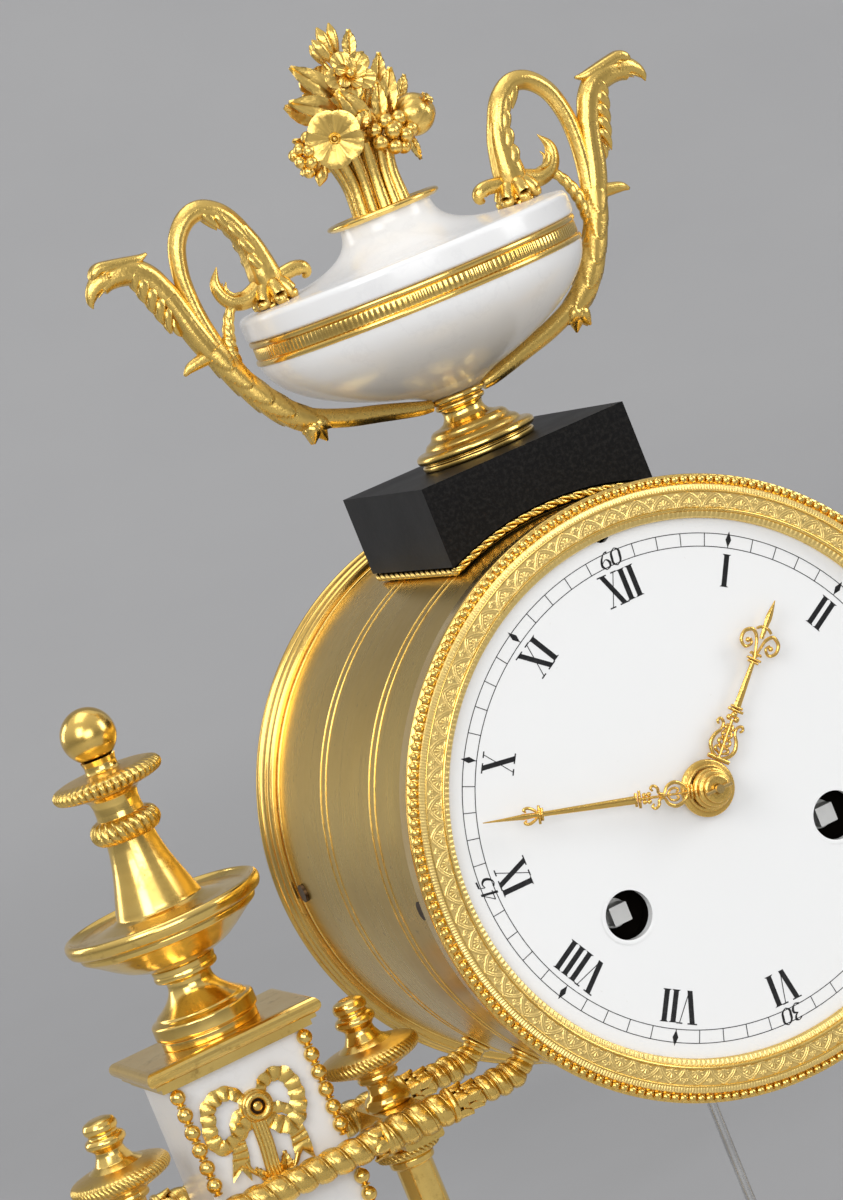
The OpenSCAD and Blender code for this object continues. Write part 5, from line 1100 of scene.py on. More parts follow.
NUMBER = {
    "1": ([[(-0.5, 1.0), (0.1, 1.5), (0.12, 1.5)], [(0.12, 1.55), (0.12, 0), (0.12, -1.5)],
           [(-0.45, -1.5), (0.1, -1.5), (0.7, -1.5)]],
          [[0.12, 0.2, 0.2], [0.42, 0.42, 0.42], [0.12, 0.12, 0.12]]),
    "5": ([[(0.7, 1.5), (0, 1.45), (-0.5, 1.45)], [(-0.5, 1.45), (-0.55, 0.9), (-0.6, 0.35)],
           [(-0.6, 0.35), (0.1, 0.6), (0.75, 0), (0.6, -0.9), (0, -1.45), (-0.65, -1.15)]],
          [[0.3, 0.3, 0.25], [0.14, 0.14, 0.14], [0.14, 0.25, 0.46, 0.42, 0.16, 0.36]]),
    "3": ([[(-0.6, 1.1), (-0.1, 1.5), (0.5, 1.15), (0.35, 0.5), (-0.1, 0.2)],
           [(-0.1, 0.2), (0.6, -0.05), (0.75, -0.7), (0.2, -1.45), (-0.6, -1.2)]],
          [[0.34, 0.14, 0.42, 0.3, 0.12], [0.12, 0.36, 0.44, 0.16, 0.36]]),
    "0": ([[(0, 1.5), (-0.7, 0.9), (-0.78, 0), (-0.7, -0.9), (0, -1.5)],
           [(0, -1.5), (0.7, -0.9), (0.78, 0), (0.7, 0.9), (0, 1.5)]],
          [[0.12, 0.36, 0.44, 0.36, 0.12], [0.12, 0.36, 0.44, 0.36, 0.12]]),
    "4": ([[(0.35, 1.55), (0.35, 0), (0.35, -1.5)], [(0.3, 1.5), (-0.3, 0.3), (-0.85, -0.6)],
           [(-0.85, -0.6), (0, -0.6), (0.8, -0.6)]],
          [[0.42, 0.42, 0.42], [0.14, 0.14, 0.14], [0.16, 0.16, 0.16]]),
    "6": ([[(0.6, 1.35), (0, 1.3), (-0.65, 0.3), (-0.7, -0.7), (0, -1.5)],
           [(0, -1.5), (0.7, -1.1), (0.75, -0.4), (0.1, 0.2), (-0.6, -0.3)]],
          [[0.34, 0.18, 0.36, 0.42, 0.12], [0.12, 0.36, 0.42, 0.16, 0.12]]),
}


def small_number(text, angle, radius):
    parts = []
    for i, digit in enumerate(text):
        x = (i - (len(text) - 1) / 2) * 2.5
        for points, widths in zip(*NUMBER[digit]):
            parts.append(figure([(px * 1.18 + py * 0.18 + x, py * 1.18) for px, py in pen(points, widths)], angle,
                                radius, 5))
    return parts


quarters = [part for text, minute in (("60", 0), ("15", 15), ("30", 30), ("45", 45))
            for part in small_number(text, math.radians(6 * minute), 50.6)]
make_piece("dial_quarters", quarters, INK, sharp=30)


# %% Lips of the winding holes
HOLE_X, HOLE_Z = 25.0, -17.1


def hole_lip(x, radius=5.1):
    lip = [(radius + 0.02, 1.5), (radius, 0.3), (radius + 0.15, 0.0), (radius + 0.5, -0.10), (radius + 0.9, -0.02)]
    points, faces = turn(lip, 64, about="y", middle=(x, 0, DIAL[2] + HOLE_Z))
    points[:, 1] += on_dome(x, HOLE_Z)
    return points, faces


make_piece("dial_hole_lips", [hole_lip(s * HOLE_X) for s in (-1, 1)], ENAMEL)


# %% Painted shade in the winding holes
def hole_shade(x):
    """A sleeve of painted shade between dial and plate: a near-black tube stands in for the shade inside the hole, so
    the hole is dark round the bright square.
    """
    tube = [(6.6, 2.6), (6.6, 8.1), (3.1, 8.1), (3.1, 7.8), (6.2, 7.8), (6.2, 2.6)]
    points, faces = turn(tube, 48, about="y", middle=(x, 0, DIAL[2] + HOLE_Z), closed=True)
    points[:, 1] += FRONT
    return points, faces


# The sleeves carry painted shade, a near-black stand-in for the shade in the holes.
make_piece("winding_hole_painted_shade_sleeves", [hole_shade(s * HOLE_X) for s in (-1, 1)], HOLE_PAINTED_SHADE)

# %% [markdown]
# ## Hands
#
# The hands were sawn from sheet brass, filed round, chased and gilt. Each scroll
# is a wire of changing width that stays in the plane of its hand: a smooth line
# with an oval section. A hand is drawn upright and then turned to its hour.

# %% A wire in the plane of the dial
def wire(points, widths, y, thick=0.4, steps=28, sides=8):
    """points are (x, z) in mm, and widths are half widths. The wire lies at depth y."""
    line = smooth_line([(a, b, w) for (a, b), w in zip(points, widths)], steps)
    ahead = unit(np.gradient(line[:, :2], axis=0))
    across = np.stack([-ahead[:, 1], ahead[:, 0]], 1)[:, None]
    around = np.linspace(0, 2 * math.pi, sides, endpoint=False)[None, :]
    half = line[:, 2:3]
    flat = line[:, None, :2] + across * (half * np.cos(around))[..., None]
    depth = y + np.minimum(thick, half * 1.2) * np.sin(around)
    rings = np.stack([flat[..., 0], depth, flat[..., 1]], -1).reshape(-1, 3)
    ends = [(line[0, 0], y, line[0, 1]), (line[-1, 0], y, line[-1, 1])]
    size = len(rings)
    faces = grid_faces(steps, sides, False, True)
    faces += [((j + 1) % sides, j, size) for j in range(sides)]
    faces += [(size - sides + j, size - sides + (j + 1) % sides, size + 1) for j in range(sides)]
    return np.vstack([rings, ends]), faces


def pair(points, widths, y, **more):
    """The same wire on both sides of the middle line."""
    return [wire([(s * x, z) for x, z in points], widths, y, **more) for s in (-1, 1)]


def about_centre(part, angle):
    points, faces = np.array(part[0], float), part[1]
    x, z = points[:, 0].copy(), points[:, 2].copy()
    points[:, 0] = x * math.cos(angle) + z * math.sin(angle)
    points[:, 2] = DIAL[2] + z * math.cos(angle) - x * math.sin(angle)
    return points, faces


# %% Hour hand
HOUR_Y, MINUTE_Y = -51.2, -53.6
HOUR_ANGLE, MINUTE_ANGLE = math.radians(44.7), math.radians(285.8)


def hour_hand():
    y = HOUR_Y
    boss = [(3.12, -50.8), (3.12, -52.2), (4.6, -52.2), (4.85, -52.0), (4.85, -51.75), (5.6, -51.65),
            (5.9, -51.4), (5.9, -50.8)]
    parts = [turn(soften(boss, 0.12, 2), 64, about="y", closed=True)]
    parts += [wire([(-2.5, 6.4), (0, 6.4), (2.5, 6.4)], [0.45, 0.48, 0.45], y, steps=8)]
    parts += pair([(0.5, 6.6), (1.9, 7.4), (2.8, 9.0), (2.5, 10.8), (1.6, 12.3), (1.6, 13.6), (2.5, 14.3),
                   (3.0, 13.6), (2.5, 13.1)],
                  [0.3, 0.42, 0.46, 0.42, 0.34, 0.34, 0.34, 0.3, 0.26], y, steps=44)
    parts += [wire([(0, 6.8), (0, 10), (0, 14.9)], [0.28, 0.34, 0.4], y)]
    for low, out, high in ((7.4, 1.5, 9.0), (9.0, 1.3, 10.7), (10.7, 1.0, 12.3), (12.2, 0.8, 13.7)):
        parts += pair([(0.1, low), (out, (low + high) / 2), (out * 0.62, high), (out * 0.3, high - 0.5)],
                      [0.2, 0.36, 0.3, 0.2], y, steps=16)
    for x, z, r in ((0, 16.0, 0.72), (-0.85, 15.2, 0.66), (0.85, 15.2, 0.66)):
        parts.append(ball((x, y, z), r, 8, 12, (1, 0.8, 1)))
    parts += [wire([(-w, z), (0, z), (w, z)], [0.3, 0.36, 0.3], y, 0.5, 8) for z, w in ((16.9, 1.7), (17.6, 1.3))]
    parts += [wire([(0, 17.4), (0, 22), (0, 27.4)], [0.85, 0.7, 0.52], y)]
    parts += [wire([(-w, z), (0, z), (w, z)], [0.26, 0.34, 0.26], y, 0.5, 8) for z, w in ((27.5, 1.2), (28.1, 1.6))]
    parts += pair([(0, 28.3), (0.5, 30.6), (1.1, 32.6), (2.4, 33.8), (4.0, 32.8), (4.1, 30.9), (2.8, 29.9),
                   (1.7, 30.9), (2.3, 31.9)],
                  [0.3, 0.32, 0.38, 0.42, 0.42, 0.38, 0.34, 0.3, 0.28], y, steps=48)
    parts += [ball((s * 2.7, y, 31.4), 0.55, 6, 10) for s in (-1, 1)]
    parts += pair([(0.1, 28.6), (0.9, 29.3), (1.3, 29.0)], [0.26, 0.3, 0.2], y, steps=12)
    parts += [wire([(-1.7, 34.3), (-0.9, 34.9), (0, 35.0), (0.9, 34.9), (1.7, 34.3)],
                   [0.3, 0.34, 0.36, 0.34, 0.3], y, 0.5, 16)]
    parts += [wire([(0, 32.6), (0, 35.4), (0, 37.6), (0, 41.0)], [0.45, 0.6, 0.72, 0.1], y)]
    return [about_centre(part, HOUR_ANGLE) for part in parts]


make_piece("hour_hand_pierced", hour_hand(), HAND_GILT, body="hour", replaces=("hour_hand",),
           sharp=50)


# %% Minute hand and its boss
def minute_hand():
    y = MINUTE_Y
    parts = [wire([(-1.5, z), (0, z), (1.5, z)], [0.34, 0.4, 0.34], y, 0.5, 8) for z in (4.6, 5.4)]
    parts += pair([(0.4, 5.6), (1.7, 6.5), (2.4, 8.2), (1.8, 9.8), (0.5, 10.6)], [0.32, 0.38, 0.42, 0.38, 0.3], y,
                  steps=30)
    parts += pair([(0.2, 9.9), (1.0, 9.3), (1.25, 8.2), (0.75, 7.5), (0.4, 8.0)], [0.24, 0.28, 0.28, 0.26, 0.2],
                  y, steps=22)
    parts += pair([(0.3, 10.6), (0.7, 11.8), (1.7, 12.0), (2.3, 12.8), (1.9, 13.5), (1.3, 13.1)],
                  [0.3, 0.34, 0.34, 0.32, 0.3, 0.24], y, steps=28)
    parts += [wire([(0, 5.4), (0, 8), (0, 16.2)], [0.3, 0.26, 0.34], y)]
    parts += [ball((x, y, z), 0.52, 6, 10, (1, 0.8, 1))
              for x, z in ((-0.75, 14.0), (0.75, 14.0), (-0.7, 15.0), (0.7, 15.0))]
    parts += [wire([(-w, z), (0, z), (w, z)], [0.3, 0.36, 0.3], y, 0.5, 8) for z, w in ((16.1, 1.8), (16.9, 1.4))]
    parts += [wire([(0, 16.8), (0, 26), (0, 37.4)], [0.85, 0.7, 0.5], y)]
    parts += [wire([(-w, z), (0, z), (w, z)], [0.28, 0.36, 0.28], y, 0.5, 8) for z, w in ((37.3, 1.3), (37.9, 1.9))]
    parts += pair([(0.2, 38.2), (1.0, 38.9), (1.6, 40.2), (1.3, 41.2), (0.8, 40.7)], [0.26, 0.32, 0.34, 0.3, 0.2],
                  y, steps=22)
    parts += [wire([(0, 38.0), (0, 41.2), (0, 42.6), (0, 50.0)], [0.45, 0.62, 0.5, 0.1], y)]
    boss = [(1.72, -53.2), (1.72, -54.0), (0.97, -54.05), (0.97, -56.6), (2.4, -56.6), (2.8, -56.45),
            (2.9, -56.1), (2.9, -55.5), (3.5, -55.4), (3.7, -55.15), (3.7, -54.2), (4.0, -54.1), (4.2, -53.9),
            (4.2, -53.2)]
    parts.append(turn(soften(boss, 0.12, 2), 64, about="y", closed=True))
    return [about_centre(part, MINUTE_ANGLE) for part in parts]


make_piece("minute_hand_pierced", minute_hand(), HAND_GILT, body="minute",
           replaces=("minute_hand",), sharp=50)
print("hands placed")

# %% [markdown]
# ## Rope round the slate block
#
# Two pairs of gilt wires are laid together like a rope. Each wire winds round the
# rope's own line at a small distance, so the twist is real and catches the light.

# %% The rope's line and its four wires
def rounded(points, radius, steps=8):
    """Rounds the corners of a line in space."""
    points = [np.array(p, float) for p in points]
    out = [points[0]]
    for before, corner, after in zip(points, points[1:], points[2:]):
        into, away = before - corner, after - corner
        cut = min(radius, 0.45 * np.linalg.norm(into), 0.45 * np.linalg.norm(away))
        start, end = corner + unit(into) * cut, corner + unit(away) * cut
        out += [(1 - t) ** 2 * start + 2 * t * (1 - t) * corner + t * t * end for t in np.linspace(0, 1, steps)]
    return out + [points[-1]]


def laid_wires(line, offset, radius, pitch, phases, sides=8, per_turn=14):
    line = np.array(line, float)
    length = np.linalg.norm(np.diff(line, axis=0), axis=1).sum()
    count = max(12, int(length / pitch * per_turn))
    gone = np.concatenate([[0], np.cumsum(np.linalg.norm(np.diff(line, axis=0), axis=1))])
    at = np.linspace(0, gone[-1], count)
    line = np.stack([np.interp(at, gone, line[:, i]) for i in range(3)], 1)
    _, side, over = line_frames(line, (0.3, 0.2, 1))
    parts = []
    for phase in phases:
        a = (2 * math.pi * at / pitch + math.radians(phase))[:, None]
        parts.append(sweep(line + offset * (side * np.cos(a) + over * np.sin(a)), radius, sides, (0.3, 0.2, 1)))
    return parts


ROPE_Z, ROPE_R, ROPE_X = 303.136, 59.934, 23.2
half = math.asin(ROPE_X / ROPE_R)
arch = [(ROPE_R * math.sin(a), -24.5, ROPE_Z + ROPE_R * math.cos(a)) for a in np.linspace(-half, half, 41)]
rope_line = [(-ROPE_X, 25.3, arch[0][2])] + arch + [(ROPE_X, 25.3, arch[-1][2])]
rope_line = rounded(rounded(rope_line, 2.2), 0.5, 3)
make_piece("rope_laid", laid_wires(rope_line, 0.55, 0.43, 6.5, (0, 52, 180, 232)), GILT, replaces=("rope_trim",),
           sharp=180)
print("rope placed")

# %% [markdown]
# ## Twisted bars
#
# Four bars tie the drum to the columns. Each is twisted like a fat rope whose
# strands cross it almost square, runs through a chased sleeve at every column,
# and swells near the drum into soft rings with leaf tips, which end in a small
# flange on the drum's side. A seam between two strands is a narrow groove, so the
# strands keep their round tops.

# %% Sections of the bar
def strand_tops(angles, place, strands=2, depth=0.2):
    seam = np.abs(np.cos(angles * strands / 2))
    engraved = np.exp(-((seam - 0.62) / 0.05) ** 2)
    return 1 - depth * (1 - seam ** 0.5) - 0.035 * engraved


def straight(x0, x1, y, count):
    return np.stack([np.linspace(x0, x1, count), np.full(count, y), np.full(count, BAR_Z)], 1)


def cable(x0, x1, y, radius, pitch, phase, strands=2, depth=0.2, sides=48, ends=0.25):
    """pitch is the distance from one seam to the next."""
    count = max(8, int((x1 - x0) / pitch * 16))
    place = np.linspace(0, 1, count)
    swell = radius * (1 - ends * (np.exp(-place * (x1 - x0) / 0.7) + np.exp(-(1 - place) * (x1 - x0) / 0.7)))

    def turned(angles, place):
        return strand_tops(angles + phase, place, strands, depth)

    return sweep(straight(x0, x1, y, count), swell, sides, (0, 1, 0), turned, -(x1 - x0) / (pitch * strands))


def along_bar(profile, x, y, sides=40, shape=None):
    """Turns (radius, place) points about the bar's own line, with place 0 at x."""
    points, faces = turn(profile, sides, shape=shape)
    return np.stack([points[:, 2] + x, points[:, 1] + y, points[:, 0] + BAR_Z], 1), faces


def drum_end(y):
    """The swelling part: along the bar, up the bend and onto the drum's side."""
    flange, bend = 62.9, 8.0
    turn_angle = math.asin((44.0 - bend) / math.hypot(flange, bend)) + math.atan2(bend, flange)
    bend_x = flange * math.cos(turn_angle) + bend * math.sin(turn_angle)
    line = [(x, y, BAR_Z) for x in np.linspace(64.5, bend_x, 12)]
    line += [(bend_x - bend * math.sin(a), y, BAR_Z + bend * (1 - math.cos(a)))
             for a in np.linspace(0, turn_angle, 18)[1:]]
    line = smooth_line(line, 150)
    length = np.linalg.norm(np.diff(line, axis=0), axis=1).sum()
    place = np.linspace(0, 1, 150)
    radius = np.interp(place, [0, 0.1, 0.35, 0.6, 0.8, 0.93, 1.0], [2.0, 2.4, 3.0, 3.4, 3.3, 2.8, 2.3])
    body = sweep(line, radius, 32, (0, 1, 0), lambda angles, place: strand_tops(angles, place, 1, 0.26),
                 -length / 3.1)
    along = np.array([math.cos(turn_angle), 0, -math.sin(turn_angle)])
    middle = np.array([0, y, DIAL[2]])
    side_way = np.array([math.sin(turn_angle), 0, math.cos(turn_angle)])
    disc = [(0, 61.6), (3.0, 61.6), (3.35, 61.8), (3.4, 62.2), (3.1, 62.5), (2.6, 62.7), (2.5, 63.4), (0, 63.5)]
    angles = np.linspace(0, 2 * math.pi, 32, endpoint=False)
    points = []
    for r, far in soften(disc, 0.2, 2):
        for a in angles:
            p = middle + along * far + side_way * (r * math.cos(a)) + np.array([0, r * math.sin(a), 0])
            drop = math.sqrt(max(0.0, 61.55 ** 2 - (r * math.cos(a)) ** 2)) - 61.55
            points.append(p + along * drop * (far < 62.2))
    return [body, (np.array(points), grid_faces(len(points) // 32, 32, False, True))]


def bar_leaf(x, y, angle, length, half_width, radius, lift=0.25, rows=11):
    """A pointed leaf with a midrib, wrapped on a bar of the given radius; angle is its place round the bar."""
    grid = []
    for t in np.linspace(0, 1, rows):
        w = half_width * max(0.03, math.sin(math.pi * min(1.0, 0.22 + 0.78 * t))) ** 0.8
        row = []
        for u in np.linspace(-1, 1, 7):
            a = angle + u * w / radius
            r = radius + lift * (1 + 1.2 * t * t) + 0.22 * (1 - abs(u)) - 0.25 * u * u
            row.append((x + length * t, y + r * math.sin(a), BAR_Z + r * math.cos(a)))
        grid.append(row)
    return sheet(grid, 0.5)


# %% Sleeves and bars
def sleeve(x, y):
    """A chased sleeve with fat strands, a collar at each end and pointed leaves beyond them."""
    parts = [cable(x - 7.4, x + 7.4, y, 3.85, 4.4, 0.4, 1, 0.22, 56, 0.1)]
    for end in (-1, 1):
        ring = [(3.0, -0.75), (3.8, -0.6), (3.95, 0.0), (3.8, 0.6), (3.0, 0.75)]
        parts.append(along_bar(soften(ring, 0.15, 2), x + end * 7.9, y))
        for i in range(5):
            parts.append(bar_leaf(x + end * 8.2, y, 2 * math.pi * (i + 0.5 * (end > 0)) / 5, end * 3.2, 1.5, 3.0))
    return parts


def melon(angles, radii, heights):
    return radii * (0.92 + 0.08 * np.abs(np.cos(6 * angles)) ** 0.6), heights


def twisted_bars(side):
    parts = []
    for y in (-BAR_Y, BAR_Y):
        parts += drum_end(y)
        x_inner, x_outer = PILLAR_X - COLUMN_OFF, PILLAR_X + COLUMN_OFF
        for x in (x_inner, x_outer):
            parts += sleeve(x, y)
        parts.append(cable(x_inner + 8, x_outer - 8, y, 3.25, 4.4, 0.2, 1, 0.25))
        parts += [bar_leaf(62.2, y, 2 * math.pi * i / 5, -3.4, 1.3, 2.4) for i in range(5)]
        parts.append(along_bar(soften([(2.0, -0.9), (2.9, -0.7), (3.1, 0.0), (2.9, 0.7), (2.0, 0.9)], 0.15, 2),
                               62.9, y))
        knob = [(0, -3.9), (1.6, -3.6), (2.9, -2.7), (3.7, -1.3), (3.9, 0), (3.7, 1.3), (2.9, 2.7), (1.6, 3.6),
                (0.5, 3.85)]
        parts.append(along_bar(knob, x_outer + 10, y, 72, melon))
    return parts if side > 0 else [mirrored(part) for part in parts]


for side, word in ((-1, "left"), (1, "right")):
    make_piece(f"twisted_bars_{word}_chased", twisted_bars(side), GILT, replaces=(f"twisted_bars_{word}",),
               sharp=60)
print("bars placed")

# %% [markdown]
# ## Handles of the urn
#
# Each handle is one casting: a smooth arm from under the bowl, a leafy knuckle, an
# arm of overlapping leaves that ends in an eagle's head, a loop that comes down to
# a drooping flower, a pointed curl on a spiral stalk, and a spur. Every branch is a
# swept line whose section changes along it.

# %% Sections for cast branches
def overlap(rows, around=3, deep=0.14, wide=1.0):
    """Overlapping leaves like scales. wide flattens the branch across."""
    def section(angles, place):
        tile = place * rows + np.abs(np.sin(angles * around / 2))
        oval = 1 / np.sqrt((np.cos(angles) / wide) ** 2 + np.sin(angles) ** 2)
        return oval * (1 - deep + 2 * deep * (1 - (tile % 1)) ** 0.8)
    return section


def ribbed(count, deep=0.08, wide=1.0):
    def section(angles, place):
        oval = 1 / np.sqrt((np.cos(angles) / wide) ** 2 + np.sin(angles) ** 2)
        return oval * (1 - deep + deep * np.abs(np.cos(count * angles / 2)) ** 0.6)
    return section


def branch(points, radii, section=None, steps=60, sides=20, turns=0.0, y=0.0, lift=300.0):
    """points are outward and up in mm, and z counts from the dial's middle."""
    rows = [(p[0], p[2] if len(p) > 2 else y, p[1] + lift, r) for p, r in zip(points, radii)]
    line = smooth_line(rows, steps)
    return sweep(line[:, :3], np.maximum(line[:, 3], 0.05), sides, (0, 1, 0), section, turns)


def curl(points, radii, y, steps=16):
    return branch([(x, z, y) for x, z in points], radii, None, steps, 8)


# %% Eagle's head
def eagle():
    parts = [branch([(50.6, 131.5), (51.9, 134.4), (53.4, 137.4), (56.0, 139.8), (59.2, 140.6), (61.8, 140.2),
                     (63.8, 139.0)],
                    [2.7, 2.75, 2.8, 2.9, 2.8, 2.4, 1.7], ribbed(5, 0.07, 0.8), 50, 26)]
    parts.append(branch([(61.4, 140.4), (63.6, 140.4), (65.6, 139.2), (66.8, 137.4), (66.9, 135.9)],
                        [2.5, 2.25, 1.65, 0.95, 0.12], ribbed(2, 0.0, 0.75), 30, 18))
    parts.append(branch([(51.9, 142.3), (54.0, 141.9), (57.0, 142.2), (60.4, 142.7), (63.0, 143.0), (64.3, 142.0),
                         (64.5, 140.9)],
                        [0.35, 1.0, 1.3, 1.45, 1.4, 1.2, 0.6], ribbed(5, 0.14, 1.7), 60, 26))
    for s in (-1, 1):
        parts.append(ball((61.6, s * 1.75, 440.9), 0.55, 6, 10))
        parts.append(curl([(60.2, 141.7), (61.4, 142.0), (62.7, 141.7)], [0.2, 0.34, 0.2], s * 1.7))
        parts.append(curl([(61.6, 138.9), (63.4, 138.6), (65.3, 137.6)], [0.12, 0.2, 0.12], s * 1.25))
        for x, z, r in ((56.2, 138.6, 1.3), (55.4, 136.0, 1.35), (54.5, 133.4, 1.3), (53.7, 130.8, 1.15),
                        (52.9, 128.4, 0.95)):
            parts.append(branch([(x - 1.6, z + 2.0, s), (x - 0.2, z + 0.8, s * 1.3),
                                 (x + 0.5, z - 1.3, s),
                                 (x + 0.5, z - 3.4, s * 0.6)], [0.4, r, r * 0.8, 0.1], ribbed(3, 0.16, 0.8),
                                18, 14))
    parts.append(branch([(51.2, 128.6), (52.2, 126.4), (52.0, 124.6), (51.5, 123.6)], [0.7, 0.8, 0.55, 0.1],
                        ribbed(3, 0.1, 1.2), 18, 12))
    return parts


# %% Arm, knuckle, loop and spur
def leafy_cluster(x, z, leaves, length, y=0.0, width=1.0):
    """Short fat leaves that fan out from one place, each a tapering branch."""
    parts = []
    for angle, tip, shift in leaves:
        a = math.radians(angle)
        dx, dz = math.cos(a) * length * tip, math.sin(a) * length * tip
        parts.append(branch([(x, z, y), (x + dx * 0.45, z + dz * 0.45 + 0.2, y + shift * 0.6),
                             (x + dx, z + dz, y + shift)],
                            [0.9 * width, 1.25 * width, 0.25], ribbed(3, 0.12, 1.25), 16, 14))
    return parts


def handle_parts():
    parts = [branch([(6.2, 89.75), (9.0, 90.3), (13, 91.4), (18, 92.8), (24, 94.4), (29, 96.2), (32, 97.6)],
                    [1.3, 1.6, 1.8, 1.95, 2.05, 2.1, 2.1], ribbed(3, 0.07, 1.1), 60, 20)]
    parts.append(branch([(31.4, 96.6), (34.8, 98.9), (37.9, 102.1), (40.6, 105.9), (42.9, 109.9), (44.9, 114.2),
                         (46.5, 118.6)],
                        [2.5, 2.75, 2.85, 2.8, 2.7, 2.7, 2.7], overlap(5, 3, 0.06, 1.0), 150, 42))
    parts.append(branch([(45.7, 115.4), (47.3, 119.6), (48.7, 123.8), (49.8, 128.2), (50.9, 132.2)],
                        [2.3, 2.75, 2.8, 2.7, 2.7], ribbed(5, 0.11, 0.9), 60, 30))
    parts += leafy_cluster(32.3, 96.6,
                           [(250, 1.1, 0), (215, 0.9, 1.4), (215, 0.9, -1.4), (290, 1.0, 0.9), (290, 1.0, -0.9),
                            (330, 0.7, 0)], 4.6, width=1.55)
    parts += [ball((32.4, s * 1.5, 396.0), 1.25, 7, 12) for s in (-1, 1)]
    parts += eagle()
    parts.append(branch([(43.0, 109.3), (44.0, 113.2), (45.3, 116.2), (47.5, 117.6), (50.2, 117.4), (52.6, 116.9),
                         (54.2, 115.9)],
                        [1.9, 2.1, 2.0, 1.75, 1.45, 1.1, 0.35], ribbed(3, 0.12, 1.0), 50, 22))
    parts += [curl([(44.6, 113.0), (46.0, 115.4), (48.2, 116.6)], [0.2, 0.34, 0.14], s * 1.7) for s in (-1, 1)]
    loop = [(44.2, 113.4), (45.3, 119.0), (46.4, 124.6), (46.9, 130.4), (46.6, 136.2), (44.9, 141.8),
            (41.6, 145.5), (37.8, 146.4), (34.2, 144.2), (31.9, 140.4), (30.4, 135.6)]
    parts.append(branch(loop, [1.7, 1.8, 1.85, 1.85, 1.9, 2.0, 2.15, 2.25, 2.4, 2.5, 2.6], ribbed(4, 0.12, 1.0),
                        130, 26))
    parts.append(branch([(31.5, 139.6), (30.4, 135.8), (29.9, 132.0), (29.7, 128.8), (29.6, 126.4)],
                        [2.5, 2.9, 3.3, 3.6, 3.2], ribbed(5, 0.1, 1.0), 70, 30))
    for x, z, y in ((36.4, 145.4, 1.2), (33.9, 143.6, 1.6), (32.2, 140.4, 1.9), (31.2, 136.6, 2.2),
                    (30.8, 132.8, 2.5)):
        for s in (-1, 1):
            parts.append(branch([(x + 0.9, z + 1.9, s * y * 0.8), (x + 0.9, z, s * y), (x - 0.3, z - 2.4, s * y),
                                 (x - 1.0, z - 4.2, s * y * 0.9)],
                                [0.4, 1.15, 0.95, 0.12], ribbed(3, 0.14, 0.75), 20, 14))
    return parts


# %% Drooping flower, curl and clasp
def petal_ring(x, z, petals, length, droop, radius=0.9):
    parts = []
    for k in range(petals):
        a = 2 * math.pi * (k + 0.5) / petals
        out = np.array([math.cos(a), math.sin(a)])
        points = [(x + out[0] * f * length, z - drop * droop, out[1] * f * length) for f, drop in
                  ((0.15, 0.0), (0.55, 0.35), (0.9, 1.0), (1.1, 0.9))]
        parts.append(branch(points, [radius, radius * 1.35, radius * 1.2, 0.25], ribbed(3, 0.14, 1.3), 20, 14))
    return parts


def flower_parts():
    parts = petal_ring(29.6, 127.4, 6, 4.6, 4.0, 1.25)
    parts += petal_ring(29.4, 125.6, 5, 3.0, 3.0, 1.0)
    parts.append(branch([(28.4, 127.2), (25.6, 127.6), (23.2, 127.8), (21.6, 127.2), (21.2, 126.0), (22.0, 125.2)],
                        [1.6, 1.7, 1.7, 1.7, 1.3, 0.4], ribbed(3, 0.12, 1.2), 34, 16))
    parts.append(ball((31.4, 0, 423.5), 1.3, 8, 14, (1, 1, 0.9)))
    parts.append(branch([(28.6, 126.0), (28.4, 124.4), (28.3, 122.9), (28.3, 121.6)], [1.2, 1.1, 1.1, 1.2],
                        ribbed(4, 0.1), 20, 16))
    parts.append(branch([(31.0, 127.8), (33.4, 126.2), (36.0, 125.6), (38.6, 126.4), (40.2, 128.6), (40.5, 131.2),
                         (38.9, 134.2)],
                        [1.8, 2.1, 2.0, 1.85, 1.6, 1.15, 0.1], ribbed(4, 0.12, 0.95), 60, 24))
    for s in (-1, 1):
        parts.append(curl([(36.4, 127.4), (38.2, 127.6), (39.2, 129.2), (38.6, 130.6)], [0.25, 0.45, 0.45, 0.15],
                          s * 1.3))
        parts.append(ball((34.0, s * 1.2, 426.4), 1.0, 6, 10, (1.1, 0.6, 1)))
    parts.append(branch([(38.6, 126.0), (40.6, 123.4), (42.0, 120.2), (42.9, 116.6), (43.0, 112.6), (42.6, 109.2)],
                        [1.1, 1.25, 1.45, 1.65, 1.8, 1.9], lambda a, p: 0.86 + 0.14 * np.abs(np.cos(a)), 110, 18,
                        4.0))
    return parts


for side, word in ((-1, "left"), (1, "right")):
    cast = handle_parts() + flower_parts()
    make_piece(f"urn_handle_{word}_cast", cast if side > 0 else [mirrored(part) for part in cast], GILT,
               replaces=(f"urn_handle_{word}",), sharp=70)
print("handles placed")

# %% [markdown]
# ## Bouquet
#
# The knob of the lid is a small bunch of flowers: a trumpet flower and an open
# one, long leaves with midribs, buds, a lobed fruit and two bunches of berries on
# stalks tied above a moulded ring. A petal or leaf is a grid of points bent in
# space and given a thickness.

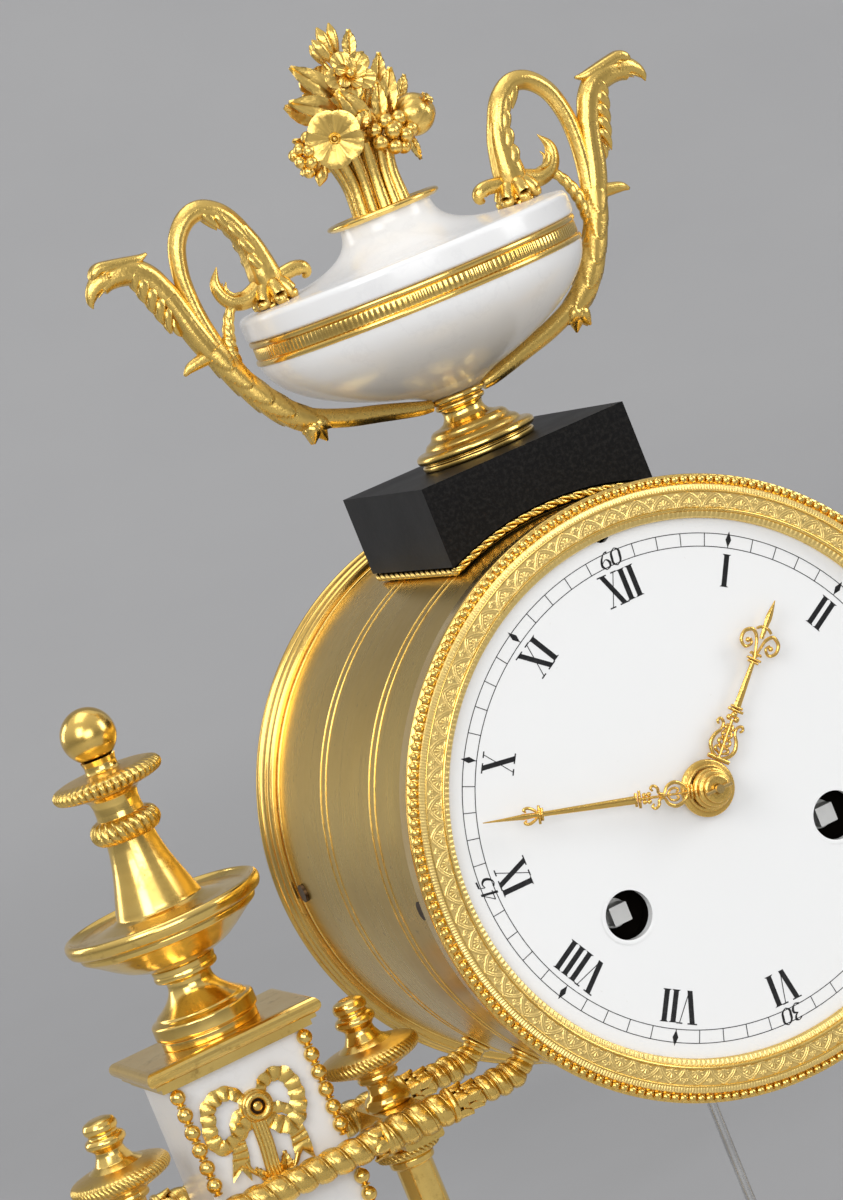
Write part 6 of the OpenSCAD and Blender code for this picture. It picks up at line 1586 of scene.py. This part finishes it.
# %% Leaves and blooms
def leaf(root, tip, half_width, facing, bend=0.12, teeth=0, thick=0.55, rows=15):
    root, tip, facing = (np.array(v, float) for v in (root, tip, facing))
    along = tip - root
    length = np.linalg.norm(along)
    facing = unit(facing - unit(along) * np.dot(facing, unit(along)))
    across = np.cross(unit(along), facing)
    grid = []
    for t in np.linspace(0, 1, rows):
        w = half_width * max(0.04, math.sin(math.pi * (0.06 + 0.94 * t) ** 0.85)) ** 0.75
        if teeth:
            w *= 1 - 0.13 * ((t * teeth) % 1)
        middle = root + along * t + facing * (bend * length * math.sin(math.pi * t))
        row = []
        for u in np.linspace(-1, 1, 11):
            midrib, veins = 0.16 * (abs(u) < 0.12), 0.09 * math.cos(9 * t * math.pi - 5 * abs(u)) * (abs(u) > 0.15)
            row.append(middle + across * (w * u) + facing * (0.22 * half_width * (abs(u) ** 1.2) - midrib - veins))
        grid.append(row)
    return sheet(grid, thick)


def bloom(middle, facing, radius, petals, depth, gap=0.2, veins=0.05, thick=0.55, roll=0.1, twist=0.0):
    middle, facing = np.array(middle, float), unit(facing)
    side = unit(np.cross(facing, (0.1, 0.2, 1)))
    over = np.cross(facing, side)
    sides, rows = petals * 16, 12
    a = np.linspace(0, 2 * math.pi, sides, endpoint=False)[None, :]
    s = np.linspace(0, 1, rows)[:, None]
    lobe = np.abs(np.cos(petals * a / 2))
    reach = radius * s * (1 - gap * s ** 2 * (1 - lobe ** 0.6))
    rise = depth * (s ** 0.8) - roll * radius * s ** 5 + radius * 0.09 * (1 - lobe ** 0.5) * s
    rise = rise - veins * np.cos(petals * 4 * a) * s
    a = a + twist * s
    front = middle + (side * (np.cos(a) * reach)[..., None] + over * (np.sin(a) * reach)[..., None]
                      + facing * rise[..., None])
    points = np.concatenate([front.reshape(-1, 3), (front - facing * thick)[::-1].reshape(-1, 3)])
    return points, grid_faces(2 * rows, sides, False, True)


def ring_button(middle, facing, radius):
    """A little ring with a button inside, the eye of a flower."""
    facing = unit(facing)
    side = unit(np.cross(facing, (0.1, 0.2, 1)))
    over = np.cross(facing, side)
    line = [(0, 0.5), (0.28, 0.45), (0.42, 0.2), (0.5, 0.1), (0.62, 0.35), (0.8, 0.5), (0.95, 0.4), (1.05, 0.0),
            (1.0, -0.6)]
    a = np.linspace(0, 2 * math.pi, 20, endpoint=False)
    middle = np.array(middle, float)
    points = [middle + (side * math.cos(t) + over * math.sin(t)) * (r * radius) + facing * (h * radius)
              for r, h in line for t in a]
    return np.array(points), grid_faces(len(line), 20, False, True)


def bud(root, tip, fat, facing=(0, -1, 0.2)):
    root, tip = np.array(root, float), np.array(tip, float)
    line = [root, root + (tip - root) * 0.35, root + (tip - root) * 0.7, tip]
    points = smooth_line([(*p, r) for p, r in zip(line, (fat * 0.45, fat * 0.95, fat, fat * 0.16))], 26)
    return sweep(points[:, :3], points[:, 3], 20, facing, ribbed(4, 0.20), 0.12)


# %% The bunch
def stalk(root, tip, radius, bow=0.6):
    root, tip = np.array(root, float), np.array(tip, float)
    middle = (root + tip) / 2 - np.array([root[0] + tip[0], root[1] + tip[1], 0]) / 2 * 0.22 * bow
    points = smooth_line([(*root, radius * 1.15), (*middle, radius), (*tip, radius * 0.95)], 24)
    return sweep(points[:, :3], points[:, 3], 12, (0.2, 1, 0), ribbed(3, 0.14))


def bouquet_parts():
    parts = []
    for k in range(13):
        a = 2 * math.pi * k / 13 + 0.2
        b = a + 0.15
        root, top = (5.4 * math.cos(a), 4.6 * math.sin(a), 432.4), (7.0 * math.cos(b), 5.6 * math.sin(b), 446.5)
        parts.append(stalk(root, top, 1.15 + 0.12 * math.sin(3 * k)))
    for k in range(6):
        a = 2 * math.pi * k / 6
        parts.append(stalk((3.0 * math.cos(a), 2.6 * math.sin(a), 432.4),
                           (3.6 * math.cos(a), 3 * math.sin(a), 447), 1.5))
    parts.append(ball((0.5, 0, 449.5), 6.6, 12, 20, (1.05, 0.8, 0.85)))
    parts.append(ball((3.0, 0, 457.0), 5.2, 12, 20, (1.0, 0.75, 1.2)))
    parts += [bloom((-6.0, -5.6, 449.6), (-0.42, -0.9, -0.02), 6.3, 5, 1.9, 0.10, 0.05),
              ring_button((-6.2, -6.0, 449.6), (-0.42, -0.9, -0.02), 1.15),
              bloom((3.2, -3.0, 460.6), (-0.12, -0.95, 0.22), 5.5, 5, 1.5, 0.34, 0.09, 0.5, 0.06),
              bloom((3.2, -3.2, 460.6), (-0.12, -0.95, 0.22), 3.4, 5, 1.6, 0.4, 0.08, 0.4, 0.04, 0.6),
              ball((3.0, -4.6, 461.0), 0.95, 8, 12)]
    parts += [bloom((5.5, 4.4, 451.0), (0.35, 0.93, 0.05), 5.8, 5, 1.8, 0.16),
              ring_button((5.6, 4.8, 451.0), (0.35, 0.93, 0.05), 1.1),
              bloom((-1.5, 3.4, 460.0), (-0.2, 0.95, 0.2), 5.2, 5, 1.5, 0.34, 0.09, 0.5, 0.06),
              ball((-1.7, 4.9, 460.3), 0.95, 8, 12)]
    front, rear = (-0.3, -0.95, 0.25), (0.2, 0.95, 0.2)
    parts += [leaf((-1.4, -1.6, 458.2), (-7.6, -0.4, 466.8), 2.3, front),
              leaf((-2.6, -3.0, 454.6), (-11.4, -2.2, 460.0), 2.4, front),
              leaf((5.6, -1.0, 464.4), (7.7, -0.4, 469.6), 1.5, front, 0.05),
              leaf((9.0, -0.6, 456.0), (12.5, 0.6, 462.8), 1.6, front, 0.05),
              leaf((7.2, -3.6, 449.8), (12.5, -2.4, 459.0), 2.2, front, 0.1, 7),
              leaf((13.4, 2.0, 452.0), (16.9, 3.0, 456.5), 1.3, front, 0.05),
              leaf((2.0, -5.2, 449.6), (-1.6, -5.6, 458.9), 2.4, front, 0.16),
              leaf((-0.8, -6.4, 449.2), (2.4, -7.2, 452.6), 1.5, front, 0.2),
              leaf((10.8, -2.6, 444.4), (11.6, -1.6, 438.8), 1.0, front, 0.1),
              leaf((5.2, -5.0, 449.4), (8.0, -4.2, 457.4), 1.7, front, 0.1, 6),
              leaf((-4.0, 3.0, 454.0), (-10.4, 4.0, 459.6), 2.3, rear),
              leaf((0.5, 5.4, 449.0), (-2.0, 6.0, 457.4), 2.3, rear, 0.16),
              leaf((6.5, 3.0, 457.6), (10.5, 4.0, 464.4), 1.9, rear, 0.1, 6),
              leaf((-6.0, 4.6, 448.0), (-12.0, 5.4, 445.0), 1.8, rear),
              leaf((10.0, 3.6, 447.0), (13.4, 5.0, 441.4), 1.6, rear, 0.15),
              leaf((-5.2, 1.0, 447.0), (-12.8, 0.6, 452.4), 2.0, front, 0.1)]
    parts += [bud((2.1, -0.6, 465.6), (1.3, -0.2, 472.5), 1.35), bud((3.6, 0.2, 465.8), (4.4, 0.4, 472.5), 1.2),
              bud((1.2, -1.6, 464.6), (-1.3, -2.0, 470.4), 1.3),
              bud((-8.8, -2.2, 446.4), (-12.2, -3.0, 441.6), 1.35),
              bud((0.6, 1.6, 464.8), (-0.6, 2.6, 469.6), 1.2)]
    for root, tip in (((2.6, -0.4, 460), (2.1, -0.6, 466)), ((3.2, 0, 461), (3.6, 0.2, 466)),
                      ((2.0, -0.6, 460), (1.2, -1.6, 465)),
                      ((2.0, 0.6, 460), (0.6, 1.6, 465)), ((-5.5, -2.0, 446.0), (-9.0, -2.2, 446.5))):
        parts.append(stalk(root, tip, 0.6, 0))
    for x, y, z in ((5.3, -7.0, 449.0), (8.6, -6.2, 448.6), (5.6, -8.2, 446.6), (8.4, -7.2, 444.8),
                    (2.6, -7.2, 445.2), (5.2, -7.2, 443.4),
                    (2.8, -6.2, 448.0), (10.6, -5.4, 445.6), (7.6, -5.6, 442.8), (7.0, -6.6, 447.0)):
        parts += berry((x, y, z), 1.72, (0.1, -0.95, -0.1))
    for x, y, z in ((-13.0, -2.4, 450.2), (-13.9, -2.6, 447.7), (-12.2, -4.0, 446.8), (-13.0, -2.6, 445.2),
                    (-10.6, -2.6, 451.9),
                    (-11.8, -3.8, 449.2), (-14.0, -0.8, 449.4), (-12.6, -0.8, 446.6)):
        parts += berry((x, y, z), 1.42, (-0.6, -0.7, -0.1))
    for x, y, z in ((-4.4, 6.2, 448.6), (-6.6, 5.6, 447.0), (-3.6, 6.4, 445.8), (-5.6, 6.6, 444.8),
                    (-8.0, 4.8, 445.4), (-5.2, 5.2, 450.4)):
        parts += berry((x, y, z), 1.6, (-0.4, 0.9, -0.1))
    return parts + fruit((13.4, -3.0, 448.1), 4.7)


def berry(place, radius, outward):
    """A berry with the small dimple of its blossom end."""
    tip = np.array(place, float) + unit(outward) * radius * 0.93
    return [ball(place, radius, 9, 16), ball(tip, radius * 0.24, 5, 8)]


def fruit(place, radius):
    t = np.linspace(0.02, math.pi - 0.02, 26)[:, None]
    a = np.linspace(0, 2 * math.pi, 60, endpoint=False)[None, :]
    swell = radius * (1 - 0.09 * (1 - np.abs(np.cos(2.5 * a)) ** 0.5) * np.sin(t) - 0.16 * np.exp(-(t / 0.42) ** 2))
    shape = np.stack([swell * np.sin(t) * np.cos(a), swell * np.sin(t) * np.sin(a), swell * np.cos(t)], -1)
    axis = unit((0.62, -0.55, 0.42))
    side = unit(np.cross(axis, (0, 0, 1)))
    over = np.cross(axis, side)
    points = np.array(place) + shape[..., :1] * side + shape[..., 1:2] * over + shape[..., 2:3] * axis
    parts = [(points.reshape(-1, 3), grid_faces(26, 60, False, True))]
    for k in range(5):
        b = 2 * math.pi * k / 5
        out = side * math.cos(b) + over * math.sin(b)
        base = np.array(place) + axis * radius * 0.88
        parts.append(leaf(base + out * 0.2, base + out * 1.5 + axis * 0.7, 0.55, axis, 0.15, thick=0.4, rows=7))
    return parts + [ball(np.array(place) + axis * radius * 0.9, 0.5, 6, 10)]


RING = [(5.0, 0.0), (11.3, 0.0), (11.8, 0.15), (12.2, 0.4), (12.6, 0.7), (12.6, 1.1), (12.2, 1.45), (11.5, 1.65),
        (10.9, 1.6), (10.6, 1.35), (10.2, 1.3), (5.0, 1.5)]
make_piece("bouquet_ring_turned", [turn(soften(RING, 0.12, 2), 120, middle=(0, 0, LID_TOP), closed=True)], BRIGHT,
           weld=0.002)
make_piece("bouquet_chased", bouquet_parts(), GILT, replaces=("bouquet",), sharp=60)
print("bouquet placed")

# %% [markdown]
# ## Trophies
#
# On each pillar hangs a ribbon bow over a sheaf, held by a bolt. The ribbon is a
# band whose surface ripples along its length, as if it had been pinched into folds.

# %% Ribbons and sheaf
def ribbon_band(points, half_widths, base, fold=0.35, folds=9, steps=90, thick=0.55, phase=0.0):
    """points are (x, z) from the bolt. base is how far it stands off the marble."""
    line = smooth_line([(*spot, w, base) for spot, w in zip(points, half_widths)], steps)
    ahead = unit(np.gradient(line[:, :2], axis=0))
    across = np.stack([-ahead[:, 1], ahead[:, 0]], 1)
    grid = []
    for i, (x, z, w, h) in enumerate(line):
        t = i / (steps - 1)
        ripple = fold * abs(math.sin(math.pi * folds * t + phase)) ** 0.6
        row = []
        for u in np.linspace(-1, 1, 7):
            edge = w * (1 + 0.10 * math.sin(2 * math.pi * folds * t + phase) * (abs(u) > 0.9))
            row.append((x + across[i, 0] * edge * u, -(h + ripple * (0.55 + 0.45 * u) + 0.25 * (1 - u * u)),
                        z + across[i, 1] * edge * u))
        grid.append(row)
    return sheet(grid, thick)


def tail(points, half_width, base, folds=4, phase=0.4):
    """A ribbon end cut to a swallow tail."""
    line = smooth_line(points, 40)
    ahead = unit(np.gradient(line, axis=0))
    across = np.stack([-ahead[:, 1], ahead[:, 0]], 1)
    grid = []
    for i, (x, z) in enumerate(line):
        t = i / 39
        row = []
        for u in np.linspace(-1, 1, 9):
            reach = 2.6 * max(0.0, t - 0.72) * abs(u) * 3.4
            ripple = 0.32 * abs(math.sin(math.pi * folds * t + phase + 0.5 * u)) ** 0.7
            row.append((x + across[i, 0] * half_width * u * (0.8 + 0.3 * t) + ahead[i, 0] * reach, -(base + ripple),
                        z + across[i, 1] * half_width * u * (0.8 + 0.3 * t) + ahead[i, 1] * reach))
        grid.append(row)
    return sheet(grid, 0.5)


def trophy_parts():
    parts = [ribbon_band([(1.5, 2.0), (3.0, 3.9), (5.6, 4.6), (8.0, 3.4), (8.9, 0.6), (8.6, -2.6), (7.2, -5.4),
                          (4.8, -6.6), (2.2, -4.6),
                          (0.8, -2.4)], [1.0, 1.3, 1.45, 1.5, 1.5, 1.6, 1.75, 1.8, 1.6, 1.2], 0.5, 0.85, 11),
             ribbon_band([(-1.8, 1.6), (-4.0, 4.6), (-6.9, 5.2), (-9.7, 3.8), (-10.7, 0.8), (-11.3, -2.4),
                          (-9.9, -4.9), (-7.0, -4.6),
                          (-4.2, -2.9), (-1.4, -1.6)], [0.9, 1.3, 1.5, 1.5, 1.4, 1.5, 1.5, 1.5, 1.5, 1.2], 0.5,
                         0.85, 12, phase=0.8),
             ribbon_band([(1.8, -1.6), (3.6, -2.0), (5.3, -2.9), (6.6, -4.6)], [1.1, 1.1, 1.0, 0.8], 0.45, 0.3, 3,
                         30),
             ribbon_band([(-1.8, -0.6), (-4.0, -0.2), (-5.6, -1.6), (-6.4, -3.6)], [1.1, 1.1, 1.0, 0.8], 0.45,
                         0.3, 3, 30),
             tail([(5.6, -6.4), (5.9, -8.8), (5.8, -11.0), (5.6, -12.6)], 1.9, 0.5),
             tail([(-6.4, -5.2), (-6.9, -7.6), (-7.6, -9.6), (-8.0, -10.8)], 1.8, 0.5, phase=1.4)]
    for k, (x0, x1) in enumerate(((-2.0, -2.6), (-1.2, -1.9), (-0.5, -1.1), (0.1, -0.4), (-1.6, -1.5))):
        high = 0.95 + 0.35 * math.sin(math.pi * k / 4) - 0.6 * (k == 4)
        points = [(x0, -high, -2.2), (x0 - 0.25, -high, -8), ((x0 + x1) / 2 - 0.5, -high, -13), (x1, -high, -17.9)]
        line = smooth_line([(*p, r) for p, r in zip(points, (0.62, 0.66, 0.6, 0.5))], 36)
        parts.append(sweep(line[:, :3], line[:, 3], 12, (0, 1, 0), ribbed(2, 0.10)))
    for points in ([(-6.6, -9.6), (-6.0, -12.0), (-4.4, -14.2), (-3.1, -17.6)],
                   [(-4.9, -12.4), (-3.8, -14.2), (-2.9, -17.6)],
                   [(4.3, -12.6), (2.9, -14.4), (1.2, -16.4), (0.2, -17.8)],
                   [(2.9, -13.6), (1.4, -15.4), (-0.2, -17.8)]):
        line = smooth_line([(x, -0.9, z, 0.45) for x, z in points], 24)
        parts.append(sweep(line[:, :3], line[:, 3], 10, (0, 1, 0), ribbed(2, 0.1)))
    parts += [leaf((0.6, -0.9, -15.6), (1.7, -1.2, -10.9), 1.3, (0, -1, 0), 0.08, 4),
              leaf((-3.4, -0.9, -15.6), (-5.2, -1.0, -11.6), 0.9, (0, -1, 0), 0.08)]
    cap = [(-3.9, -18.3), (-1.1, -18.6), (1.7, -18.3)]
    line = smooth_line([(x, -0.95, z, 0.85) for x, z in cap], 20)
    parts.append(sweep(line[:, :3],
                       np.interp(np.linspace(0, 1, 20), [0, 0.12, 0.5, 0.88, 1],
                                 [0.35, 0.75, 0.9, 0.75, 0.35]), 16))
    boss = [(1.55, 0.05), (1.6, -1.9), (1.9, -2.35), (2.35, -2.5), (2.75, -2.35), (2.95, -2.0), (3.2, -1.85),
            (3.5, -1.5), (3.6, -0.9), (3.6, 0.05)]
    parts.append(turn(soften(boss, 0.12, 2), 48, about="y", closed=True))
    return parts


BOLT_SPOTS = [(s * PILLAR_X, -PILLAR_D / 2, CORNICE_BOTTOM - 10.5) for s in (-1, 1)]
make_piece("trophies_chased", [moved(part, spot) for spot in BOLT_SPOTS for part in trophy_parts()], GILT,
           replaces=("trophies",), sharp=60)


# %% Bolts
def bolt_head():
    head = [(0, -2.15), (0.6, -2.1), (1.0, -1.85), (1.1, -1.5), (1.1, 0.0), (0, 0.0)]
    return turn(soften(head, 0.1, 2), 32, about="y")


def dark_well():
    return turn([(0, -0.35), (1.62, -0.35), (1.62, -0.1), (0, -0.1)], 32, about="y")


make_piece("trophy_bolt_heads", [moved(bolt_head(), spot) for spot in BOLT_SPOTS], BRIGHT, replaces=("trophy_bolts",),
           weld=0.002)
make_piece("trophy_bolt_wells", [moved(dark_well(), spot) for spot in BOLT_SPOTS], BROWNED, weld=0.002)
print("trophies placed")

# %% [markdown]
# ## Bead strings
#
# A string of cast beads runs down both front edges of each pillar, with a small
# disc between two beads, and stops at the bars.

# %% Beads
def bead_string(x):
    parts = []
    y = -PILLAR_D / 2 - 1.56
    gap = 3.9
    for low, high in ((PILLAR_BOTTOM, BAR_Z - gap), (BAR_Z + gap, CORNICE_BOTTOM)):
        count = round((high - low) / 4.05)
        pitch = (high - low) / count
        profile = []
        for i in range(count):
            z = low + i * pitch
            profile += [(0.6, z), (1.0, z + 0.06), (1.05, z + 0.28), (0.6, z + 0.42)]
            middle, r = z + pitch / 2 + 0.2, 1.68
            profile += [(r * math.sin(t), middle - r * math.cos(t)) for t in np.linspace(0.4, math.pi - 0.4, 9)]
        profile += [(0.5, high - 0.05), (0.3, high)]
        parts.append(turn(profile, 18, middle=(x, y, 0)))
    return parts


strings = [part for s in (-1, 1) for edge in (-1, 1)
           for part in bead_string(s * (PILLAR_X + edge * (PILLAR_W / 2 - 0.78)))]
make_piece("pillar_bead_strings", strings, BRIGHT, replaces=("pillar_beads",), sharp=50)
print("bead strings placed")

# %% [markdown]
# ## Feet, frieze and pendulum
#
# The base stands on six turned feet, whose bulge is gadrooned, and a row of
# eight-petalled rosettes runs along its front. The pendulum's bob was engine
# turned: fine rays run out from a boss to a rim of small beads. All three are
# lathe profiles again, with the radius or the height changed by the angle.

# %% Gadrooned feet
FOOT = [(0, 0), (5.0, 0), (5.6, 0.5), (6.2, 1.8), (8.6, 4.0), (10.3, 6.6), (10.8, 8.4), (10.4, 10.4), (8.6, 12.2),
        (6.6, 12.9), (6.1, 13.3), (6.4, 13.8), (9.3, 14.2), (10.0, 14.8), (10.1, 17.4), (9.8, 18), (0, 18)]


def gadroons(angles, radii, heights):
    inside = np.clip((heights - 2.5) / 9.5, 0, 1)
    lobe = np.abs(np.cos(angles * 9)) ** 0.6
    return radii - 0.55 * np.sin(np.pi * inside) ** 0.5 * (1 - lobe) * (radii > 5), heights


make_piece("base_feet_turned",
           [turn(soften(FOOT, 0.3), 180, middle=(x, y, 0), shape=gadroons) for x in (-149, 0, 149)
            for y in (-49, 49)],
           BRIGHT, replaces=("base_feet",), weld=0.002)


# %% Rosettes of the frieze
def rosette(x, z, size=4.2):
    line = [(0, -2.1), (0.16, -2.05), (0.24, -1.75), (0.32, -1.6), (0.42, -1.85), (0.66, -2.0), (0.9, -1.6),
            (1.0, -1.0)]

    def petals(angles, radii, heights):
        cleft = 1 - np.abs(np.cos(angles * 4)) ** 0.5
        return radii * (1 - 0.2 * cleft * (radii > 1.5)), heights + 0.5 * cleft * (radii > 1.5)

    return turn([(r * size, d) for r, d in line], 96, about="y", middle=(x, -61.0, z), shape=petals)


make_piece("base_frieze_rosettes", [rosette(14.4 * (i - 3.5), 38.1) for i in range(8)], GILT, sharp=60)


# %% Pendulum bob
def pendulum_bob():
    middle, half = (0, PENDULUM_Y, PIVOT_Z - 227.0), 5.5
    lens = [(r, -half * (1 - (r / BOB_R) ** 2) - 0.4) for r in np.linspace(6.4, 23.6, 14)]
    front = [(0, -5.9), (2.6, -5.85), (3.2, -5.5), (4.0, -5.45), (4.6, -5.8), (5.6, -5.75), (6.1, -5.4)] + lens
    front += [(24.2, -2.1), (24.8, -1.7), (25.3, -1.6), (27.6, -1.5), (28.3, -1.4), (28.6, -0.9)]
    line = front + [(r, -d) for r, d in reversed(front)]

    def rays(angles, radii, heights):
        share = np.clip((radii - 6.6) / 3, 0, 1) * (radii < 23.4)
        return radii, heights + 0.16 * np.sign(heights) * share * np.cos(angles * 60)

    parts = [turn(soften(line, 0.12, 2), 480, about="y", middle=middle, shape=rays)]
    for s in (-1, 1):
        parts += [ball((26.4 * math.sin(a), PENDULUM_Y + s * 1.5, middle[2] + 26.4 * math.cos(a)), 1.0, 6, 10)
                  for a in np.linspace(0, 2 * math.pi, 72, endpoint=False)]
    nut = [(0, -32.0), (3.2, -32.0), (3.6, -31.7), (3.6, -29.3), (3.2, -29.0), (0, -29.0)]

    def milling(angles, radii, heights):
        return radii - 0.2 * (0.5 + 0.5 * np.cos(angles * 30)) * (radii > 3.3), heights

    parts.append(turn(nut, 120, middle=middle, shape=milling))
    return parts


make_piece("pendulum_bob_turned", pendulum_bob(), BRIGHT, body="pendulum", replaces=("pendulum_bob",), sharp=60)
print("feet, frieze and pendulum placed")
